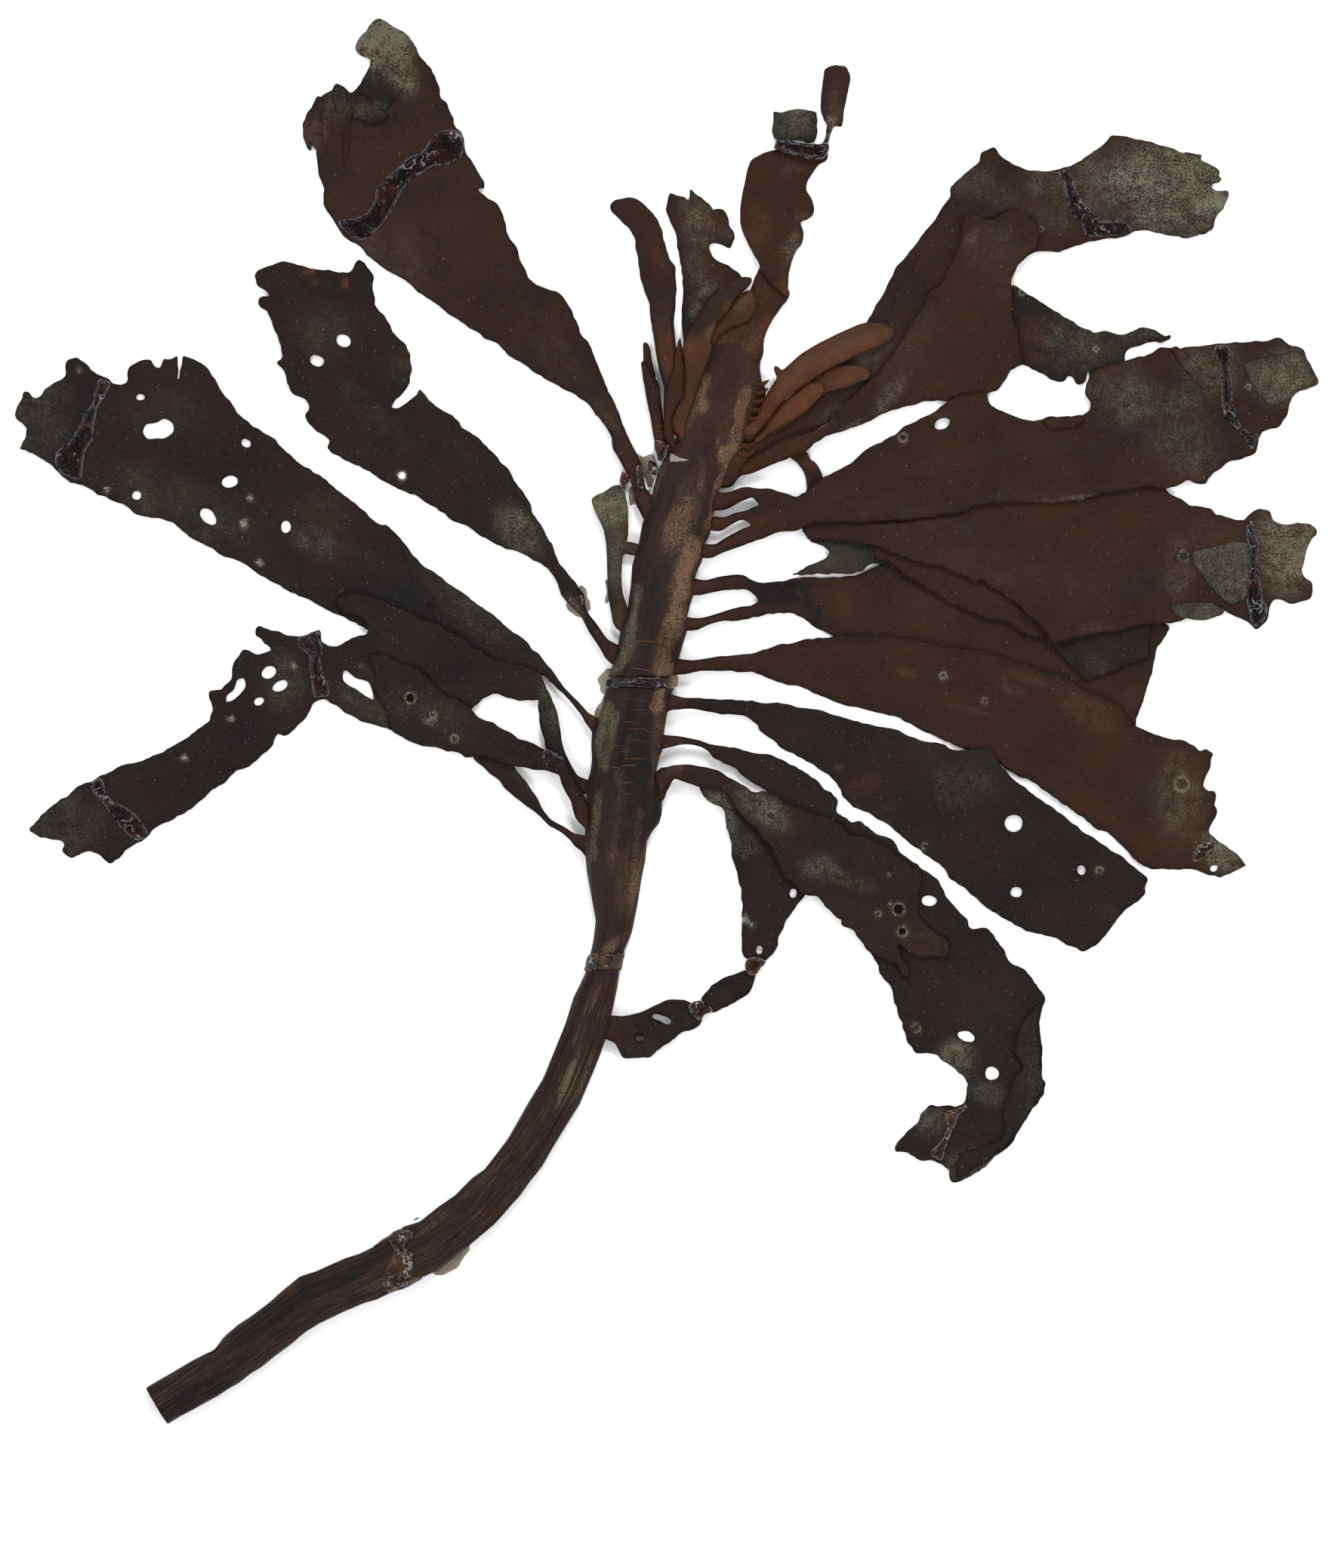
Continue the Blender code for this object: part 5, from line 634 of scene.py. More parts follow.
        ("tan", 70, 0, 16, 7, -15, 0.1), ("rust", 16, 13.6, 8, 1.6, 0, 0.35)],
    "right_blade_five": [
        ("olive", 64, -14, 9, 6, 0, 0.28), ("olive", 38, -3, 16, 6, -20, 0.12),
        ("dark", 34, 0, 18, 6, -25, 0.6), ("olive", 62, -6, 16, 8, -25, 0.14),
        ("rust", 70, -4, 6, 3, -20, 0.15), ("rust", 42.5, -14.5, 4.6, 2.6, 20, 0.5),
        ("tan", 37.6, -10.4, 1.8, 0.9, 0, 0.6), ("tan", 96, -42, 3, 2, 0, 0.45),
        ("rust", 28.5, -3, 3, 1.4, 10, 0.25), ("olive", 52, -22, 10, 4, -30, 0.1),
        ("rust", 14, 7.6, 9, 1.4, 0, 0.4), ("olive", 36, -6, 6, 3, 0, 0.1)],
    "lower_right_blade": [
        ("olive", 72, -66, 9, 14, 0, 0.12), ("olive", 63, -73.5, 5, 4.6, 0, 0.62),
        ("olive", 70, -66, 6, 6, 0, 0.05), ("olive", 67, -96, 7, 4, 10, 0.55),
        ("olive", 57, -87, 4, 4, 0, 0.46), ("pale", 70, -81, 6, 3, -20, 0.28),
        ("olive", 54.1, -66.8, 1.4, 1.4, 0, 0.4), ("dark", 5, -12, 6, 2, 60, 0.3),
        ("rust", 0, -16, 4, 1.6, 60, 0.4), ("olive", 24, -8, 12, 4, -35, 0.06)],
    "lower_right_flap": [("olive", 79, -74, 6, 16, 0, 0.24), ("olive", 79, -72, 3, 10, 0, 0.2)],
    "torn_lower_blade": [
        ("dark", 21, -19, 8, 4.4, -38, 0.5), ("dark", 42, -32, 18, 7, -40, 0.62),
        ("olive", 21, -19, 8, 4.4, -38, 0.5), ("olive", 23, -20, 4, 2, -38, 0.25),
        ("pale", 33, -32, 4.6, 3.4, 0, 0.32), ("olive", 39, -34.5, 8, 2, -20, 0.38),
        ("tan", 55, -47, 7, 5, -40, 0.28), ("olive", 3.5, -9, 4, 1.8, 40, 0.38),
        ("pale", 48.3, -33.6, 0.5, 0.5, 0, 0.6), ("pale", 48.5, -39.9, 0.5, 0.5, 0, 0.8),
        ("rust", 57, -50, 5, 3, 0, 0.2), ("olive", 40, -28, 8, 4, -20, 0.08)],
    "narrow_lower_blade": [
        ("olive", 12, -20, 7, 3.4, -70, 0.6), ("olive", 17, -27.5, 4.6, 3, 0, 0.36),
        ("pale", 16.9, -43.2, 0.8, 0.8, 0, 1), ("pale", 18.6, -44.4, 0.6, 0.6, 0, 0.9)],
    "lower_joined_piece": [("olive", 12, -60, 4, 2, 30, 0.15)],
    "lowest_piece": [("olive", -4, -72, 5, 3, 0, 0.2)],
}
# a margin that is darker than its blade: width of the dark band in millimetres
DARK_MARGIN = {"right_blade_four": 2.0, "upper_left_blade": 0.6, "torn_top_blade": 1.2,
               "right_blade_three": 0.8, "slender_top_blade": 0.7, "right_blade_one": 0.6,
               "right_blade_two": 0.5}
KINDS = ("olive", "rust", "dark", "tan", "pale")


def tone(q, rows, kind):
    """Strength of one kind of colour at each point."""
    value = np.zeros(len(q))
    for k, x, y, a, b, turn, strength in rows:
        if k == kind:
            c, s = math.cos(math.radians(turn)), math.sin(math.radians(turn))
            dx, dy = q[:, 0] - x, q[:, 1] - y
            far = np.hypot((dx * c + dy * s) / a, (dy * c - dx * s) / b)
            value = np.maximum(value, strength * smooth(1.45 - far))
    return value


print("hand-placed patches:", sum(len(r) for r in TONES.values()))

# %% [markdown]
# ## Creases, scars and curls
# Drying leaves creases, folds and torn slits, and small animals left round scars with a raised rim. A crease
# is a line with a height and a width: below nothing it is a groove. The mesh gets three rows of points
# along each, so that the shape is really in the mesh and not only in the material.

# %% Creases and scars
# height, width in millimetres, and the line
CREASES = {
    "upper_left_blade": [
        (0.45, 0.5, [(-67.3, 136), (-68.5, 131), (-70, 127.5), (-70, 126)]),
        (-0.35, 0.4, [(-70, 126), (-69.5, 118)]), (0.3, 0.5, [(-69, 129), (-64.5, 130)]),
        (0.25, 0.5, [(-65, 135.5), (-61, 131.5)]), (-0.3, 0.6, [(-53, 106), (-47, 102), (-30, 96)]),
        (0.45, 0.7, [(-67, 144.3), (-63.8, 143), (-60, 141)]), (0.5, 0.8, [(-75, 122.5), (-75, 135)]),
        (-0.25, 0.5, [(-24, 78), (-17.5, 70), (-12, 62.5)]),
        (-0.2, 0.4, [(-70, 136.5), (-66, 139.5), (-61, 139.8), (-57.4, 137)])],
    "second_left_blade": [
        (-0.5, 0.3, [(-69.7, 91.9), (-69.7, 93.3)]), (-0.5, 0.3, [(-76.2, 92.7), (-76.2, 93.7)]),
        (0.18, 0.35, [(-75, 79), (-62, 66), (-49, 53)]), (-0.3, 0.5, [(-31, 38), (-24, 28), (-18, 18)])],
    "left_large_blade": [
        (0.15, 0.4, [(-75, 38), (-66, 35), (-56, 33)]), (0.15, 0.4, [(-75, 38), (-80, 45)]),
        (0.15, 0.4, [(-75, 38), (-84, 36)]), (0.12, 0.4, [(-75, 38), (-72, 31)]),
        (-0.2, 0.6, [(-100, 60), (-70, 42), (-40, 18)])],
    "left_long_blade": [(-0.25, 0.6, [(-60, 10), (-42, 8), (-30, 3)])],
    "left_lower_blade": [(-0.25, 0.5, [(-58, 4), (-45, -2), (-32, -8)])],
    "slender_top_blade": [
        (-0.2, 0.5, [(-8.4, 110.5), (-5, 104), (-3.4, 96)]), (0.3, 0.6, [(-2.4, 98.8), (0.6, 97.2)]),
        (-0.25, 0.4, [(1, 88), (1.6, 76), (1, 66)]), (0.25, 0.5, [(-10.8, 111.6), (-9.2, 109.4)])],
    "torn_top_blade": [(-0.2, 0.5, [(3.5, 100), (4, 90), (4, 82)])],
    "young_blade_left": [
        (-0.25, 0.4, [(6.6, 80), (9.4, 86), (15, 92.5)]), (-0.25, 0.4, [(2.2, 64), (4.4, 72), (7.2, 79)]),
        (0.2, 0.4, [(3.2, 66), (5.6, 74)])],
    "terminal_blade": [(-0.2, 0.5, [(19, 82), (20, 90), (21.4, 95)])],
    "twisted_top_blade": [
        (0.55, 0.7, [(29.7, 107.6), (26.8, 106.5), (24.1, 104.7), (22.8, 102.5), (22.4, 99.3),
            (23.1, 96.7), (25.2, 93.4)]),
        (0.22, 0.35, [(17, 111.8), (19.8, 108.2)]), (0.22, 0.35, [(19.5, 111), (20.4, 107)]),
        (0.2, 0.35, [(18, 109.5), (19.4, 105.5)]), (-0.25, 0.4, [(20, 106), (23, 103.6)]),
        (-0.2, 0.4, [(21, 101), (22, 96), (24.6, 92)])],
    "young_blade_top": [
        (-0.2, 0.4, [(24, 70), (30, 77), (38, 82), (46, 84.6)]), (0.2, 0.4, [(20, 63), (24, 70)])],
    "young_blade_third": [(-0.18, 0.4, [(30, 70.6), (36, 73.4), (43, 74.6)])],
    "young_blade_second": [(-0.2, 0.4, [(20, 60), (26, 66), (33, 70.4)])],
    "upper_right_long_blade": [
        (-0.35, 0.4, [(108, 120), (109.5, 113)]), (-0.25, 0.5, [(20, 55), (32, 62), (44, 74)]),
        (0.3, 0.5, [(64, 109.2), (69, 108.6), (74, 110.6), (77, 110.4)]),
        (-0.2, 0.6, [(58, 110), (54, 100), (48, 88)])],
    "right_grey_blade": [
        (0.3, 0.5, [(91, 75), (91.2, 82.5), (96, 83.4)]),
        (0.3, 0.5, [(76.6, 82.4), (80, 82), (83.2, 84.6), (85, 87)])],
    "upper_right_blade": [
        (0.4, 0.4, [(75, 98.5), (72, 94.8), (69.7, 92.4)]), (-0.3, 0.35, [(69.7, 92.4), (72, 94)]),
        (-0.2, 0.5, [(22, 54), (34, 61), (46, 68)]), (0.25, 0.4, [(40, 62), (52, 64)])],
    "right_blade_one": [
        (-0.2, 0.35, [(67, 46.5), (74, 51.6), (80, 56)]), (0.3, 0.6, [(81, 63.4), (86, 62.6), (90.2, 65)]),
        (-0.3, 0.35, [(99, 51.2), (102, 52)]),
        (0.35, 0.6, [(67, 46.6), (84, 48.2), (96, 49.6), (106, 51.8)]),
        (0.4, 0.5, [(125, 76), (128, 71), (129.5, 67)]), (0.2, 0.4, [(36, 47), (52, 52), (66, 54)]),
        (0.45, 0.6, [(18.5, 48.4), (23, 49), (28, 47.8), (26.6, 46), (24.5, 46)])],
    "right_blade_two": [
        (0.35, 0.4, [(113.3, 46.2), (109.5, 41.5)]),
        (0.4, 0.5, [(114, 35.5), (116, 31), (120, 27), (122, 24.5)]), (0.3, 0.5, [(85, 17.4), (88, 20.4)]),
        (-0.12, 0.3, [(40, 31), (57, 36.5)]), (-0.25, 0.5, [(20, 33), (32, 36.6), (44, 40)])],
    "right_inner_blade": [(0.2, 0.4, [(52, 33), (66, 27), (80, 22)])],
    "right_blade_three": [
        (-0.25, 0.4, [(10, 22), (24, 26), (36, 28)]), (-0.2, 0.4, [(12, 15), (24, 20), (33, 23)])],
    "right_blade_four": [
        (-0.2, 0.5, [(6, 13.6), (18, 14.6), (30, 14)]), (0.3, 0.5, [(76, -11), (79, -11.6), (82, -13.6)]),
        (0.25, 0.35, [(70.6, 8.4), (77.4, 4.6), (82, 4)])],
    "right_blade_five": [(-0.2, 0.5, [(4, 7.6), (16, 7.6), (28, 3)])],
    "lower_right_blade": [
        (0.4, 0.6, [(4, -6), (10, -9), (18, -16), (27, -24)]),
        (-0.25, 0.5, [(36, -28), (52, -42), (66, -56)]), (0.3, 0.5, [(60.5, -88), (66, -90), (72, -88.6)])],
    "torn_lower_blade": [
        (0.25, 0.4, [(34, -32), (45, -36)]), (0.2, 0.4, [(34, -32), (30, -28)]),
        (0.2, 0.4, [(34, -32), (33, -38)]), (0.35, 0.5, [(51, -50), (55, -47), (60, -50.4)]),
        (-0.3, 0.5, [(0.6, -14), (2, -9), (6, -7)])],
    "narrow_lower_blade": [
        (0.3, 0.35, [(11, -16), (12, -24), (15, -33)]), (0.25, 0.35, [(13.4, -17), (15.4, -27)]),
        (-0.25, 0.35, [(9.6, -17), (11.4, -29)]), (0.2, 0.35, [(15, -25.5), (20.6, -27.4)]),
        (0.2, 0.35, [(15.6, -28.4), (21, -29.8)])],
}
# a scar: x, y and the radius of its rim
SCARS = {
    "left_lower_blade": [(-55.3, 4.6, 1.2), (-45.8, -4.2, 0.8), (-50.4, 0.9, 0.7)],
    "right_blade_one": [(51.3, 61, 0.9), (126, 72, 0.5), (77.6, 91, 0.6)],
    "right_blade_two": [(112, 35.3, 1.2)],
    "right_blade_four": [(60, 9.5, 0.7), (111.6, -14, 1.6), (69, 4, 0.6)],
    "right_blade_five": [(93.8, -32.7, 0.7), (56, -27.5, 0.6)],
    "right_grey_blade": [(77, 92.4, 0.6), (93.1, 80.2, 0.5)],
    "torn_lower_blade": [(50.3, -41.1, 1.35), (51.1, -45.9, 1.05), (45.9, -42.1, 0.6), (22.6, -20.6, 0.9)],
    "lower_right_blade": [(54.1, -66.8, 0.9)],
    "upper_right_long_blade": [(81, 106, 0.6)],
}
print("creases:", sum(len(v) for v in CREASES.values()), "scars:", sum(len(v) for v in SCARS.values()))

# %% [markdown]
# ## Building one sheet
# A dried blade could be an extruded curve, but then its face would be flat and empty. Here points are spread
# over the whole face, a Delaunay triangulation joins them, and each point gets its own height: the CAD rule,
# wrinkles, a lifted or curled margin, creases, and a rounded back where the blade narrows to its stalk. The
# same triangles are used underneath. Numbers for the material are stored on the points.

# %% A ragged outline
EDGE = 0.6
POINT_STEP = 1.0
RIM_REACH = 8  # no material looks further in from an edge than this


def ragged(loop, amount, seed):
    """A closed outline in fine steps, its corners eased and its edge made uneven away from the stem."""
    p = np.asarray(loop)
    q = np.roll(p, -1, axis=0)
    parts = np.maximum(1, np.ceil(np.hypot(*(q - p).T) / EDGE)).astype(int)
    fine = np.concatenate([a + (b - a) * np.arange(k)[:, None] / k for a, b, k in zip(p, q, parts)])
    for _ in range(2):
        fine = 0.5 * fine + 0.25 * (np.roll(fine, 1, axis=0) + np.roll(fine, -1, axis=0))
    run = np.roll(fine, -1, axis=0) - np.roll(fine, 1, axis=0)
    out = np.stack([run[:, 1], -run[:, 0]], 1) / np.maximum(np.hypot(*run.T), 1e-9)[:, None]
    away = np.maximum(-signed_distance(fine, STEM_PLAN), 0)
    push = rough(fine, 2.6, seed) + 0.8 * rough(fine, 1.1, seed + 1)
    push = amount * smooth((away - 3) / 14) * push
    push += 0.18 * (1 - smooth((away - 6) / 14)) + 0.75 * np.exp(-away / 1.3)
    return fine + out * push[:, None]


def rows_along(line, gap):
    """Points along a line and on both sides of it."""
    p = np.array(line, dtype=float)
    out = []
    for a, b in zip(p, p[1:]):
        long = np.hypot(*(b - a))
        n = max(1, int(math.ceil(long / 0.5)))
        square = np.array([-(b - a)[1], (b - a)[0]]) / max(long, 1e-9)
        for k in range(n + 1):
            m = a + (b - a) * k / n
            out += [m, m + square * gap, m - square * gap]
    return np.array(out)


def triangulate(loops, extra=(), step=POINT_STEP):
    """Points over a sheet with holes, and the triangles between them. extra are points that must be in it."""
    outer = loops[0]
    low, high = outer.min(0), outer.max(0)
    grid = []
    for i, y in enumerate(np.arange(low[1], high[1], step * 0.866)):
        x = np.arange(low[0] + (i % 2) * step / 2, high[0], step)
        grid.append(np.stack([x, np.full(len(x), y)], 1))
    grid = np.concatenate(grid)
    grid += 0.16 * step * np.stack([rough(grid, 0.7, 5), rough(grid, 0.7, 6)], 1)
    if len(extra):
        keep = np.ones(len(grid), dtype=bool)
        few = CHUNK // 10
        for s in range(0, len(extra), few):
            d = grid[:, None, :] - extra[None, s:s + few, :]
            keep &= (d * d).sum(-1).min(1) > 0.3 ** 2
        grid = np.concatenate([grid[keep], extra])
    grid = grid[inside(grid, outer)]
    clear = to_loop(grid, outer)
    for hole in loops[1:]:
        clear = np.minimum(clear, np.where(inside(grid, hole), 0, to_loop(grid, hole)))
    grid = grid[clear > 0.42 * EDGE]
    points, edges = [], []
    for loop in loops:
        n, start = len(loop), len(points)
        points += [Vector(v) for v in loop]
        edges += [(start + i, start + (i + 1) % n) for i in range(n)]
    points += [Vector(v) for v in grid]
    verts, _, faces, *_ = delaunay_2d_cdt(points, edges, [], 0, 1e-5)
    co = np.array([(v.x, v.y) for v in verts])
    tris = np.array([f for f in faces if len(f) == 3])
    mid = co[tris].mean(1)
    keep = inside(mid, outer)
    for hole in loops[1:]:
        keep &= ~inside(mid, hole)
    tris = tris[keep]
    a, b, c = co[tris[:, 0]], co[tris[:, 1]], co[tris[:, 2]]
    turn = (b[:, 0] - a[:, 0]) * (c[:, 1] - a[:, 1]) - (b[:, 1] - a[:, 1]) * (c[:, 0] - a[:, 0])
    tris = np.where((turn < 0)[:, None], tris[:, ::-1], tris)[abs(turn) > 1e-9]
    used, back = np.unique(tris, return_inverse=True)
    return co[used], back.reshape(tris.shape)


def sheet_points(loop, step=POINT_STEP):
    """Points over one outline, their triangles, and how far each point is from the edge."""
    co, tris = triangulate([loop], step=step)
    return co, tris, to_loop(co, loop)


square = sheet_points(np.array([(0.0, 0), (10, 0), (10, 10), (0, 10)]))
print("a square of 10 mm has", len(square[0]), "points and", len(square[1]), "triangles")

# %% From points to a closed piece


def open_edges(tris):
    """The edges that only one triangle has, each in that triangle's direction."""
    half = np.concatenate([tris[:, [0, 1]], tris[:, [1, 2]], tris[:, [2, 0]]])
    big = int(tris.max()) + 1
    own, other = half[:, 0] * big + half[:, 1], half[:, 1] * big + half[:, 0]
    return half[~np.isin(own, other)]


def store(mesh, key, value):
    """Keep one number on each point of a mesh, for its material to read."""
    layer = mesh.attributes.new(key, "FLOAT", "POINT")
    layer.data.foreach_set("value", np.asarray(value, dtype=np.float32))


def grain_map(mesh, places):
    """A map of the distances along and across the grain. One unit of it is 100 mm."""
    corner = np.empty(len(mesh.loops), dtype=np.int32)
    mesh.loops.foreach_get("vertex_index", corner)
    uv = places[corner] * 0.01
    mesh.uv_layers.new(name="grain").uv.foreach_set("vector", uv.astype(np.float32).ravel())


def closed_piece(name, co, tris, low, high, values, uv=None):
    """An object from a triangulated outline, with its underside and upper side."""
    n = len(co)
    place = np.concatenate([co, co]) + STEP_TO_MODEL
    verts = np.column_stack([place, np.concatenate([low, high])]) * 0.001
    rim = open_edges(tris)
    wall = np.concatenate([np.stack([rim[:, 0], rim[:, 1], rim[:, 1] + n], 1),
                           np.stack([rim[:, 0], rim[:, 1] + n, rim[:, 0] + n], 1)])
    faces = np.concatenate([tris + n, tris[:, ::-1], wall])
    mesh = bpy.data.meshes.new(name)
    mesh.from_pydata(verts.tolist(), [], faces.tolist())
    flat = np.ones(len(faces), dtype=bool)
    flat[2 * len(tris):] = False
    mesh.polygons.foreach_set("use_smooth", flat)
    for key, value in values.items():
        store(mesh, key, np.concatenate([value, value]))
    if uv is not None:
        grain_map(mesh, np.concatenate([uv, uv]))
    mesh.update()
    return new_object(name, mesh)


def grain_direction(loop):
    """Distances along and across a blade, from the long axis of its outline."""
    middle = loop.mean(0)
    _, axes = np.linalg.eigh(np.cov((loop - middle).T))
    return lambda q: (q - middle) @ axes[:, ::-1]


# %% [markdown]
# ## Heights of a blade's own
# These are the small shapes that the CAD leaves out. None of them is higher than the space between two
# layers, so that no blade comes up through the one above it.

# %% The relief of a blade
THIN = 0.42


def relief(q, rim, seed, name):
    """Wrinkles, curled margins, creases and scars, in millimetres."""
    z = 0.10 * rough(q, 8.5, seed) + 0.055 * rough(q, 3.6, seed + 1) + 0.022 * rough(q, 1.5, seed + 2)
    curl = np.maximum(0, rough(q, 6.5, seed + 3))
    z += 0.34 * curl * np.exp(-(rim / 0.9) ** 2) - 0.05 * np.exp(-((rim - 1.9) / 0.8) ** 2)
    for high, wide, line in CREASES.get(name, []):
        z += high * 0.75 * np.exp(-(from_line(q, line) / wide) ** 2)
    for x, y, r in SCARS.get(name, []):
        far = np.hypot(q[:, 0] - x, q[:, 1] - y)
        z += 0.28 * np.exp(-((far - r) / 0.32) ** 2) - 0.2 * np.exp(-(far / (0.55 * r)) ** 2)
    return z


def attached(q, away):
    """Points close to the stem moved on into it, so that no gap shows at a stalk's foot."""
    e = 0.05
    pull = np.stack([signed_distance(q + (e, 0), STEM_PLAN) - signed_distance(q - (e, 0), STEM_PLAN),
                     signed_distance(q + (0, e), STEM_PLAN) - signed_distance(q - (0, e), STEM_PLAN)], 1)
    pull /= np.maximum(np.hypot(*pull.T), 1e-9)[:, None]
    return q + pull * ((np.clip(away, 0, 1.6) + 0.5) * smooth((2.4 - away) / 1.6))[:, None]


def stalk_share(q):
    """1 on the stalks, close to the stem, and 0 on the broad blades."""
    return 1 - smooth((-signed_distance(q, STEM_PLAN) - 7) / 13)


def seed_of(node):
    """A seed of its own for each blade."""
    return 10 + 7 * sorted(PIECES).index(node)


def blade(node):
    """The fine piece that stands for one CAD blade."""
    look, warm, uneven = PIECES[node]
    seed = seed_of(node)
    loops = [ragged(p, uneven if k == 0 else 0.5 * uneven, seed) for k, p in enumerate(LOOPS[node])]
    extra = [rows_along(line, wide) for _, wide, line in CREASES.get(node, [])]
    for x, y, r in SCARS.get(node, []):
        turn = np.linspace(0, 2 * math.pi, 15)[:-1]
        extra += [np.array([(x, y)])] + [np.stack([x + k * np.cos(turn), y + k * np.sin(turn)], 1)
                                         for k in (0.6 * r, r, r + 0.45)]
    for _, x, y, a, b, *_ in TONES.get(node, []):
        if a < 1.6:
            extra.append(np.array([(x + 0.4 * a * i, y + 0.4 * b * j) for i in (-2, -1, 0, 1, 2)
                                   for j in (-2, -1, 0, 1, 2) if abs(i * j) < 4]))
    co, tris = triangulate(loops, np.concatenate(extra) if extra else [])
    rim = np.min([to_loop(co, p) for p in loops], axis=0)
    away = -signed_distance(co, STEM_PLAN)
    stalk = stalk_share(co)
    z = underside(co, node) + 0.05 + relief(co, rim, seed, node) * (1 - 0.6 * stalk)
    grain = grain_direction(loops[0])(co)
    z += stalk * 0.10 * rough(np.stack([grain[:, 0] / 9, grain[:, 1]], 1), 0.9, seed + 4)
    z = np.maximum(z, 0.0)
    dome = 0.42 * stalk * (1 - (1 - np.clip(rim / 1.3, 0, 1)) ** 2)
    values = {k: tone(co, TONES.get(node, []), k) for k in KINDS}
    band = DARK_MARGIN.get(node)
    if band:
        wide = band * (1 + 0.5 * rough(co, 5, seed + 5))
        values["dark"] = np.maximum(values["dark"], 0.75 * (1 - smooth(rim / wide - 0.3)))
    # Each crease is painted darker along its line, grooves more than ridges: painted crease shade.
    for high, wide, line in CREASES.get(node, []):
        if look != "young":
            near = np.exp(-(from_line(co, line) / (wide + 0.1)) ** 2)
            values["dark"] = np.maximum(values["dark"], (0.3 if high > 0 else 0.55) * near)
    for x, y, r in SCARS.get(node, []):
        far = np.hypot(co[:, 0] - x, co[:, 1] - y)
        values["olive"] = np.maximum(values["olive"], 0.9 * np.exp(-((far - r) / 0.4) ** 2))
        values["dark"] = np.maximum(values["dark"], 1.3 * np.exp(-(far / (0.6 * r)) ** 2))
    near_stem = smooth(1.15 - np.maximum(away, 0) / 9) * stalk
    values["rust"] = np.maximum(values["rust"], 0.42 * near_stem)
    values["rim"] = np.minimum(rim, RIM_REACH)
    values["warm"] = np.full(len(co), warm)
    piece = closed_piece(node + "_piece", attached(co, away), tris, z, z + THIN + dome, values, grain)
    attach(piece, "root")
    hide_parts(node)
    return piece


BLADES = {}
for node in SHEETS:
    if node.startswith("glue") or node == "young_comb":
        continue
    BLADES[node] = blade(node)
print("blades:", len(BLADES), "triangles:", sum(len(b.data.polygons) for b in BLADES.values()))

# %% [markdown]
# ## Dried kelp as a material
# Dried kelp is a thin, horn-like leather. Its cells make a fine grain, salt leaves small pale flecks, and the
# surface is dull with a faint sheen where it is smooth. The material mixes two tones over some 20 mm, mottles
# them at 2 to 3 mm, then lays the stored patches over them, each cut by grain into speckles. Cells of real
# kelp are far too fine to see, so the grain is drawn at 0.3 mm, the finest that shows.

# %% The kelp material
PATCH = {
    "tan": ("#735b48", 0.90, 0.5), "rust": ("#71402a", 0.90, 0.5), "dark": ("#1d1718", 0.95, 0.3),
    "olive": ("#7b7763", 1.00, 1.0), "pale": ("#a19d90", 0.95, 1.1)}


def noise(tree, where, size, detail=4.0, roughness=0.55, stretch=None):
    """Noise whose bumps are `size` millimetres across, where `where` is in millimetres."""
    if stretch:
        where = add(tree, "ShaderNodeVectorMath", {0: where, 1: stretch}, operation="MULTIPLY").outputs[0]
    return add(tree, "ShaderNodeTexNoise", {"Vector": where, "Scale": 1 / size, "Detail": detail,
                                            "Roughness": roughness}).outputs["Fac"]


def spread(tree, value, low, high, to_low=0.0, to_high=1.0):
    """A value spread softly from one range to another."""
    return add(tree, "ShaderNodeMapRange", {
        "Value": value, "From Min": low, "From Max": high, "To Min": to_low, "To Max": to_high},
        interpolation_type="SMOOTHSTEP").outputs[0]


def maths(tree, what, a, b=0.0, c=0.0):
    """One step of arithmetic."""
    return add(tree, "ShaderNodeMath", {0: a, 1: b, 2: c}, operation=what).outputs[0]


def blend_colour(tree, share, a, b, kind="MIX"):
    """Colour a at a share of nothing, and colour b at a full share."""
    return add(tree, "ShaderNodeMix", {0: share, 6: a, 7: b}, data_type="RGBA", blend_type=kind).outputs[2]


def empty_material(name):
    """A new material, its tree, its shader, and places on the piece in millimetres."""
    made = bpy.data.materials.new(name)
    made.use_nodes = True
    tree = made.node_tree
    shader = tree.nodes["Principled BSDF"]
    where = add(tree, "ShaderNodeTexCoord").outputs["Object"]
    mm = add(tree, "ShaderNodeVectorMath", {0: where, 3: 1000.0}, operation="SCALE").outputs[0]
    return made, tree, shader, mm


def grain_places(tree):
    """Places along and across the grain, in millimetres, from a piece's own map."""
    uv = add(tree, "ShaderNodeUVMap", uv_map="grain").outputs[0]
    return add(tree, "ShaderNodeVectorMath", {0: uv, 3: 100.0}, operation="SCALE").outputs[0]


def shaded(tree, colour, shade):
    """A colour made lighter or darker."""
    tint = add(tree, "ShaderNodeCombineColor", {0: shade, 1: shade, 2: shade}).outputs[0]
    return blend_colour(tree, 1.0, colour, tint, "MULTIPLY")


def finish(tree, shader, colour, dullness, specular, height, deep, strength):
    """Join a colour, a roughness and a bump to the shader."""
    tree.links.new(colour, shader.inputs["Base Color"])
    tree.links.new(dullness, shader.inputs["Roughness"])
    shader.inputs["Specular IOR Level"].default_value = specular
    bump = add(tree, "ShaderNodeBump", {"Height": height, "Distance": deep, "Strength": strength})
    tree.links.new(bump.outputs[0], shader.inputs["Normal"])


def stored(tree, key):
    """A number that is kept on the mesh's points."""
    return add(tree, "ShaderNodeAttribute", attribute_name=key).outputs["Fac"]


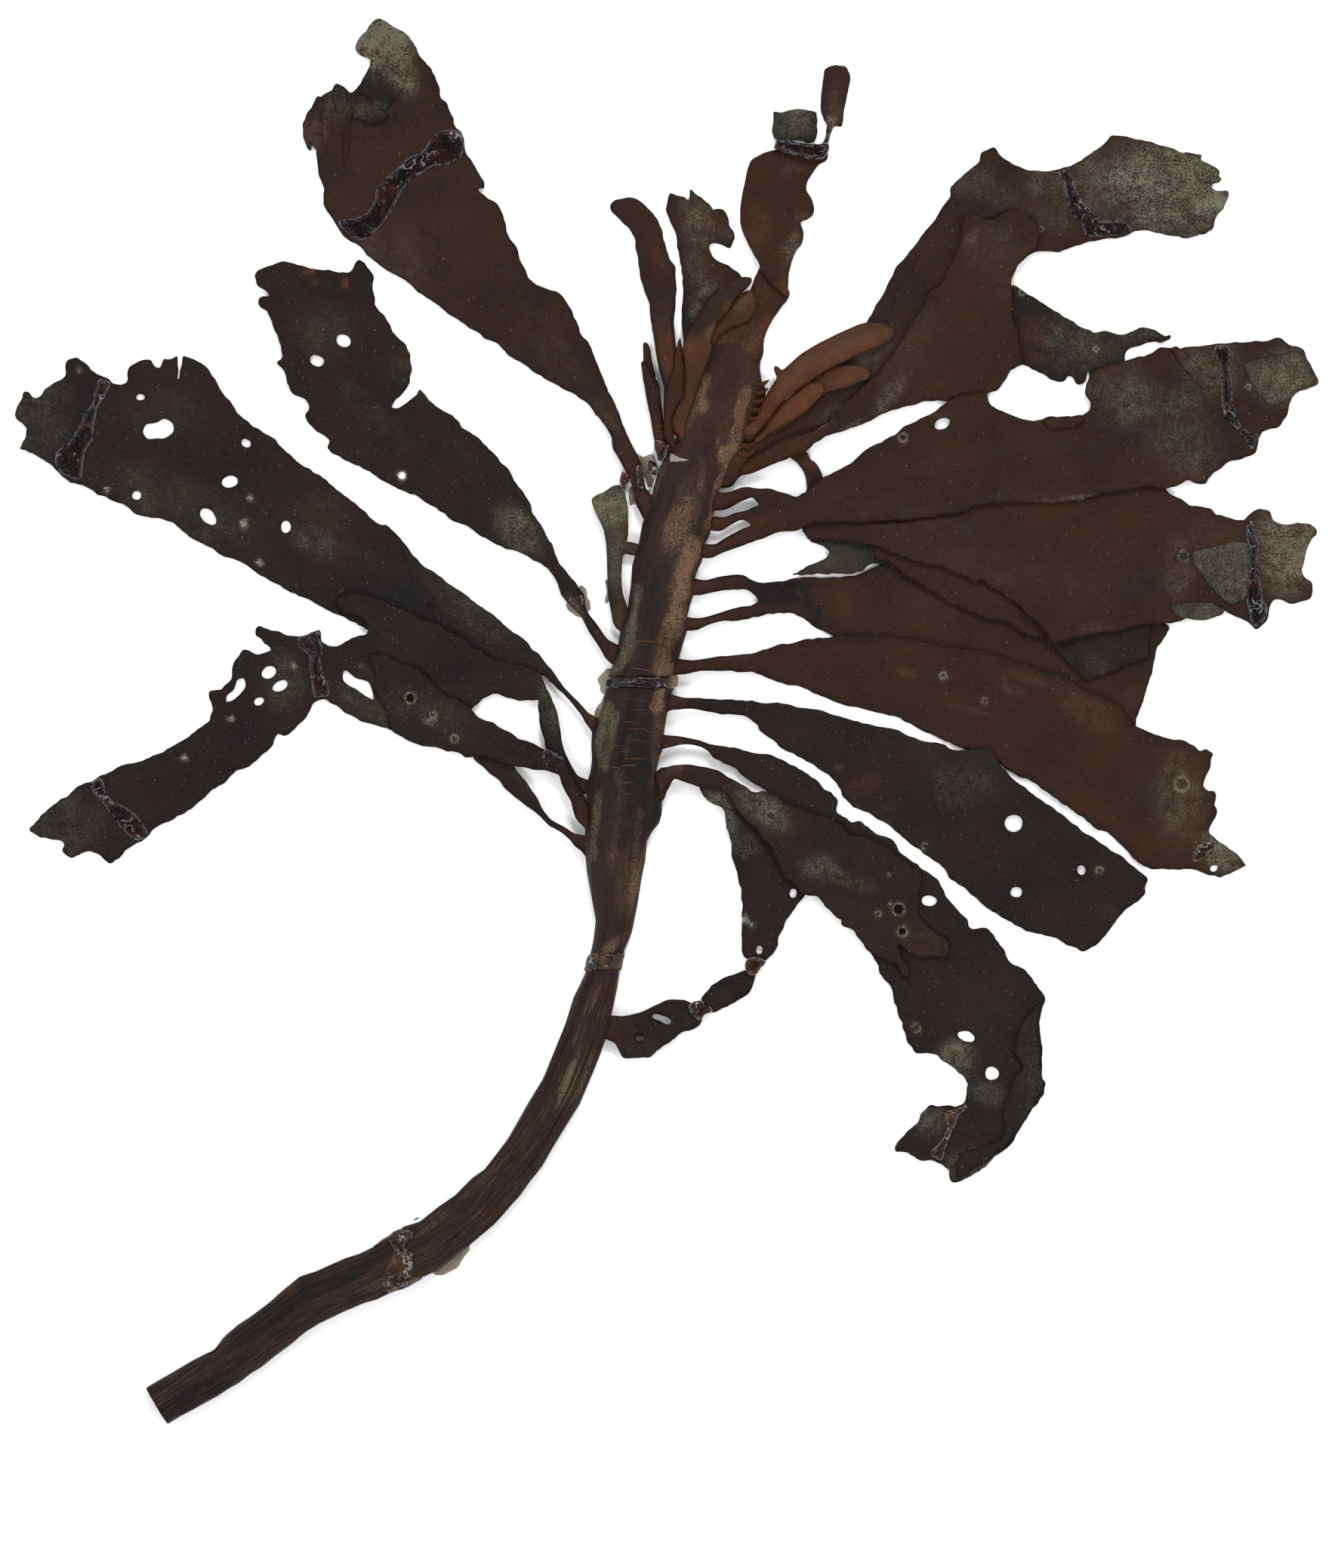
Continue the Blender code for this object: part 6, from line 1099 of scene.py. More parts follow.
def lay_patches(tree, colour, mm, patches=PATCH, uneven=1.8):
    """Lay each kind of stored patch over a colour. Broad noise bends its outline, and grain speckles it."""
    broad = maths(tree, "SUBTRACT", noise(tree, mm, 6.5, 3.0), 0.5)
    middle = maths(tree, "SUBTRACT", noise(tree, mm, 1.9, 3.0, 0.6), 0.5)
    fine = maths(tree, "SUBTRACT", spread(tree, noise(tree, mm, 0.46, 3.0, 0.65), 0.37, 0.63), 0.5)
    for kind, (code, cover, coarse) in patches.items():
        share = stored(tree, kind)
        level = maths(tree, "MULTIPLY_ADD", broad, uneven, 0.92)
        level = maths(tree, "MULTIPLY_ADD", middle, uneven, level)
        level = maths(tree, "MULTIPLY_ADD", fine, coarse * 0.95, level)
        level = maths(tree, "MULTIPLY", maths(tree, "MAXIMUM", level, 0.0),
                      maths(tree, "MULTIPLY", share, cover))
        level = maths(tree, "MINIMUM", maths(tree, "POWER", level, 1.9), 1.0)
        colour = blend_colour(tree, level, colour, seen(code))
    return colour


def dried_kelp(name, deep, body, warm, fleck, dullness, patches=PATCH, uneven=1.8):
    """Dried kelp. deep and body are its two tones, warm is the tone of thin parts."""
    made, tree, shader, mm = empty_material(name)
    slow, mottle = noise(tree, mm, 17.0, 3.0), noise(tree, mm, 2.6, 6.0, 0.62)
    grain, dust = noise(tree, mm, 0.42, 3.0, 0.7), noise(tree, mm, 0.55, 4.0, 0.8)
    streak = noise(tree, grain_places(tree), 1.0, 4.0, 0.6, (0.09, 1.25, 1.0))
    colour = blend_colour(tree, spread(tree, slow, 0.34, 0.66), seen(deep), seen(body))
    share = maths(tree, "MULTIPLY_ADD", maths(tree, "SUBTRACT", slow, 0.5), 0.8, stored(tree, "warm"))
    colour = blend_colour(tree, add(tree, "ShaderNodeClamp", {"Value": share}).outputs[0], colour, seen(warm))
    shade = spread(tree, mottle, 0.28, 0.72, 0.78, 1.22)
    shade = maths(tree, "MULTIPLY", shade, spread(tree, dust, 0.25, 0.75, 0.74, 1.28))
    shade = maths(tree, "MULTIPLY", shade, spread(tree, streak, 0.3, 0.7, 0.92, 1.08))
    # A little darker within 0.4 mm of every edge: partly the margin's own darker rim, partly painted edge
    # shade.
    shade = maths(tree, "MULTIPLY", shade, spread(tree, stored(tree, "rim"), 0.0, 0.4, 0.9, 1.0))
    colour = lay_patches(tree, shaded(tree, colour, shade), mm, patches, uneven)
    cells = add(tree, "ShaderNodeTexVoronoi", {"Vector": mm, "Scale": 1 / 0.8}, feature="F1")
    flecks = maths(tree, "MULTIPLY", spread(tree, cells.outputs["Distance"], 0.22, 0.10),
                   spread(tree, add(tree, "ShaderNodeSeparateColor", {0: cells.outputs["Color"]}).outputs[0],
                          0.55, 0.95))
    colour = blend_colour(tree, maths(tree, "MULTIPLY", flecks, fleck), colour, seen("#858173"))
    shader.inputs["IOR"].default_value = 1.5
    height = maths(tree, "MULTIPLY_ADD", grain, 0.35, maths(tree, "MULTIPLY", mottle, 0.9))
    height = maths(tree, "MULTIPLY_ADD", streak, 0.5, height)
    rubbed = spread(tree, mottle, 0.3, 0.7, dullness - 0.10, dullness + 0.12)
    finish(tree, shader, colour, rubbed, 0.14, height, 0.00022, 0.75)
    return made


YOUNG_PATCH = dict(PATCH, dark=("#33241c", 1.0, 0.2))
KELP = {
    "dark": dried_kelp("dried_kelp_dark", "#221c1a", "#29211e", "#35241d", 0.45, 0.60),
    "brown": dried_kelp("dried_kelp_brown", "#2d1f1b", "#39271f", "#42271b", 0.30, 0.58),
    "olive": dried_kelp("dried_kelp_olive", "#2f2d28", "#403c33", "#43392e", 0.50, 0.66),
    "young": dried_kelp("dried_kelp_young", "#472c1f", "#5f3c27", "#6b4027", 0.20, 0.52, YOUNG_PATCH, 0.5),
}
for node, piece in BLADES.items():
    piece.data.materials.append(KELP[PIECES[node][0]])
print("materials:", [m.name for m in KELP.values()])

# %% [markdown]
# ## Small flaps that the CAD leaves out
# At some tips the tissue has folded over, split into two layers or torn into scraps. Each flap is a thin
# sheet that rests on its blade, a twentieth of a millimetre above it, and follows its waves and wrinkles.

# %% Flaps
FLAPS = {  # piece: the blade it lies on, look, warmth, outline
    "folded_lobe": ("right_blade_one", "brown", 0.5, [
        (108.6, 80.4), (111.2, 77.2), (112.6, 75.2), (114.2, 73.6), (115.4, 71.8), (117.2, 71.2),
        (118.8, 72.2), (118.4, 74), (116.2, 74.6), (114.6, 77.2), (112.6, 79), (110.4, 80.8)]),
    "pale_tip_layer": ("right_blade_one", "olive", 0.25, [
        (125, 76.9), (128.8, 78.2), (133.2, 78.8), (137.2, 79.6), (140.6, 73.6), (138.5, 71.9),
        (136.2, 71), (133.8, 68.7), (130.3, 68), (128.2, 70.6), (126.6, 73.4)]),
    "turned_over_edge": ("right_blade_one", "brown", 0.75, [
        (81.4, 64.8), (82.6, 63), (85.4, 62.7), (88.4, 63.1), (90.6, 64.9), (90.2, 65.8), (86, 65.6),
        (83, 65.2)]),
    "lower_tip_layer": ("right_blade_two", "olive", 0.2, [
        (113.9, 36.4), (116.8, 36.9), (119.4, 37.6), (122.1, 38.4), (125.6, 38.6), (126.6, 35), (126, 30),
        (125.4, 26.4), (122.4, 24.6), (119.8, 27), (116, 31), (114.2, 34)]),
    "lower_tip_strip": ("right_blade_two", "olive", 0.35, [
        (109.2, 24.6), (113, 25.2), (117, 25.4), (121, 24), (120.4, 22.6), (115.6, 21.4), (110.2, 22.2)]),
    "torn_blade_stalk": ("slender_top_blade", "brown", 0.55, [
        (3.2, 83.2), (3.7, 80.6), (4.1, 78.6), (4.3, 76), (4.2, 73.4), (4, 71), (3.6, 69.2), (2.8, 68),
        (1.9, 66.6), (1.5, 65), (1.4, 63), (1.3, 61), (1.4, 59), (0.8, 58.4), (-0.3, 59.2), (-0.6, 61.6),
        (-0.6, 64.4), (-0.4, 67), (-0.3, 69.6), (0.2, 71.6), (0.8, 73.6), (1.4, 75.8), (1.7, 78.6),
        (2.3, 81.6)]),
    "upper_left_scrap": ("upper_left_blade", "dark", 0.05, [
        (-63.4, 142.9), (-60.7, 141.2), (-57.9, 139.5), (-56.9, 137.8), (-57.5, 135.3), (-59.6, 133),
        (-61, 131.4), (-63, 133.6), (-64.7, 134.9), (-66.8, 135.7), (-66, 137.8), (-64.3, 141.2)]),
    "upper_left_scrap_two": ("upper_left_blade", "dark", 0.05, [
        (-71.6, 137.6), (-70.2, 137.3), (-68.9, 136.4), (-68.7, 134.9), (-69.1, 133.2), (-70.2, 130.9),
        (-71.9, 132.4), (-72.2, 134.9)]),
    "upper_left_scrap_three": ("upper_left_blade", "dark", 0.05, [
        (-65.6, 134.6), (-63.6, 134), (-61.4, 132), (-59.6, 130.4), (-62.4, 128.9), (-64.3, 128.8),
        (-66.8, 130), (-68.4, 129.2), (-67.4, 132)]),
    "upper_left_twig": ("upper_left_blade", "brown", 0.1, [
        (-68, 135.8), (-67, 135.6), (-67.4, 132.6), (-68.4, 129.4), (-68.6, 126.2), (-69, 123),
        (-69.4, 119.4), (-70, 119.6), (-69.8, 123.2), (-69.6, 126.4), (-69.2, 129.6), (-68.4, 132.8)]),
    "upper_right_scrap": ("upper_right_long_blade", "olive", 0.4, [
        (108.8, 108.7), (111, 109), (113.2, 108.3), (114.6, 106.6), (115.7, 104.9), (113.6, 104.2),
        (111.4, 104), (110.2, 106.2)]),
    "tiny_crown_tip": ("terminal_blade", "young", 0.2, [
        (8, 79), (9.2, 79.2), (10.2, 80.2), (10.5, 81), (9.8, 81.3), (8.8, 80.8)]),
    "upper_left_fold": ("upper_left_blade", "dark", 0.35, [
        (-75.6, 122.6), (-74.4, 124.5), (-74.6, 130), (-74, 134.6), (-75.6, 135), (-77.4, 131),
        (-77.4, 126)]),
}

for name, (parent, look, warm, outline) in FLAPS.items():
    loop = ragged(outline, 0.18, 300 + len(name))
    co, tris, rim = sheet_points(loop)
    z = underside(co, parent) + relief(co, np.full(len(co), RIM_REACH), seed_of(parent), parent) + THIN + 0.10
    z += 0.10 * np.maximum(0, rough(co, 4.0, 311))
    z += 0.2 * np.exp(-(rim / 0.8) ** 2) * np.maximum(0, rough(co, 5, 317))
    values = {k: tone(co, TONES.get(parent, []), k) for k in KINDS}
    if look == "olive":
        values["olive"] = np.maximum(values["olive"], 0.5)
    values.update(rim=np.minimum(rim, RIM_REACH), warm=np.full(len(co), warm))
    if parent == "slender_top_blade":
        values["rust"] = np.full(len(co), 0.3)
        z += 0.3
        co = attached(co, -signed_distance(co, STEM_PLAN))
    flap = closed_piece(name, co, tris, z, z + 0.26, values, grain_direction(loop)(co))
    flap.data.materials.append(KELP[look])
    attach(flap, "root")
print("flaps:", len(FLAPS))

# %% [markdown]
# ## The stem
# The stem is a rule: an oval section, flat underneath, that follows the middle line and reaches to both
# edges. Fine rings are joined into one skin. Drying has drawn long grooves into it, so each point is pushed
# in or out by noise that is ten times longer along the stem than around it.

# %% Sections of the stem
RING_STEP, AROUND = 0.9, 104
SQUARENESS = 0.85  # 1 is an oval section, and less than 1 a fuller one
STEM_LINE.append((17.6, 86.4, 1.6))
stem_at, stem_mid, stem_side, stem_left, stem_right = stem_sections(RING_STEP)
stem_mid[:, 2] -= smooth((stem_at - stem_at[-1] + 9) / 9) * (stem_mid[:, 2] - 1.25)
stem_right += 1.35 * smooth((stem_mid[:, 1] - 58) / 4) * (1 - smooth((stem_mid[:, 1] - 74) / 5))
stem_left += 0.9 * smooth((stem_mid[:, 1] - 70) / 4) * (1 - smooth((stem_mid[:, 1] - 83) / 4))
stem_left += 1.0 * np.exp(-((stem_mid[:, 1] - 52) / 3.6) ** 2)


def stem_skin(k, angle, lift=0.0):
    """A point on the stem's skin: section k, and the angle round it from its left side."""
    k, angle = np.broadcast_arrays(np.asarray(k), np.asarray(angle, dtype=float))
    tall = stem_mid[k, 2] / 0.9
    c, s = np.cos(angle), np.sin(angle)
    c = np.copysign(np.abs(c) ** SQUARENESS, c)
    half = np.where(c > 0, stem_left[k], stem_right[k]) + lift
    xy = stem_mid[k, :2] + stem_side[k] * (c * half)[..., None]
    return np.concatenate([xy, np.maximum(0, 0.4 * tall + (0.5 * tall + lift) * s)[..., None]], -1)


def groove(run, girth):
    """How far the dried skin stands out, in millimetres: run along the stem, girth around it."""
    fine = rough(np.stack([run / 11, girth], 1), 0.62, 71)
    broad = rough(np.stack([run / 16, girth], 1), 1.9, 72)
    cut = rough(np.stack([run / 26, girth], 1), 2.6, 73)
    deep = -0.34 * np.maximum(0, 1 - abs(cut) / 0.16)
    swell = 0.16 * rough(np.stack([run, girth], 1), 13.0, 74)
    worn = 0.22 + 0.78 * (1 - smooth((run - 110) / 50))
    worn = worn * (1 - 0.8 * smooth((run - 236) / 20))
    return worn * (0.11 * fine + 0.15 * broad + deep) + swell


print("sections along the stem:", len(stem_at))

# %% Patches, streaks and cracks of the stem
STEM_TONES = [
    ("tan", 3, 42, 8, 3.6, 68, 0.7), ("tan", 3.6, 33, 5, 2.4, 75, 0.66),
    ("tan", 4.4, 50, 6, 1.6, 66, 0.42), ("olive", -17, -33, 9, 1.2, 92, 0.5),
    ("tan", -10.4, -25, 4, 1.2, 88, 0.45), ("tan", -9.2, -35, 9, 2.2, 88, 0.42),
    ("tan", -6.4, -35.4, 8, 0.8, 78, 0.75), ("tan", -13.4, -50.6, 6.4, 1.4, 43, 0.8),
    ("tan", -10.5, -30, 4, 2.4, 88, 0.5), ("dark", -12.4, -52.6, 4.4, 1.1, 42, 1.1),
    ("dark", -17, -57.5, 4, 1, 60, 0.8), ("tan", -16, -61, 4, 1, 62, 0.6),
    ("pale", -19, -68, 3, 1.3, 62, 0.3), ("olive", -14, -63, 3, 1.2, 70, 0.45),
    ("olive", -19.7, -77.5, 7.4, 2.4, 66, 1.35), ("olive", -30.4, -88.5, 4, 1.6, 58, 0.45),
    ("olive", -26.3, -83.7, 4, 1.6, 62, 0.4), ("rust", -27, -99.6, 7, 1.4, 48, 0.4),
    ("rust", -81, -123.2, 2.6, 0.9, 32, 0.95), ("tan", -68, -117, 13, 1.5, 24, 0.42),
    ("tan", -50.6, -108.6, 4.4, 1.4, 38, 0.5), ("olive", -60, -121.4, 6, 1.3, 22, 0.4),
    ("rust", -52, -119, 3, 0.8, 28, 0.7), ("rust", -38, -107, 6, 1.2, 42, 0.35),
    ("tan", -40, -100, 9, 1.2, 44, 0.35), ("dark", -6, 2, 12, 3.2, 80, 0.6),
    ("dark", -3, 26, 10, 2.4, 75, 0.55), ("dark", 7.5, 58, 9, 3, 68, 0.7),
    ("dark", 12.6, 72, 8, 2.6, 65, 0.6), ("dark", -100, -146, 10, 5, 32, 0.9),
    ("pale", 11.2, 60.2, 1.1, 0.4, 80, 0.6),
]
# worn and mouldy streaks: kind, strength, half width, and the line they follow
STREAKS = [
    ("tan", 0.8, 1.5, [(8.4, 74), (7.4, 70.6), (7.8, 67.6)]),
    ("olive", 0.62, 1.5, [(6, 69.4), (5.2, 66.2), (3.6, 63)]),
    ("tan", 0.95, 1.2, [(17.2, 70.6), (16.2, 67), (15.6, 63.4)]),
    ("rust", 0.7, 0.9, [(17.2, 70.6), (16.2, 67), (15.6, 63.4)]),
    ("tan", 0.85, 1.3, [(15.2, 62.4), (13.9, 58), (13, 54.2), (11.6, 50), (10.9, 46), (9.4, 42)]),
    ("tan", 0.9, 0.9, [(12.4, 58.4), (11.9, 55.6)]),
    ("olive", 0.55, 0.9, [(17.4, 63.8), (15.9, 60.6), (14.6, 57.6)]),
    ("tan", 0.5, 1.2, [(7.6, 56), (7.4, 50)]), ("olive", 0.5, 0.9, [(-0.8, 55.4), (-2, 50.6), (-3.4, 47)]),
    ("tan", 1.02, 2, [(5.6, 38), (3.8, 30), (2.3, 24), (1, 19.6), (0, 15), (-0.5, 11)]),
    ("tan", 1.02, 1.3, [(-0.6, 11), (-1.2, 6), (-2, 2.8)]),
    ("tan", 0.5, 0.8, [(-1.8, 1), (-1.2, -3), (-2, -8), (-3.4, -14)]),
    ("rust", 0.52, 0.9, [(9, 43), (6.2, 33), (4.4, 24), (3.4, 17), (2, 10), (0.9, 4), (-0.6, -1),
        (-2.6, -12)]),
    ("olive", 0.72, 1.3, [(-6.1, 28), (-7, 22), (-7.8, 17), (-9, 13), (-11, 10.6)]),
    ("olive", 0.78, 1.3, [(-12.4, 2.6), (-13.8, -1.6), (-14.6, -5), (-13.6, -10)]),
    ("olive", 0.7, 0.8, [(-10.8, 1.4), (-11.8, -4.6), (-13, -9)]),
    ("olive", 0.75, 0.5, [(-8, -3.4), (-8.3, -6), (-8.8, -8.6)]),
    ("olive", 0.5, 1, [(-1.9, -2), (-2.8, -6), (-2.4, -10)]),
    ("olive", 0.55, 1.2, [(-10, -11.6), (-9.8, -16), (-9.4, -22)]),
    ("olive", 0.6, 0.9, [(-14.4, -16), (-15.6, -24), (-16, -30)]),
    ("tan", 0.6, 0.9, [(-5.4, -20), (-6.6, -30), (-7.4, -38)]),
]
# fine cracks across the skin, where its paler inside shows
CRACKS = [
    [(-8.4, 11.4), (-5, 10.8), (-1.6, 10.2)], [(-9, 4.4), (-6.5, 4.3), (-3, 3.6)],
    [(-8, 2), (-5, 2), (-3.4, 2.2)], [(-9.6, -0.6), (-7.5, -0.6), (-5.6, -0.9)],
    [(-8.6, -2.4), (-6, -2), (-4.4, -2.1), (-3.9, -2.9), (-2.9, -2.8)],
    [(-8.2, -4.4), (-6, -4.5), (-4.2, -4.8)], [(-8.8, -8.6), (-6.5, -8.5), (-4, -8.6)],
    [(-9.6, -10), (-6.3, -9.8)], [(-12.2, -10.2), (-10, -10.4)], [(-9.4, -13.8), (-7, -13.4)],
    [(-9.5, -16.2), (-7.2, -16.2)], [(-14, -5.6), (-11.4, -5.7), (-9, -5.6)],
    [(-6.8, 17), (-4, 16.8), (-1.6, 16.6)], [(-9.9, -7), (-8, -6.9)],
]
print("patches:", len(STEM_TONES), "streaks:", len(STREAKS), "cracks:", len(CRACKS))

# %% The skin and its grooves
angles = np.linspace(0, 2 * math.pi, AROUND, endpoint=False)
kk, aa = np.meshgrid(np.arange(len(stem_at)), angles, indexing="ij")
skin = stem_skin(kk, aa)
hop = np.sqrt(((np.roll(skin, -1, axis=1) - skin) ** 2).sum(-1))
girth = np.concatenate([np.zeros((len(stem_at), 1)), np.cumsum(hop, axis=1)[:, :-1]], 1)
girth -= girth[:, AROUND // 4, None]
run = np.broadcast_to(stem_at[:, None], girth.shape)
stand = groove(run.ravel(), girth.ravel()).reshape(girth.shape)
blend_seam = np.minimum(aa, 2 * math.pi - aa) / 0.3
stand = stand * smooth(blend_seam + 0.15)
skin = stem_skin(kk, aa, stand)
cut = rough(np.stack([girth.ravel(), girth.ravel()], 1), 1.2, 75).reshape(girth.shape)
cut = np.exp(-stem_at / 0.8)[:, None] * 0.35 * cut
skin[..., 2] = np.where(skin[..., 2] > 0.3, skin[..., 2] + cut * (np.sin(aa) > 0), skin[..., 2])


def girth_at(k, angle):
    """How far round the skin a point is, in millimetres: section k, at this angle."""
    return np.array([np.interp(t, angles, girth[j]) for j, t in zip(k, angle)])


print("depth of the deepest groove in mm:", round(-stand.min(), 2))

# %% The stem's skin as one closed piece


def tube(name, rings):
    """A closed skin through rings of equal size, each an array of places in millimetres."""
    rows, n = rings.shape[:2]
    i = np.arange(n)
    faces = []
    for k in range(rows - 1):
        a, b = k * n + i, (k + 1) * n + i
        faces += np.stack([a, np.roll(a, -1), np.roll(b, -1), b], 1).tolist()
    faces += [list(range(n))[::-1], list(range((rows - 1) * n, rows * n))]
    mesh = bpy.data.meshes.new(name)
    mesh.from_pydata((rings.reshape(-1, 3) * 0.001).tolist(), [], faces)
    mesh.polygons.foreach_set("use_smooth", np.ones(len(faces), dtype=bool))
    return new_object(name, mesh)


def shrunk(ring, keep, back):
    """A ring drawn in towards its middle, and moved back along the stem's end."""
    mid = ring.mean(0)
    out = mid + (ring - mid) * keep
    out[:, 2] = np.maximum(out[:, 2], 0.0)
    out[:, :2] += back
    return out


end_way = stem_mid[1, :2] - stem_mid[0, :2]
end_way /= np.hypot(*end_way)
uneven = 0.35 * rough(np.stack([girth[0], girth[0]], 1), 1.6, 76)[:, None]
front = [shrunk(skin[0], keep, end_way * (depth + uneven * wave))
         for keep, depth, wave in ((0.25, 0.5, 1.2), (0.6, 0.45, 1.6), (0.9, 0.1, 1.0))]
tip = [shrunk(skin[-1], 0.8, 0), shrunk(skin[-1], 0.4, 0)]
rings = np.concatenate([np.array(front), skin, np.array(tip)])
places = rings[..., :2].reshape(-1, 2).copy()
rings[..., :2] += STEP_TO_MODEL
stem = tube("stem_piece", rings)
full_run = np.concatenate([[-0.8, -0.5, -0.2], stem_at, stem_at[-1] + np.array([0.3, 0.6])])
uv_run = np.repeat(full_run, AROUND)
full_girth = np.concatenate([np.repeat(girth[:1], 3, 0), girth, np.repeat(girth[-1:], 2, 0)])
deep = np.concatenate([np.zeros((3, AROUND)), stand, np.zeros((2, AROUND))]).ravel()
values = {k: tone(places, STEM_TONES, k) for k in KINDS}
for kind, strength, half, line in STREAKS:
    wide = half * (1 + 0.45 * rough(places, 2.2, 91))
    values[kind] = np.maximum(values[kind], strength * smooth(1.5 - from_line(places, line) / wide))
values["deep"] = smooth(0.5 - deep * 1.6)
values["fibrous"] = 1 - smooth((uv_run - 90) / 60)
values["warm"] = 0.25 * smooth((uv_run - 90) / 60) * (1 - smooth((uv_run - 150) / 40))
values["warm"] += smooth((uv_run - 238) / 26)
for key, value in values.items():
    store(stem.data, key, value)
grain_map(stem.data, np.stack([uv_run, full_girth.ravel()], 1))
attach(stem, "root")
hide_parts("stem")
print("stem rings:", len(rings), "triangles:", 2 * len(rings) * AROUND)

# %% [markdown]
# ## The stem's finish
# A dried kelp stem is hard and horn-like, close to bark: dark brown, darker down in its grooves, and
# worn tan or pink where the skin has rubbed off. Streaks follow the skin's own map, which runs along the
# stem.

# %% The stem material
BARK, tree, shader, mm = empty_material("dried_kelp_stem")
along_mm = grain_places(tree)
fibre = noise(tree, along_mm, 0.55, 5.0, 0.65, (0.07, 1.0, 1.0))
band = noise(tree, along_mm, 2.4, 4.0, 0.6, (0.06, 1.0, 1.0))
mottle, dust = noise(tree, mm, 2.2, 6.0, 0.65), noise(tree, mm, 0.55, 4.0, 0.8)
colour = blend_colour(tree, spread(tree, band, 0.3, 0.7), seen("#2b2220"), seen("#3a2e29"))
strands = maths(tree, "MULTIPLY", spread(tree, fibre, 0.50, 0.66), stored(tree, "fibrous"))
colour = blend_colour(tree, maths(tree, "MULTIPLY", strands, 0.42), colour, seen("#5f4a3a"))
colour = blend_colour(tree, add(tree, "ShaderNodeClamp", {"Value": stored(tree, "warm")}).outputs[0], colour,
                      seen("#46312a"))
shade = maths(tree, "MULTIPLY", spread(tree, dust, 0.3, 0.7, 0.52, 1.58),
              spread(tree, fibre, 0.28, 0.72, 0.84, 1.16))
furrow = maths(tree, "SUBTRACT", spread(tree, fibre, 0.36, 0.56, 0.45, 1.15), 1.0)
shade = maths(tree, "MULTIPLY", shade, maths(tree, "MULTIPLY_ADD", furrow, stored(tree, "fibrous"), 1.0))
shade = maths(tree, "MULTIPLY", shade, spread(tree, mottle, 0.3, 0.7, 0.84, 1.16))
STEM_PATCH = {"olive": ("#75705a", 1.0, 0.8), "tan": ("#8a6c56", 1.0, 0.9), "rust": ("#7a4a2f", 1.0, 0.6),
              "dark": ("#211a1c", 0.95, 0.4), "pale": ("#938e84", 1.0, 0.8)}
colour = lay_patches(tree, shaded(tree, colour, shade), mm, STEM_PATCH, 1.1)
# Darker where the skin sinks into its grooves.
groove_darkening = maths(tree, "MULTIPLY", spread(tree, stored(tree, "deep"), 0.62, 0.98), 0.7)
colour = blend_colour(tree, groove_darkening, colour, seen("#17110f"))
height = maths(tree, "MULTIPLY_ADD", fibre, 1.3, maths(tree, "MULTIPLY", dust, 0.5))
finish(tree, shader, colour, spread(tree, mottle, 0.3, 0.7, 0.52, 0.74), 0.14, height, 0.00025, 0.8)
stem.data.materials.append(BARK)
print("stem material:", BARK.name)

# %% [markdown]
# ## Fibres by Geometry Nodes
# Long fibres stand up along the stem. What follows a path is work for Geometry Nodes: the path comes in as
# a chain of edges, the tree turns it into a curve, gives it a radius that tapers to both ends, and sweeps a
# small circle along it. The sizes are named inputs of the tree.

# %% A tree that sweeps fibres


def new_tree(name, inputs):
    """A Geometry Nodes tree with named inputs, its input node, and its output node."""
    tree = bpy.data.node_groups.new(name, "GeometryNodeTree")
    tree.interface.new_socket("Geometry", in_out="INPUT", socket_type="NodeSocketGeometry")
    for label, kind in inputs:
        tree.interface.new_socket(label, in_out="INPUT", socket_type=kind)
    tree.interface.new_socket("Geometry", in_out="OUTPUT", socket_type="NodeSocketGeometry")
    return tree, tree.nodes.new("NodeGroupInput"), tree.nodes.new("NodeGroupOutput")


def close_tree(tree, geometry, material, out):
    """Every tree ends in real faces with their material."""
    real = add(tree, "GeometryNodeRealizeInstances", {"Geometry": geometry})
    coat = add(tree, "GeometryNodeSetMaterial", {"Geometry": real.outputs[0], "Material": material})
    tree.links.new(coat.outputs[0], out.inputs["Geometry"])


def grown(name, seed_mesh, tree, sizes):
    """Run a tree on a mesh and keep the result as a plain mesh at the origin."""
    source = new_object(name + "_source", seed_mesh)
    modifier = source.modifiers.new("grow", "NODES")
    modifier.node_group = tree
    for item in tree.interface.items_tree:
        if item.in_out == "INPUT" and item.name in sizes:
            modifier[item.identifier] = sizes[item.name]
    view = source.evaluated_get(bpy.context.evaluated_depsgraph_get())
    mesh = bpy.data.meshes.new_from_object(view)
    mesh.name = name
    bpy.data.objects.remove(source, do_unlink=True)
    return new_object(name, mesh)


def path_mesh(name, paths):
    """Chains of edges through lists of places in read millimetres."""
    verts, edges = [], []
    for path in paths:
        start = len(verts)
        path = np.array(path)
        path[:, :2] += STEP_TO_MODEL
        verts += (path * 0.001).tolist()
        edges += [(start + i, start + i + 1) for i in range(len(path) - 1)]
    mesh = bpy.data.meshes.new(name)
    mesh.from_pydata(verts, edges, [])
    return mesh


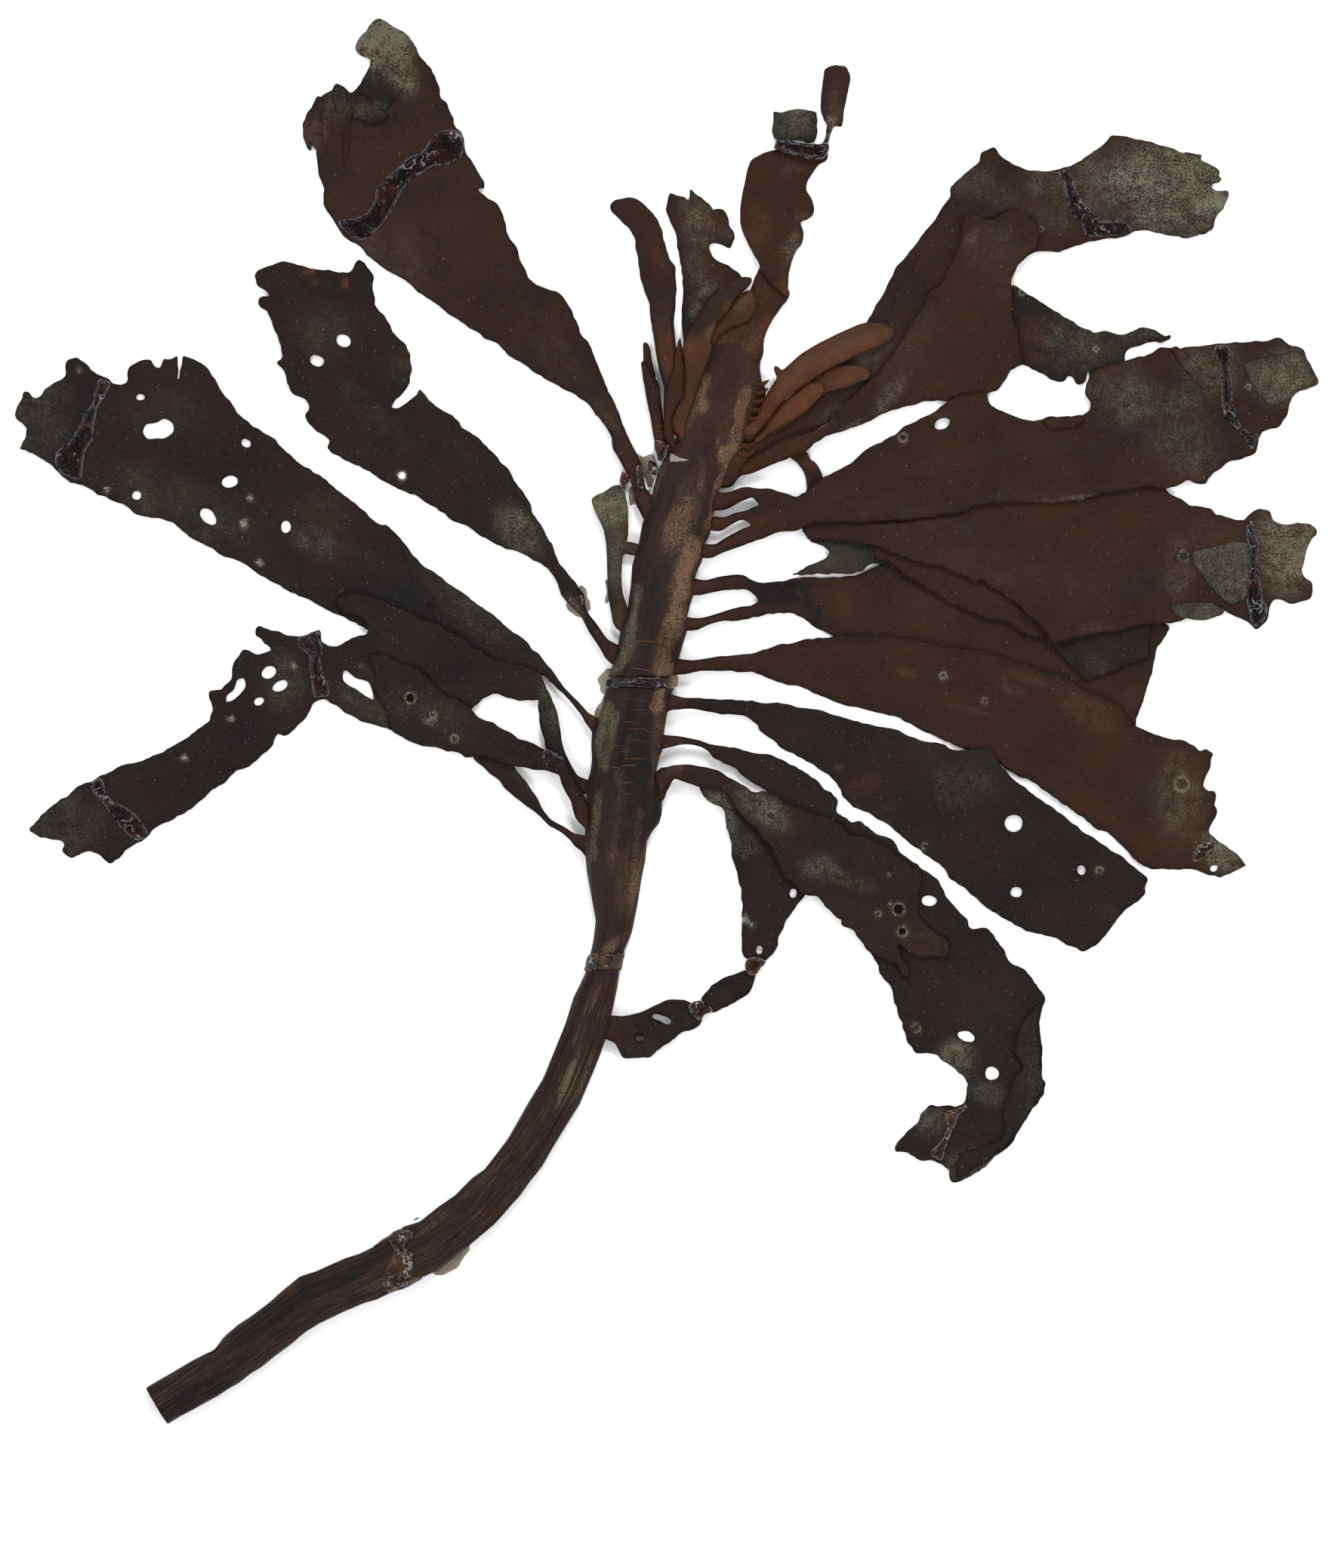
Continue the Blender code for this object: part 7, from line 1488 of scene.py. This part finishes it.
def sweep_tree(name, material):
    """A small circle swept along each path, thinner at both ends."""
    tree, given, out = new_tree(name, [("Radius", "NodeSocketFloat"), ("Step", "NodeSocketFloat")])
    curve = add(tree, "GeometryNodeMeshToCurve", {"Mesh": given.outputs["Geometry"]})
    even = add(tree, "GeometryNodeResampleCurve", {
        "Curve": curve.outputs[0], "Length": given.outputs["Step"]}, mode="LENGTH")
    share = add(tree, "GeometryNodeSplineParameter").outputs["Factor"]
    arch = maths(tree, "SINE", maths(tree, "MULTIPLY", share, math.pi))
    taper = maths(tree, "POWER", maths(tree, "MAXIMUM", arch, 0.15), 0.6)
    radius = maths(tree, "MULTIPLY", taper, given.outputs["Radius"])
    profile = add(tree, "GeometryNodeCurvePrimitiveCircle", {"Resolution": 6, "Radius": 1.0})
    sized = add(tree, "GeometryNodeSetCurveRadius", {"Curve": even.outputs[0], "Radius": radius})
    body = add(tree, "GeometryNodeCurveToMesh", {
        "Curve": sized.outputs[0], "Profile Curve": profile.outputs["Curve"], "Fill Caps": True})
    if "Scale" in body.inputs:
        tree.links.new(radius, body.inputs["Scale"])
    close_tree(tree, body.outputs[0], material, out)
    return tree


# %% Fibres on the stem
FIBRES, FIBRE_END = 58, 146  # how many, and where along the stem the last one stops
rng = np.random.default_rng(7)
paths = []
for _ in range(FIBRES):
    first = int(rng.uniform(0, 0.42) * len(stem_at))
    last = min(int(FIBRE_END / RING_STEP), first + int(rng.uniform(22, 90)))
    angle, drift = rng.uniform(0.35, 2.8), rng.uniform(-0.10, 0.10)
    k = np.arange(first, last, 3)
    turn = angle + drift * np.linspace(0, 1, len(k))
    paths.append(stem_skin(k, turn, groove(stem_at[k], girth_at(k, turn)) - 0.07))
fibres = grown("stem_fibres", path_mesh("fibre_paths", paths), sweep_tree("sweep_fibres", BARK),
               {"Radius": 0.00020, "Step": 0.0022})
for key, value in (("warm", 0.4), ("deep", 0.2), ("fibrous", 1.0)):
    store(fibres.data, key, np.full(len(fibres.data.vertices), value))
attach(fibres, "root")
print("fibres:", len(paths), "faces:", len(fibres.data.polygons))

# %% [markdown]
# ## Cracks and hairlines
# Where the skin has split across the stem, its pale inside shows as a thin line. The same marks cross the
# stalks in the crown. They follow the surface, so each is a path laid on it, swept by the same tree.

# %% Cracks


def on_stem(points):
    """The place on the stem's skin above each point read from the photograph."""
    points = np.asarray(points, dtype=float)
    k = ((points[:, None, :] - stem_mid[None, :, :2]) ** 2).sum(-1).argmin(1)
    off = ((points - stem_mid[k, :2]) * stem_side[k]).sum(1)
    c = np.clip(off / np.where(off > 0, stem_left[k], stem_right[k]), -1, 1)
    angle = np.arccos(np.copysign(np.abs(c) ** (1 / SQUARENESS), c))
    place = stem_skin(k, angle, groove(stem_at[k], girth_at(k, angle)))
    return np.column_stack([points, place[:, 2]])


def fine_line(line, step=0.35):
    """A given line in short steps, a little shaken."""
    _, values, _ = along(line, step)
    shake = np.stack([rough(values, 0.9, 92), rough(values, 0.7, 93)], 1)
    return values + 0.10 * shake


LINE_SKIN = dried_kelp("split_skin", "#6b4a38", "#8a6248", "#8a6248", 0.1, 0.6)
crack_paths = [on_stem(fine_line(line)) for line in CRACKS]
STALK_MARKS = {  # short marks across the stalks, and the blade they cross
    "torn_top_blade": [
        [(0.4, 70), (1.9, 70.4)], [(0.5, 69), (1.8, 69.1)], [(0.4, 68.2), (1.9, 68.2)],
        [(0.5, 66.6), (1.8, 66.9)], [(0.2, 65.1), (1.2, 65.4)], [(0.1, 64.3), (0.9, 64.4)],
        [(0.1, 63.4), (0.9, 63.5)]],
    "crown_stub_a": [
        [(-2.3, 63.1), (-1.4, 63.5), (-0.6, 63.6)], [(-2.5, 62.1), (-1.4, 62.3), (-0.6, 62.1)],
        [(-2.2, 60.8), (-1.2, 61.1), (-0.4, 60.9)]],
    "second_left_blade": [[(-15.4, 18.4), (-14.4, 19.4)], [(-14.6, 17.4), (-13.6, 18.2)]],
    "upper_left_blade": [[(-10.4, 57.2), (-9.2, 58)], [(-8.9, 54.6), (-7.9, 55.4)]],
}
for node, lines in STALK_MARKS.items():
    for line in lines:
        q = fine_line(line)
        top = underside(q, node) + 0.05 + THIN + (1.0 if node == "torn_top_blade" else 0.42)
        crack_paths.append(np.column_stack([q, top]))
cracks = grown("skin_cracks", path_mesh("crack_paths", crack_paths), sweep_tree("sweep_cracks", LINE_SKIN),
               {"Radius": 0.00010, "Step": 0.0004})
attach(cracks, "root")
print("cracks:", len(crack_paths))

# %% [markdown]
# ## Dried glue
# The straps were brushed on as hot animal glue and dried to a dark red, glassy film with trapped bubbles and
# a thick lip at each edge. A strap is a sheet like a blade, but it hugs what is under it, is thicker in the
# middle, and its surface swells and sinks over 2 mm, which makes real glints; the thin pale lines along its
# edges and folds are painted highlights in its colour.

# %% The glue materials


def dried_glue(name, dark, amber, lip, glint):
    """Animal glue, dried clear and glassy. lip is the tone of its painted highlight lines along edges and
    folds, glint their strength.
    """
    made, tree, shader, mm = empty_material(name)
    slow, fine = noise(tree, mm, 3.5, 3.0), noise(tree, mm, 0.9, 4.0, 0.6)
    colour = blend_colour(tree, spread(tree, slow, 0.45, 0.75), seen(dark), seen(amber))
    cells = add(tree, "ShaderNodeTexVoronoi", {"Vector": mm, "Scale": 1 / 1.6}, feature="F1")
    far = cells.outputs["Distance"]
    ring = maths(tree, "MULTIPLY", spread(tree, far, 0.26, 0.20), spread(tree, far, 0.11, 0.17))
    chosen = add(tree, "ShaderNodeSeparateColor", {0: cells.outputs["Color"]}).outputs[0]
    ring = maths(tree, "MULTIPLY", ring, spread(tree, chosen, 0.6, 0.8))
    colour = blend_colour(tree, stored(tree, "clear"), colour, seen("#8d7a5e"))
    colour = blend_colour(tree, maths(tree, "MULTIPLY", ring, 0.7), colour, seen("#7f6f66"))
    # The pale lines along folds of the noise and along each edge are painted highlights, blended in the tone
    # lip.
    wave = noise(tree, mm, 2.1, 2.0, 0.4)
    fold = spread(tree, maths(tree, "ABSOLUTE", maths(tree, "SUBTRACT", wave, 0.5)), 0.030, 0.010)
    fold = maths(tree, "MULTIPLY", fold, spread(tree, noise(tree, mm, 4.4, 2.0), 0.55, 0.62))
    line = maths(tree, "MULTIPLY", spread(tree, stored(tree, "rim"), 0.26, 0.12),
                 spread(tree, fine, 0.40, 0.54))
    painted_glints = maths(tree, "MULTIPLY", maths(tree, "MAXIMUM", line, fold), glint)
    colour = blend_colour(tree, painted_glints, colour, seen(lip))
    shader.inputs["IOR"].default_value = 1.52
    shader.inputs["Coat Weight"].default_value = 0.08
    shader.inputs["Coat Roughness"].default_value = 0.05
    height = maths(tree, "MULTIPLY_ADD", ring, 0.5, fine)
    finish(tree, shader, colour, spread(tree, fine, 0.3, 0.7, 0.06, 0.16), 0.16, height, 0.00030, 0.6)
    return made


# The fourth colour of each glue is the tone of its painted highlight lines.
GLUE = dried_glue("dried_animal_glue", "#20120d", "#422110", "#b6b9c4", 0.6)
THIN_GLUE = dried_glue("thin_animal_glue", "#302017", "#5f4026", "#c6c3bf", 0.66)
BUBBLE = dried_glue("glue_bubble", "#2a120b", "#4c2718", "#8f8d90", 0.3)
print("glue materials:", [m.name for m in (GLUE, THIN_GLUE, BUBBLE)])

# %% The straps
STRAP_STEP, KNOT_STEP = 0.62, 0.5
KNOTS = {  # small knots of glue, read again close up
    "glue_crown_left": [
        (-4.3, 56), (-3.6, 56.5), (-2.8, 56.4), (-1.9, 55.6), (-1.4, 54.4), (-1.2, 53), (-1.7, 51.8),
        (-2.7, 50.9), (-3.2, 52), (-3.8, 53.6), (-4.4, 55)],
    "glue_second_left": [
        (-21.2, 25.6), (-20.4, 27), (-19.4, 26.5), (-18.4, 27.4), (-17.6, 26.2), (-17.9, 25), (-17.4, 24),
        (-18.4, 24.4), (-19.3, 23.9), (-20, 24.9)],
}
STRAPS = {}
THIN_ONES = ("glue_second_left", "glue_join_lowest", "glue_join_narrow", "glue_crown_left", "glue_tip_right",
             "glue_lower_right")
for node in SHEETS:
    if not node.startswith("glue"):
        continue
    seed = 400 + len(node)
    loop = ragged(KNOTS.get(node, LOOPS[node][0]), 0.16, seed)
    co, tris, rim = sheet_points(loop, STRAP_STEP)
    low = np.maximum(underside(co, node) - 0.56, 0.0)
    lip = 0.16 * np.exp(-((rim - 0.55) / 0.35) ** 2) * (0.6 + 0.6 * rough(co, 2.4, seed + 1))
    body = 0.26 * np.clip(rim / 0.5, 0, 1) ** 0.5
    swell = 0.13 * rough(co, 2.4, seed + 2) + 0.07 * rough(co, 1.2, seed + 3)
    high = low + 0.10 + body + (lip + swell) * smooth(rim / 0.7) + 0.10
    strap = closed_piece(node + "_piece", co, tris, low, high, {"rim": np.minimum(rim, RIM_REACH)})
    strap.data.materials.append(THIN_GLUE if node in THIN_ONES else GLUE)
    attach(strap, "root")
    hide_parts(node)
    STRAPS[node] = strap
# Its fourth colour, too, is the tone of painted highlight lines.
AMBER = dried_glue("amber_glue_knots", "#2a130b", "#5a2a14", "#d9d6d4", 0.6)
STRAPS["glue_crown_left"].data.materials[0] = AMBER
print("straps:", len(STRAPS))

# %% More glue: knots that the CAD leaves out, and thin films that ran out on to the sheet
EXTRA_KNOTS = {
    "crown_knot": (2.5, [
        (-2.8, 60.4), (-1.6, 60.7), (-0.6, 60.2), (0.4, 59.8), (1.8, 59.8), (1.5, 58.8), (0.9, 58),
        (1.1, 57), (0.6, 56), (-0.4, 55.3), (-1.4, 55.2), (-2.1, 55.9), (-2.3, 57.2), (-2.7, 58.6)]),
    "left_crown_glass": (3.4, [
        (-6.6, 55), (-5.2, 55.2), (-4.9, 53.4), (-4.4, 52.2), (-4, 50.9), (-4.6, 50.4), (-5, 49.2),
        (-5.8, 50), (-6.6, 50.2), (-6.2, 51.8), (-6.6, 53.2)]),
    "left_crown_knot": (2.2, [
        (-9.9, 53.6), (-9, 54), (-8.2, 53), (-7.4, 52), (-7.2, 51.3), (-8.3, 51.2), (-8.4, 49.4),
        (-9, 48.9), (-9.8, 49.8), (-10.3, 51.6)]),
    "olive_blade_glue": (1.5, [
        (-12.5, 30.6), (-11.4, 30.2), (-10.4, 28.4), (-10, 25.6), (-10.6, 24.2), (-11.6, 24.4),
        (-12.2, 26.6), (-12.6, 28.8)]),
    "lower_left_knot": (1.4, [
        (-26.6, -5.4), (-24.6, -6.2), (-22.6, -6.6), (-21.6, -8), (-22.2, -9.6), (-22.6, -11.4),
        (-24, -10.8), (-26, -10.6), (-26.8, -8.6), (-25.6, -7.4)]),
}
for name, (height, outline) in EXTRA_KNOTS.items():
    loop = ragged(outline, 0.12, 460 + len(name))
    co, tris, rim = sheet_points(loop, KNOT_STEP)
    low = np.full(len(co), height)
    high = low + 0.2 + 0.45 * np.clip(rim / 0.6, 0, 1) ** 0.5 + 0.22 * rough(co, 1.3, 471) * smooth(rim / 0.6)
    knot = closed_piece(name, co, tris, low * 0.3, np.maximum(high, 0.4),
                        {"rim": np.minimum(rim, RIM_REACH)})
    knot.data.materials.append(AMBER)
    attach(knot, "root")
    STRAPS[name] = knot
# The film's fourth colour is the tone of its painted highlight lines.
FILM = dried_glue("clear_glue_film", "#aca18b", "#c0b6a2", "#dcd8d0", 0.4)
FILMS = {
    "film_second_left": [
        (-18.6, 29.4), (-17.2, 28.6), (-16.7, 27.2), (-17, 26.2), (-16, 25.8), (-16.4, 24.9), (-15.9, 24),
        (-17.4, 22.8), (-18, 21.9), (-19.4, 22.2), (-20.4, 22.9), (-21.4, 23.6), (-21.9, 25.2), (-20, 26)],
    "film_olive_blade": [
        (-13.6, 30.4), (-12.6, 30.6), (-12.2, 28), (-12.2, 25.2), (-13.2, 24.7), (-13.6, 26),
        (-12.9, 27.6)],
    "film_band_left": [
        (-12.2, 10.6), (-13.4, 9.8), (-14.8, 8.6), (-13.6, 7.4), (-14, 6.4), (-12.6, 6), (-12, 7.6)],
    "film_band_right": [(1, 9), (3, 9.4), (2.4, 8), (1.6, 6.6), (1, 5.6), (0.6, 6.6)],
    "film_crown": [
        (-7, 58.4), (-5.8, 57.6), (-5, 56.9), (-3.8, 57.6), (-2.5, 57.8), (-2.2, 56.2), (-1.2, 54.8),
        (-1, 53), (-2, 50.8), (-3, 49.8), (-4.2, 50), (-4.6, 52), (-5.4, 54), (-6, 56)],
    "film_stalks": [
        (-8.2, 50.2), (-7.4, 50.9), (-6.8, 50), (-6.5, 48.4), (-6, 46.2), (-7.2, 46.5), (-7.9, 46),
        (-8.2, 47.6)],
    "film_crown_low": [(-5, 49.6), (-4.2, 50.3), (-2.6, 50.2), (-2.5, 48.8), (-3.4, 47.2), (-4.2, 47)],
    # This film fills the notch left of the stem where the sheet shows a beige shading: partly dried glue,
    # partly painted shadow.
    "film_stem_notch": [
        (-15, 1), (-13.6, 0.4), (-12.4, 2.4), (-11.6, 5.6), (-12.4, 5.4), (-13.4, 3), (-14.4, 2.2)],
    "film_low_bend": [(-55.6, -108.4), (-53.6, -107), (-52.6, -108.2), (-54.4, -109.6)],
    "film_low_right": [
        (-50.2, -119.6), (-48.4, -120), (-46.6, -119.1), (-45.2, -118.5), (-44.6, -116.8), (-43.8, -115.3),
        (-43, -114.4), (-45, -114), (-49, -117)],
}
for name, outline in FILMS.items():
    loop = ragged(outline, 0.15, 480)
    co, tris, rim = sheet_points(loop)
    film = closed_piece(name, co, tris, np.zeros(len(co)), 0.12 + 0.05 * rough(co, 1.2, 481),
                        {"rim": np.minimum(rim, RIM_REACH)})
    film.data.materials.append(FILM)
    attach(film, "root")
spike_edge = np.array([(0.9, 57.5), (1.5, 57.4), (2.6, 56.7), (3.9, 56.3), (5.1, 56.05), (3.4, 55.8),
                       (1.9, 55.7), (0.8, 55.7)])
co, tris, rim = sheet_points(spike_edge)
low = on_stem(co)[:, 2]
spike = closed_piece("crown_glue_spike", co, tris, low - 0.2, low + 0.15 + 0.5 * np.clip(rim / 0.8, 0, 1),
                     {"rim": np.minimum(rim, RIM_REACH)})
spike.data.materials.append(FILM)
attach(spike, "root")
print("knots:", len(EXTRA_KNOTS), "films:", len(FILMS))

# %% [markdown]
# ## Glue bands over the stem
# Three thinner bands cross the stem. Each is a patch of the stem's own skin, lifted off it, with uneven ends
# and a network of raised, whitish cracks.

# %% Bands


def outward(mesh):
    """Turn every face of a closed mesh outwards, and shade it smooth."""
    bm = bmesh.new()
    bm.from_mesh(mesh)
    bmesh.ops.recalc_face_normals(bm, faces=bm.faces)
    bm.to_mesh(mesh)
    bm.free()
    mesh.polygons.foreach_set("use_smooth", np.ones(len(mesh.polygons), dtype=bool))


BANDS = {  # where along the stem, its length, how much it wanders, and how far it leans
    "stem_glue_low": (61.5, 5.6, 0.9, 0.0), "stem_glue_middle": (142.5, 3.6, 0.4, -1.2),
    "stem_glue_high": (203.6, 2.6, 0.12, -1.9)}
for node, (middle, length, wander, lean) in BANDS.items():
    ends = np.radians((8, 172))
    cross = np.linspace(*ends, 72)
    rows_up = int(length / 0.28)
    outer, inner, rims = [], [], []
    for i in range(rows_up + 1):
        t = i / rows_up
        end = np.full_like(cross, 0 if t < 0.5 else 40)
        shift = wander * (1.6 * rough(np.stack([cross * 9, end], 1), 3.2, 81))
        shift = shift + lean * np.cos(cross)
        if node == "stem_glue_low":
            shift = shift + 3.2 * np.sin(cross * 2.4 - 0.5) * (1 if t < 0.5 else 0.6)
        place = (middle - 0.5 * length + t * length + shift) / RING_STEP
        k = np.clip(place.astype(int), 0, len(stem_at) - 2)
        share = (place - k)[:, None]
        near, far = stem_skin(k, cross, 0.02), stem_skin(k + 1, cross, 0.02)
        base = near * (1 - share) + far * share
        edge = np.minimum(min(t, 1 - t) * length, np.minimum(cross - ends[0], ends[1] - cross) * 6)
        spot = np.stack([place * RING_STEP, cross * 6], 1)
        stretch = 9.0 if node == "stem_glue_high" else 2.2
        spot[:, 0] -= lean * np.cos(cross)
        crack = np.exp(-(rough(np.stack([spot[:, 0], spot[:, 1] / stretch], 1), 0.62, 82) / 0.15) ** 2)
        thick = 0.10 + 0.26 * np.clip(edge / 0.5, 0, 1) + 0.10 * rough(spot, 1.3, 83) + 0.16 * crack
        thick *= np.clip(edge / 0.3, 0.25, 1)
        up = stem_skin(k, cross, 1.0) - stem_skin(k, cross, 0.0)
        outer.append(base + up * (thick[:, None] + 0.12))
        inner.append(base - up * 0.25)
        # Where the glue has cracked, rim is set small so that the material's painted highlight line also
        # draws the whitish crack: partly the crack's own pale colour, partly painted highlight.
        rims.append(np.where(crack > 0.6, 0.18, np.maximum(edge, 0.6)))
    outer, inner, rims = np.array(outer), np.array(inner), np.array(rims)
    grid = np.concatenate([outer.reshape(-1, 3), inner.reshape(-1, 3)])
    grid[:, :2] += STEP_TO_MODEL
    grid[:, 2] = np.maximum(grid[:, 2], 0)
    n_cross, n_rows = len(cross), rows_up + 1
    half = n_cross * n_rows
    faces = []
    for i in range(n_rows - 1):
        for j in range(n_cross - 1):
            a = i * n_cross + j
            faces += [(a, a + 1, a + n_cross + 1, a + n_cross),
                      (half + a, half + a + n_cross, half + a + n_cross + 1, half + a + 1)]
    border = (list(range(n_cross)) + [i * n_cross + n_cross - 1 for i in range(1, n_rows)]
              + [(n_rows - 1) * n_cross + j for j in range(n_cross - 2, -1, -1)]
              + [i * n_cross for i in range(n_rows - 2, 0, -1)])
    for a, b in zip(border, border[1:] + border[:1]):
        faces.append((b, a, half + a, half + b))
    mesh = bpy.data.meshes.new(node + "_piece")
    mesh.from_pydata((grid * 0.001).tolist(), [], faces)
    store(mesh, "rim", np.concatenate([rims.ravel(), rims.ravel()]))
    outward(mesh)
    high_one = node == "stem_glue_high"
    clear = smooth((np.degrees(cross) - 128) / 24) if high_one else np.full_like(cross, 0.06)
    store(mesh, "clear", np.tile(clear, 2 * n_rows))
    mesh.materials.append(GLUE if high_one else THIN_GLUE)
    band_piece = new_object(node + "_piece", mesh)
    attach(band_piece, "root")
    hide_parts(node)
print("bands:", list(BANDS))

# %% [markdown]
# ## Scattered by Geometry Nodes
# Bubbles sit in the glue, and grains of salt lie on the blades. Both are scattered over a surface with a
# fixed seed: one tree takes a density and a range of sizes as named inputs, and puts a low, flattened ball of
# twenty faces on each point.

# %% A tree that scatters grains


def scatter_tree(name, material, flatness):
    """Flattened balls put at random on the faces of a mesh."""
    tree, given, out = new_tree(name, [
        ("Per square metre", "NodeSocketFloat"), ("Smallest", "NodeSocketFloat"),
        ("Largest", "NodeSocketFloat"), ("Seed", "NodeSocketInt")])
    dots = add(tree, "GeometryNodeDistributePointsOnFaces",
               {"Mesh": given.outputs["Geometry"], "Density": given.outputs["Per square metre"],
                "Seed": given.outputs["Seed"]}, distribute_method="RANDOM")
    size = add(tree, "FunctionNodeRandomValue", {"Seed": given.outputs["Seed"]}, data_type="FLOAT")
    tree.links.new(given.outputs["Smallest"], size.inputs[2])
    tree.links.new(given.outputs["Largest"], size.inputs[3])
    ball = add(tree, "GeometryNodeMeshIcoSphere", {"Radius": 1.0, "Subdivisions": 1})
    low_ball = add(tree, "GeometryNodeTransform", {
        "Geometry": ball.outputs[0], "Scale": (1.0, 0.82, flatness)})
    put = add(tree, "GeometryNodeInstanceOnPoints",
              {"Points": dots.outputs["Points"], "Instance": low_ball.outputs[0],
               "Rotation": dots.outputs["Rotation"], "Scale": size.outputs[1]})
    close_tree(tree, put.outputs[0], material, out)
    return tree


def upper_faces(name, pieces):
    """One mesh of the upward faces of some pieces, for grains to land on."""
    verts, faces, start = [], [], 0
    for piece in pieces:
        mesh = piece.data
        co = np.empty(len(mesh.vertices) * 3, dtype=np.float32)
        mesh.vertices.foreach_get("co", co)
        normal = np.empty(len(mesh.polygons) * 3, dtype=np.float32)
        mesh.polygons.foreach_get("normal", normal)
        keep = normal.reshape(-1, 3)[:, 2] > 0.6
        faces += [tuple(start + i for i in p.vertices) for p, k in zip(mesh.polygons, keep) if k]
        verts += co.reshape(-1, 3).tolist()
        start += len(mesh.vertices)
    made = bpy.data.meshes.new(name)
    made.from_pydata(verts, [], faces)
    return made


# %% Bubbles and salt
SALT, tree, shader, mm = empty_material("sea_salt_dust")
share = spread(tree, noise(tree, mm, 1.4), 0.35, 0.65)
colour = blend_colour(tree, share, paint("#6f6858"), paint("#a6a394"))
tree.links.new(colour, shader.inputs["Base Color"])
shader.inputs["Roughness"].default_value = 0.8
shader.inputs["Specular IOR Level"].default_value = 0.3

bubbles = grown("glue_bubbles", upper_faces("glue_faces", list(STRAPS.values())),
                scatter_tree("scatter_bubbles", BUBBLE, 0.45),
                {"Per square metre": 1.3e5, "Smallest": 0.00010, "Largest": 0.00030, "Seed": 11})
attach(bubbles, "root")
salt = grown("salt_grains", upper_faces("blade_faces", list(BLADES.values())),
             scatter_tree("scatter_salt", SALT, 0.35),
             {"Per square metre": 4.5e4, "Smallest": 0.00003, "Largest": 0.00010, "Seed": 23})
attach(salt, "root")
print("bubble faces:", len(bubbles.data.polygons), "salt faces:", len(salt.data.polygons))

# %% [markdown]
# ## The comb of very young blades
# At the crown new blades split off one after another, like the teeth of a comb, each a few millimetres long.
# They repeat along a path, so one tooth is modelled and Geometry Nodes sets it along the stem's edge,
# larger from one to the next.

# %% One tooth, repeated
TOOTH_RINGS, TOOTH_AROUND = 9, 7
tooth_rings = []
for i in range(TOOTH_RINGS):
    t = i / (TOOTH_RINGS - 1)
    wide = 0.80 * (math.sin(math.pi * min(0.96, 0.22 + 0.78 * t)) ** 0.6) * (1.0 if t < 0.97 else 0.5)
    turns = [2 * math.pi * j / TOOTH_AROUND for j in range(TOOTH_AROUND)]
    tooth_rings.append([(0.2 + 4.2 * t, wide * math.cos(a) - 0.9 * math.sin(math.pi * t) + 0.5 * t,
                         0.24 * math.sin(a) + 0.25 + 0.22 * t) for a in turns])
tooth = tube("comb_tooth", np.array(tooth_rings))
outward(tooth.data)

tree, given, out = new_tree("comb_of_teeth", [
    ("Teeth", "NodeSocketInt"), ("Tilt", "NodeSocketFloat"),
    ("First size", "NodeSocketFloat"), ("Last size", "NodeSocketFloat")])
curve = add(tree, "GeometryNodeMeshToCurve", {"Mesh": given.outputs["Geometry"]})
even = add(tree, "GeometryNodeResampleCurve", {"Curve": curve.outputs[0], "Count": given.outputs["Teeth"]},
           mode="COUNT")
share = add(tree, "GeometryNodeSplineParameter").outputs["Factor"]
size = add(tree, "ShaderNodeMapRange", {"Value": share, "To Min": given.outputs["First size"],
                                        "To Max": given.outputs["Last size"]}).outputs[0]
turn = add(tree, "ShaderNodeCombineXYZ", {"Z": given.outputs["Tilt"]}).outputs[0]
shape = add(tree, "GeometryNodeObjectInfo", {"Object": tooth})
put = add(tree, "GeometryNodeInstanceOnPoints", {
    "Points": even.outputs[0], "Instance": shape.outputs["Geometry"], "Rotation": turn, "Scale": size})
close_tree(tree, put.outputs[0], KELP["brown"], out)
comb_path = np.array([(19.0, 72.9), (18.6, 70.6), (18.0, 68.4), (17.3, 66.0), (16.6, 63.4), (15.9, 60.6),
                      (15.2, 57.8)])
comb_z = underside(comb_path, "young_comb") + 0.55
teeth = grown("young_comb_teeth", path_mesh("comb_path", [np.column_stack([comb_path, comb_z])]), tree,
              {"Teeth": 9, "Tilt": math.radians(4), "First size": 0.78, "Last size": 1.05})
bpy.data.objects.remove(tooth, do_unlink=True)
for key, value in (("warm", 0.95), ("rim", 3.0), ("rust", 0.55)):
    store(teeth.data, key, np.full(len(teeth.data.vertices), value))
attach(teeth, "root")

comb_ground = [(20.3, 73.6), (21.4, 72.6), (22, 71.4), (21.8, 70), (21, 67.6), (19.8, 64.6), (18.8, 61.8),
               (17.6, 59.2), (16.4, 56.4), (13.4, 55), (13.4, 58.6), (14.8, 62.4), (16, 66.2), (17.2, 70.2),
               (18.8, 73.6)]
loop = ragged(comb_ground, 0.08, 505)
co, tris, rim = sheet_points(loop)
z = underside(co, "young_comb") + 0.05
values = {k: tone(co, TONES["young_comb"], k) for k in KINDS}
values.update(rim=rim, warm=np.full(len(co), 0.6), dark=np.full(len(co), 0.55))
comb = closed_piece("young_comb_piece", co, tris, z, z + 0.3, values, grain_direction(loop)(co))
comb.data.materials.append(KELP["brown"])
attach(comb, "root")
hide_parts("young_comb")
print("comb teeth faces:", len(teeth.data.polygons))

# %% Measure and finish
low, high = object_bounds()
print("visual box in mm:", [round(v * 1000, 1) for v in high - low])
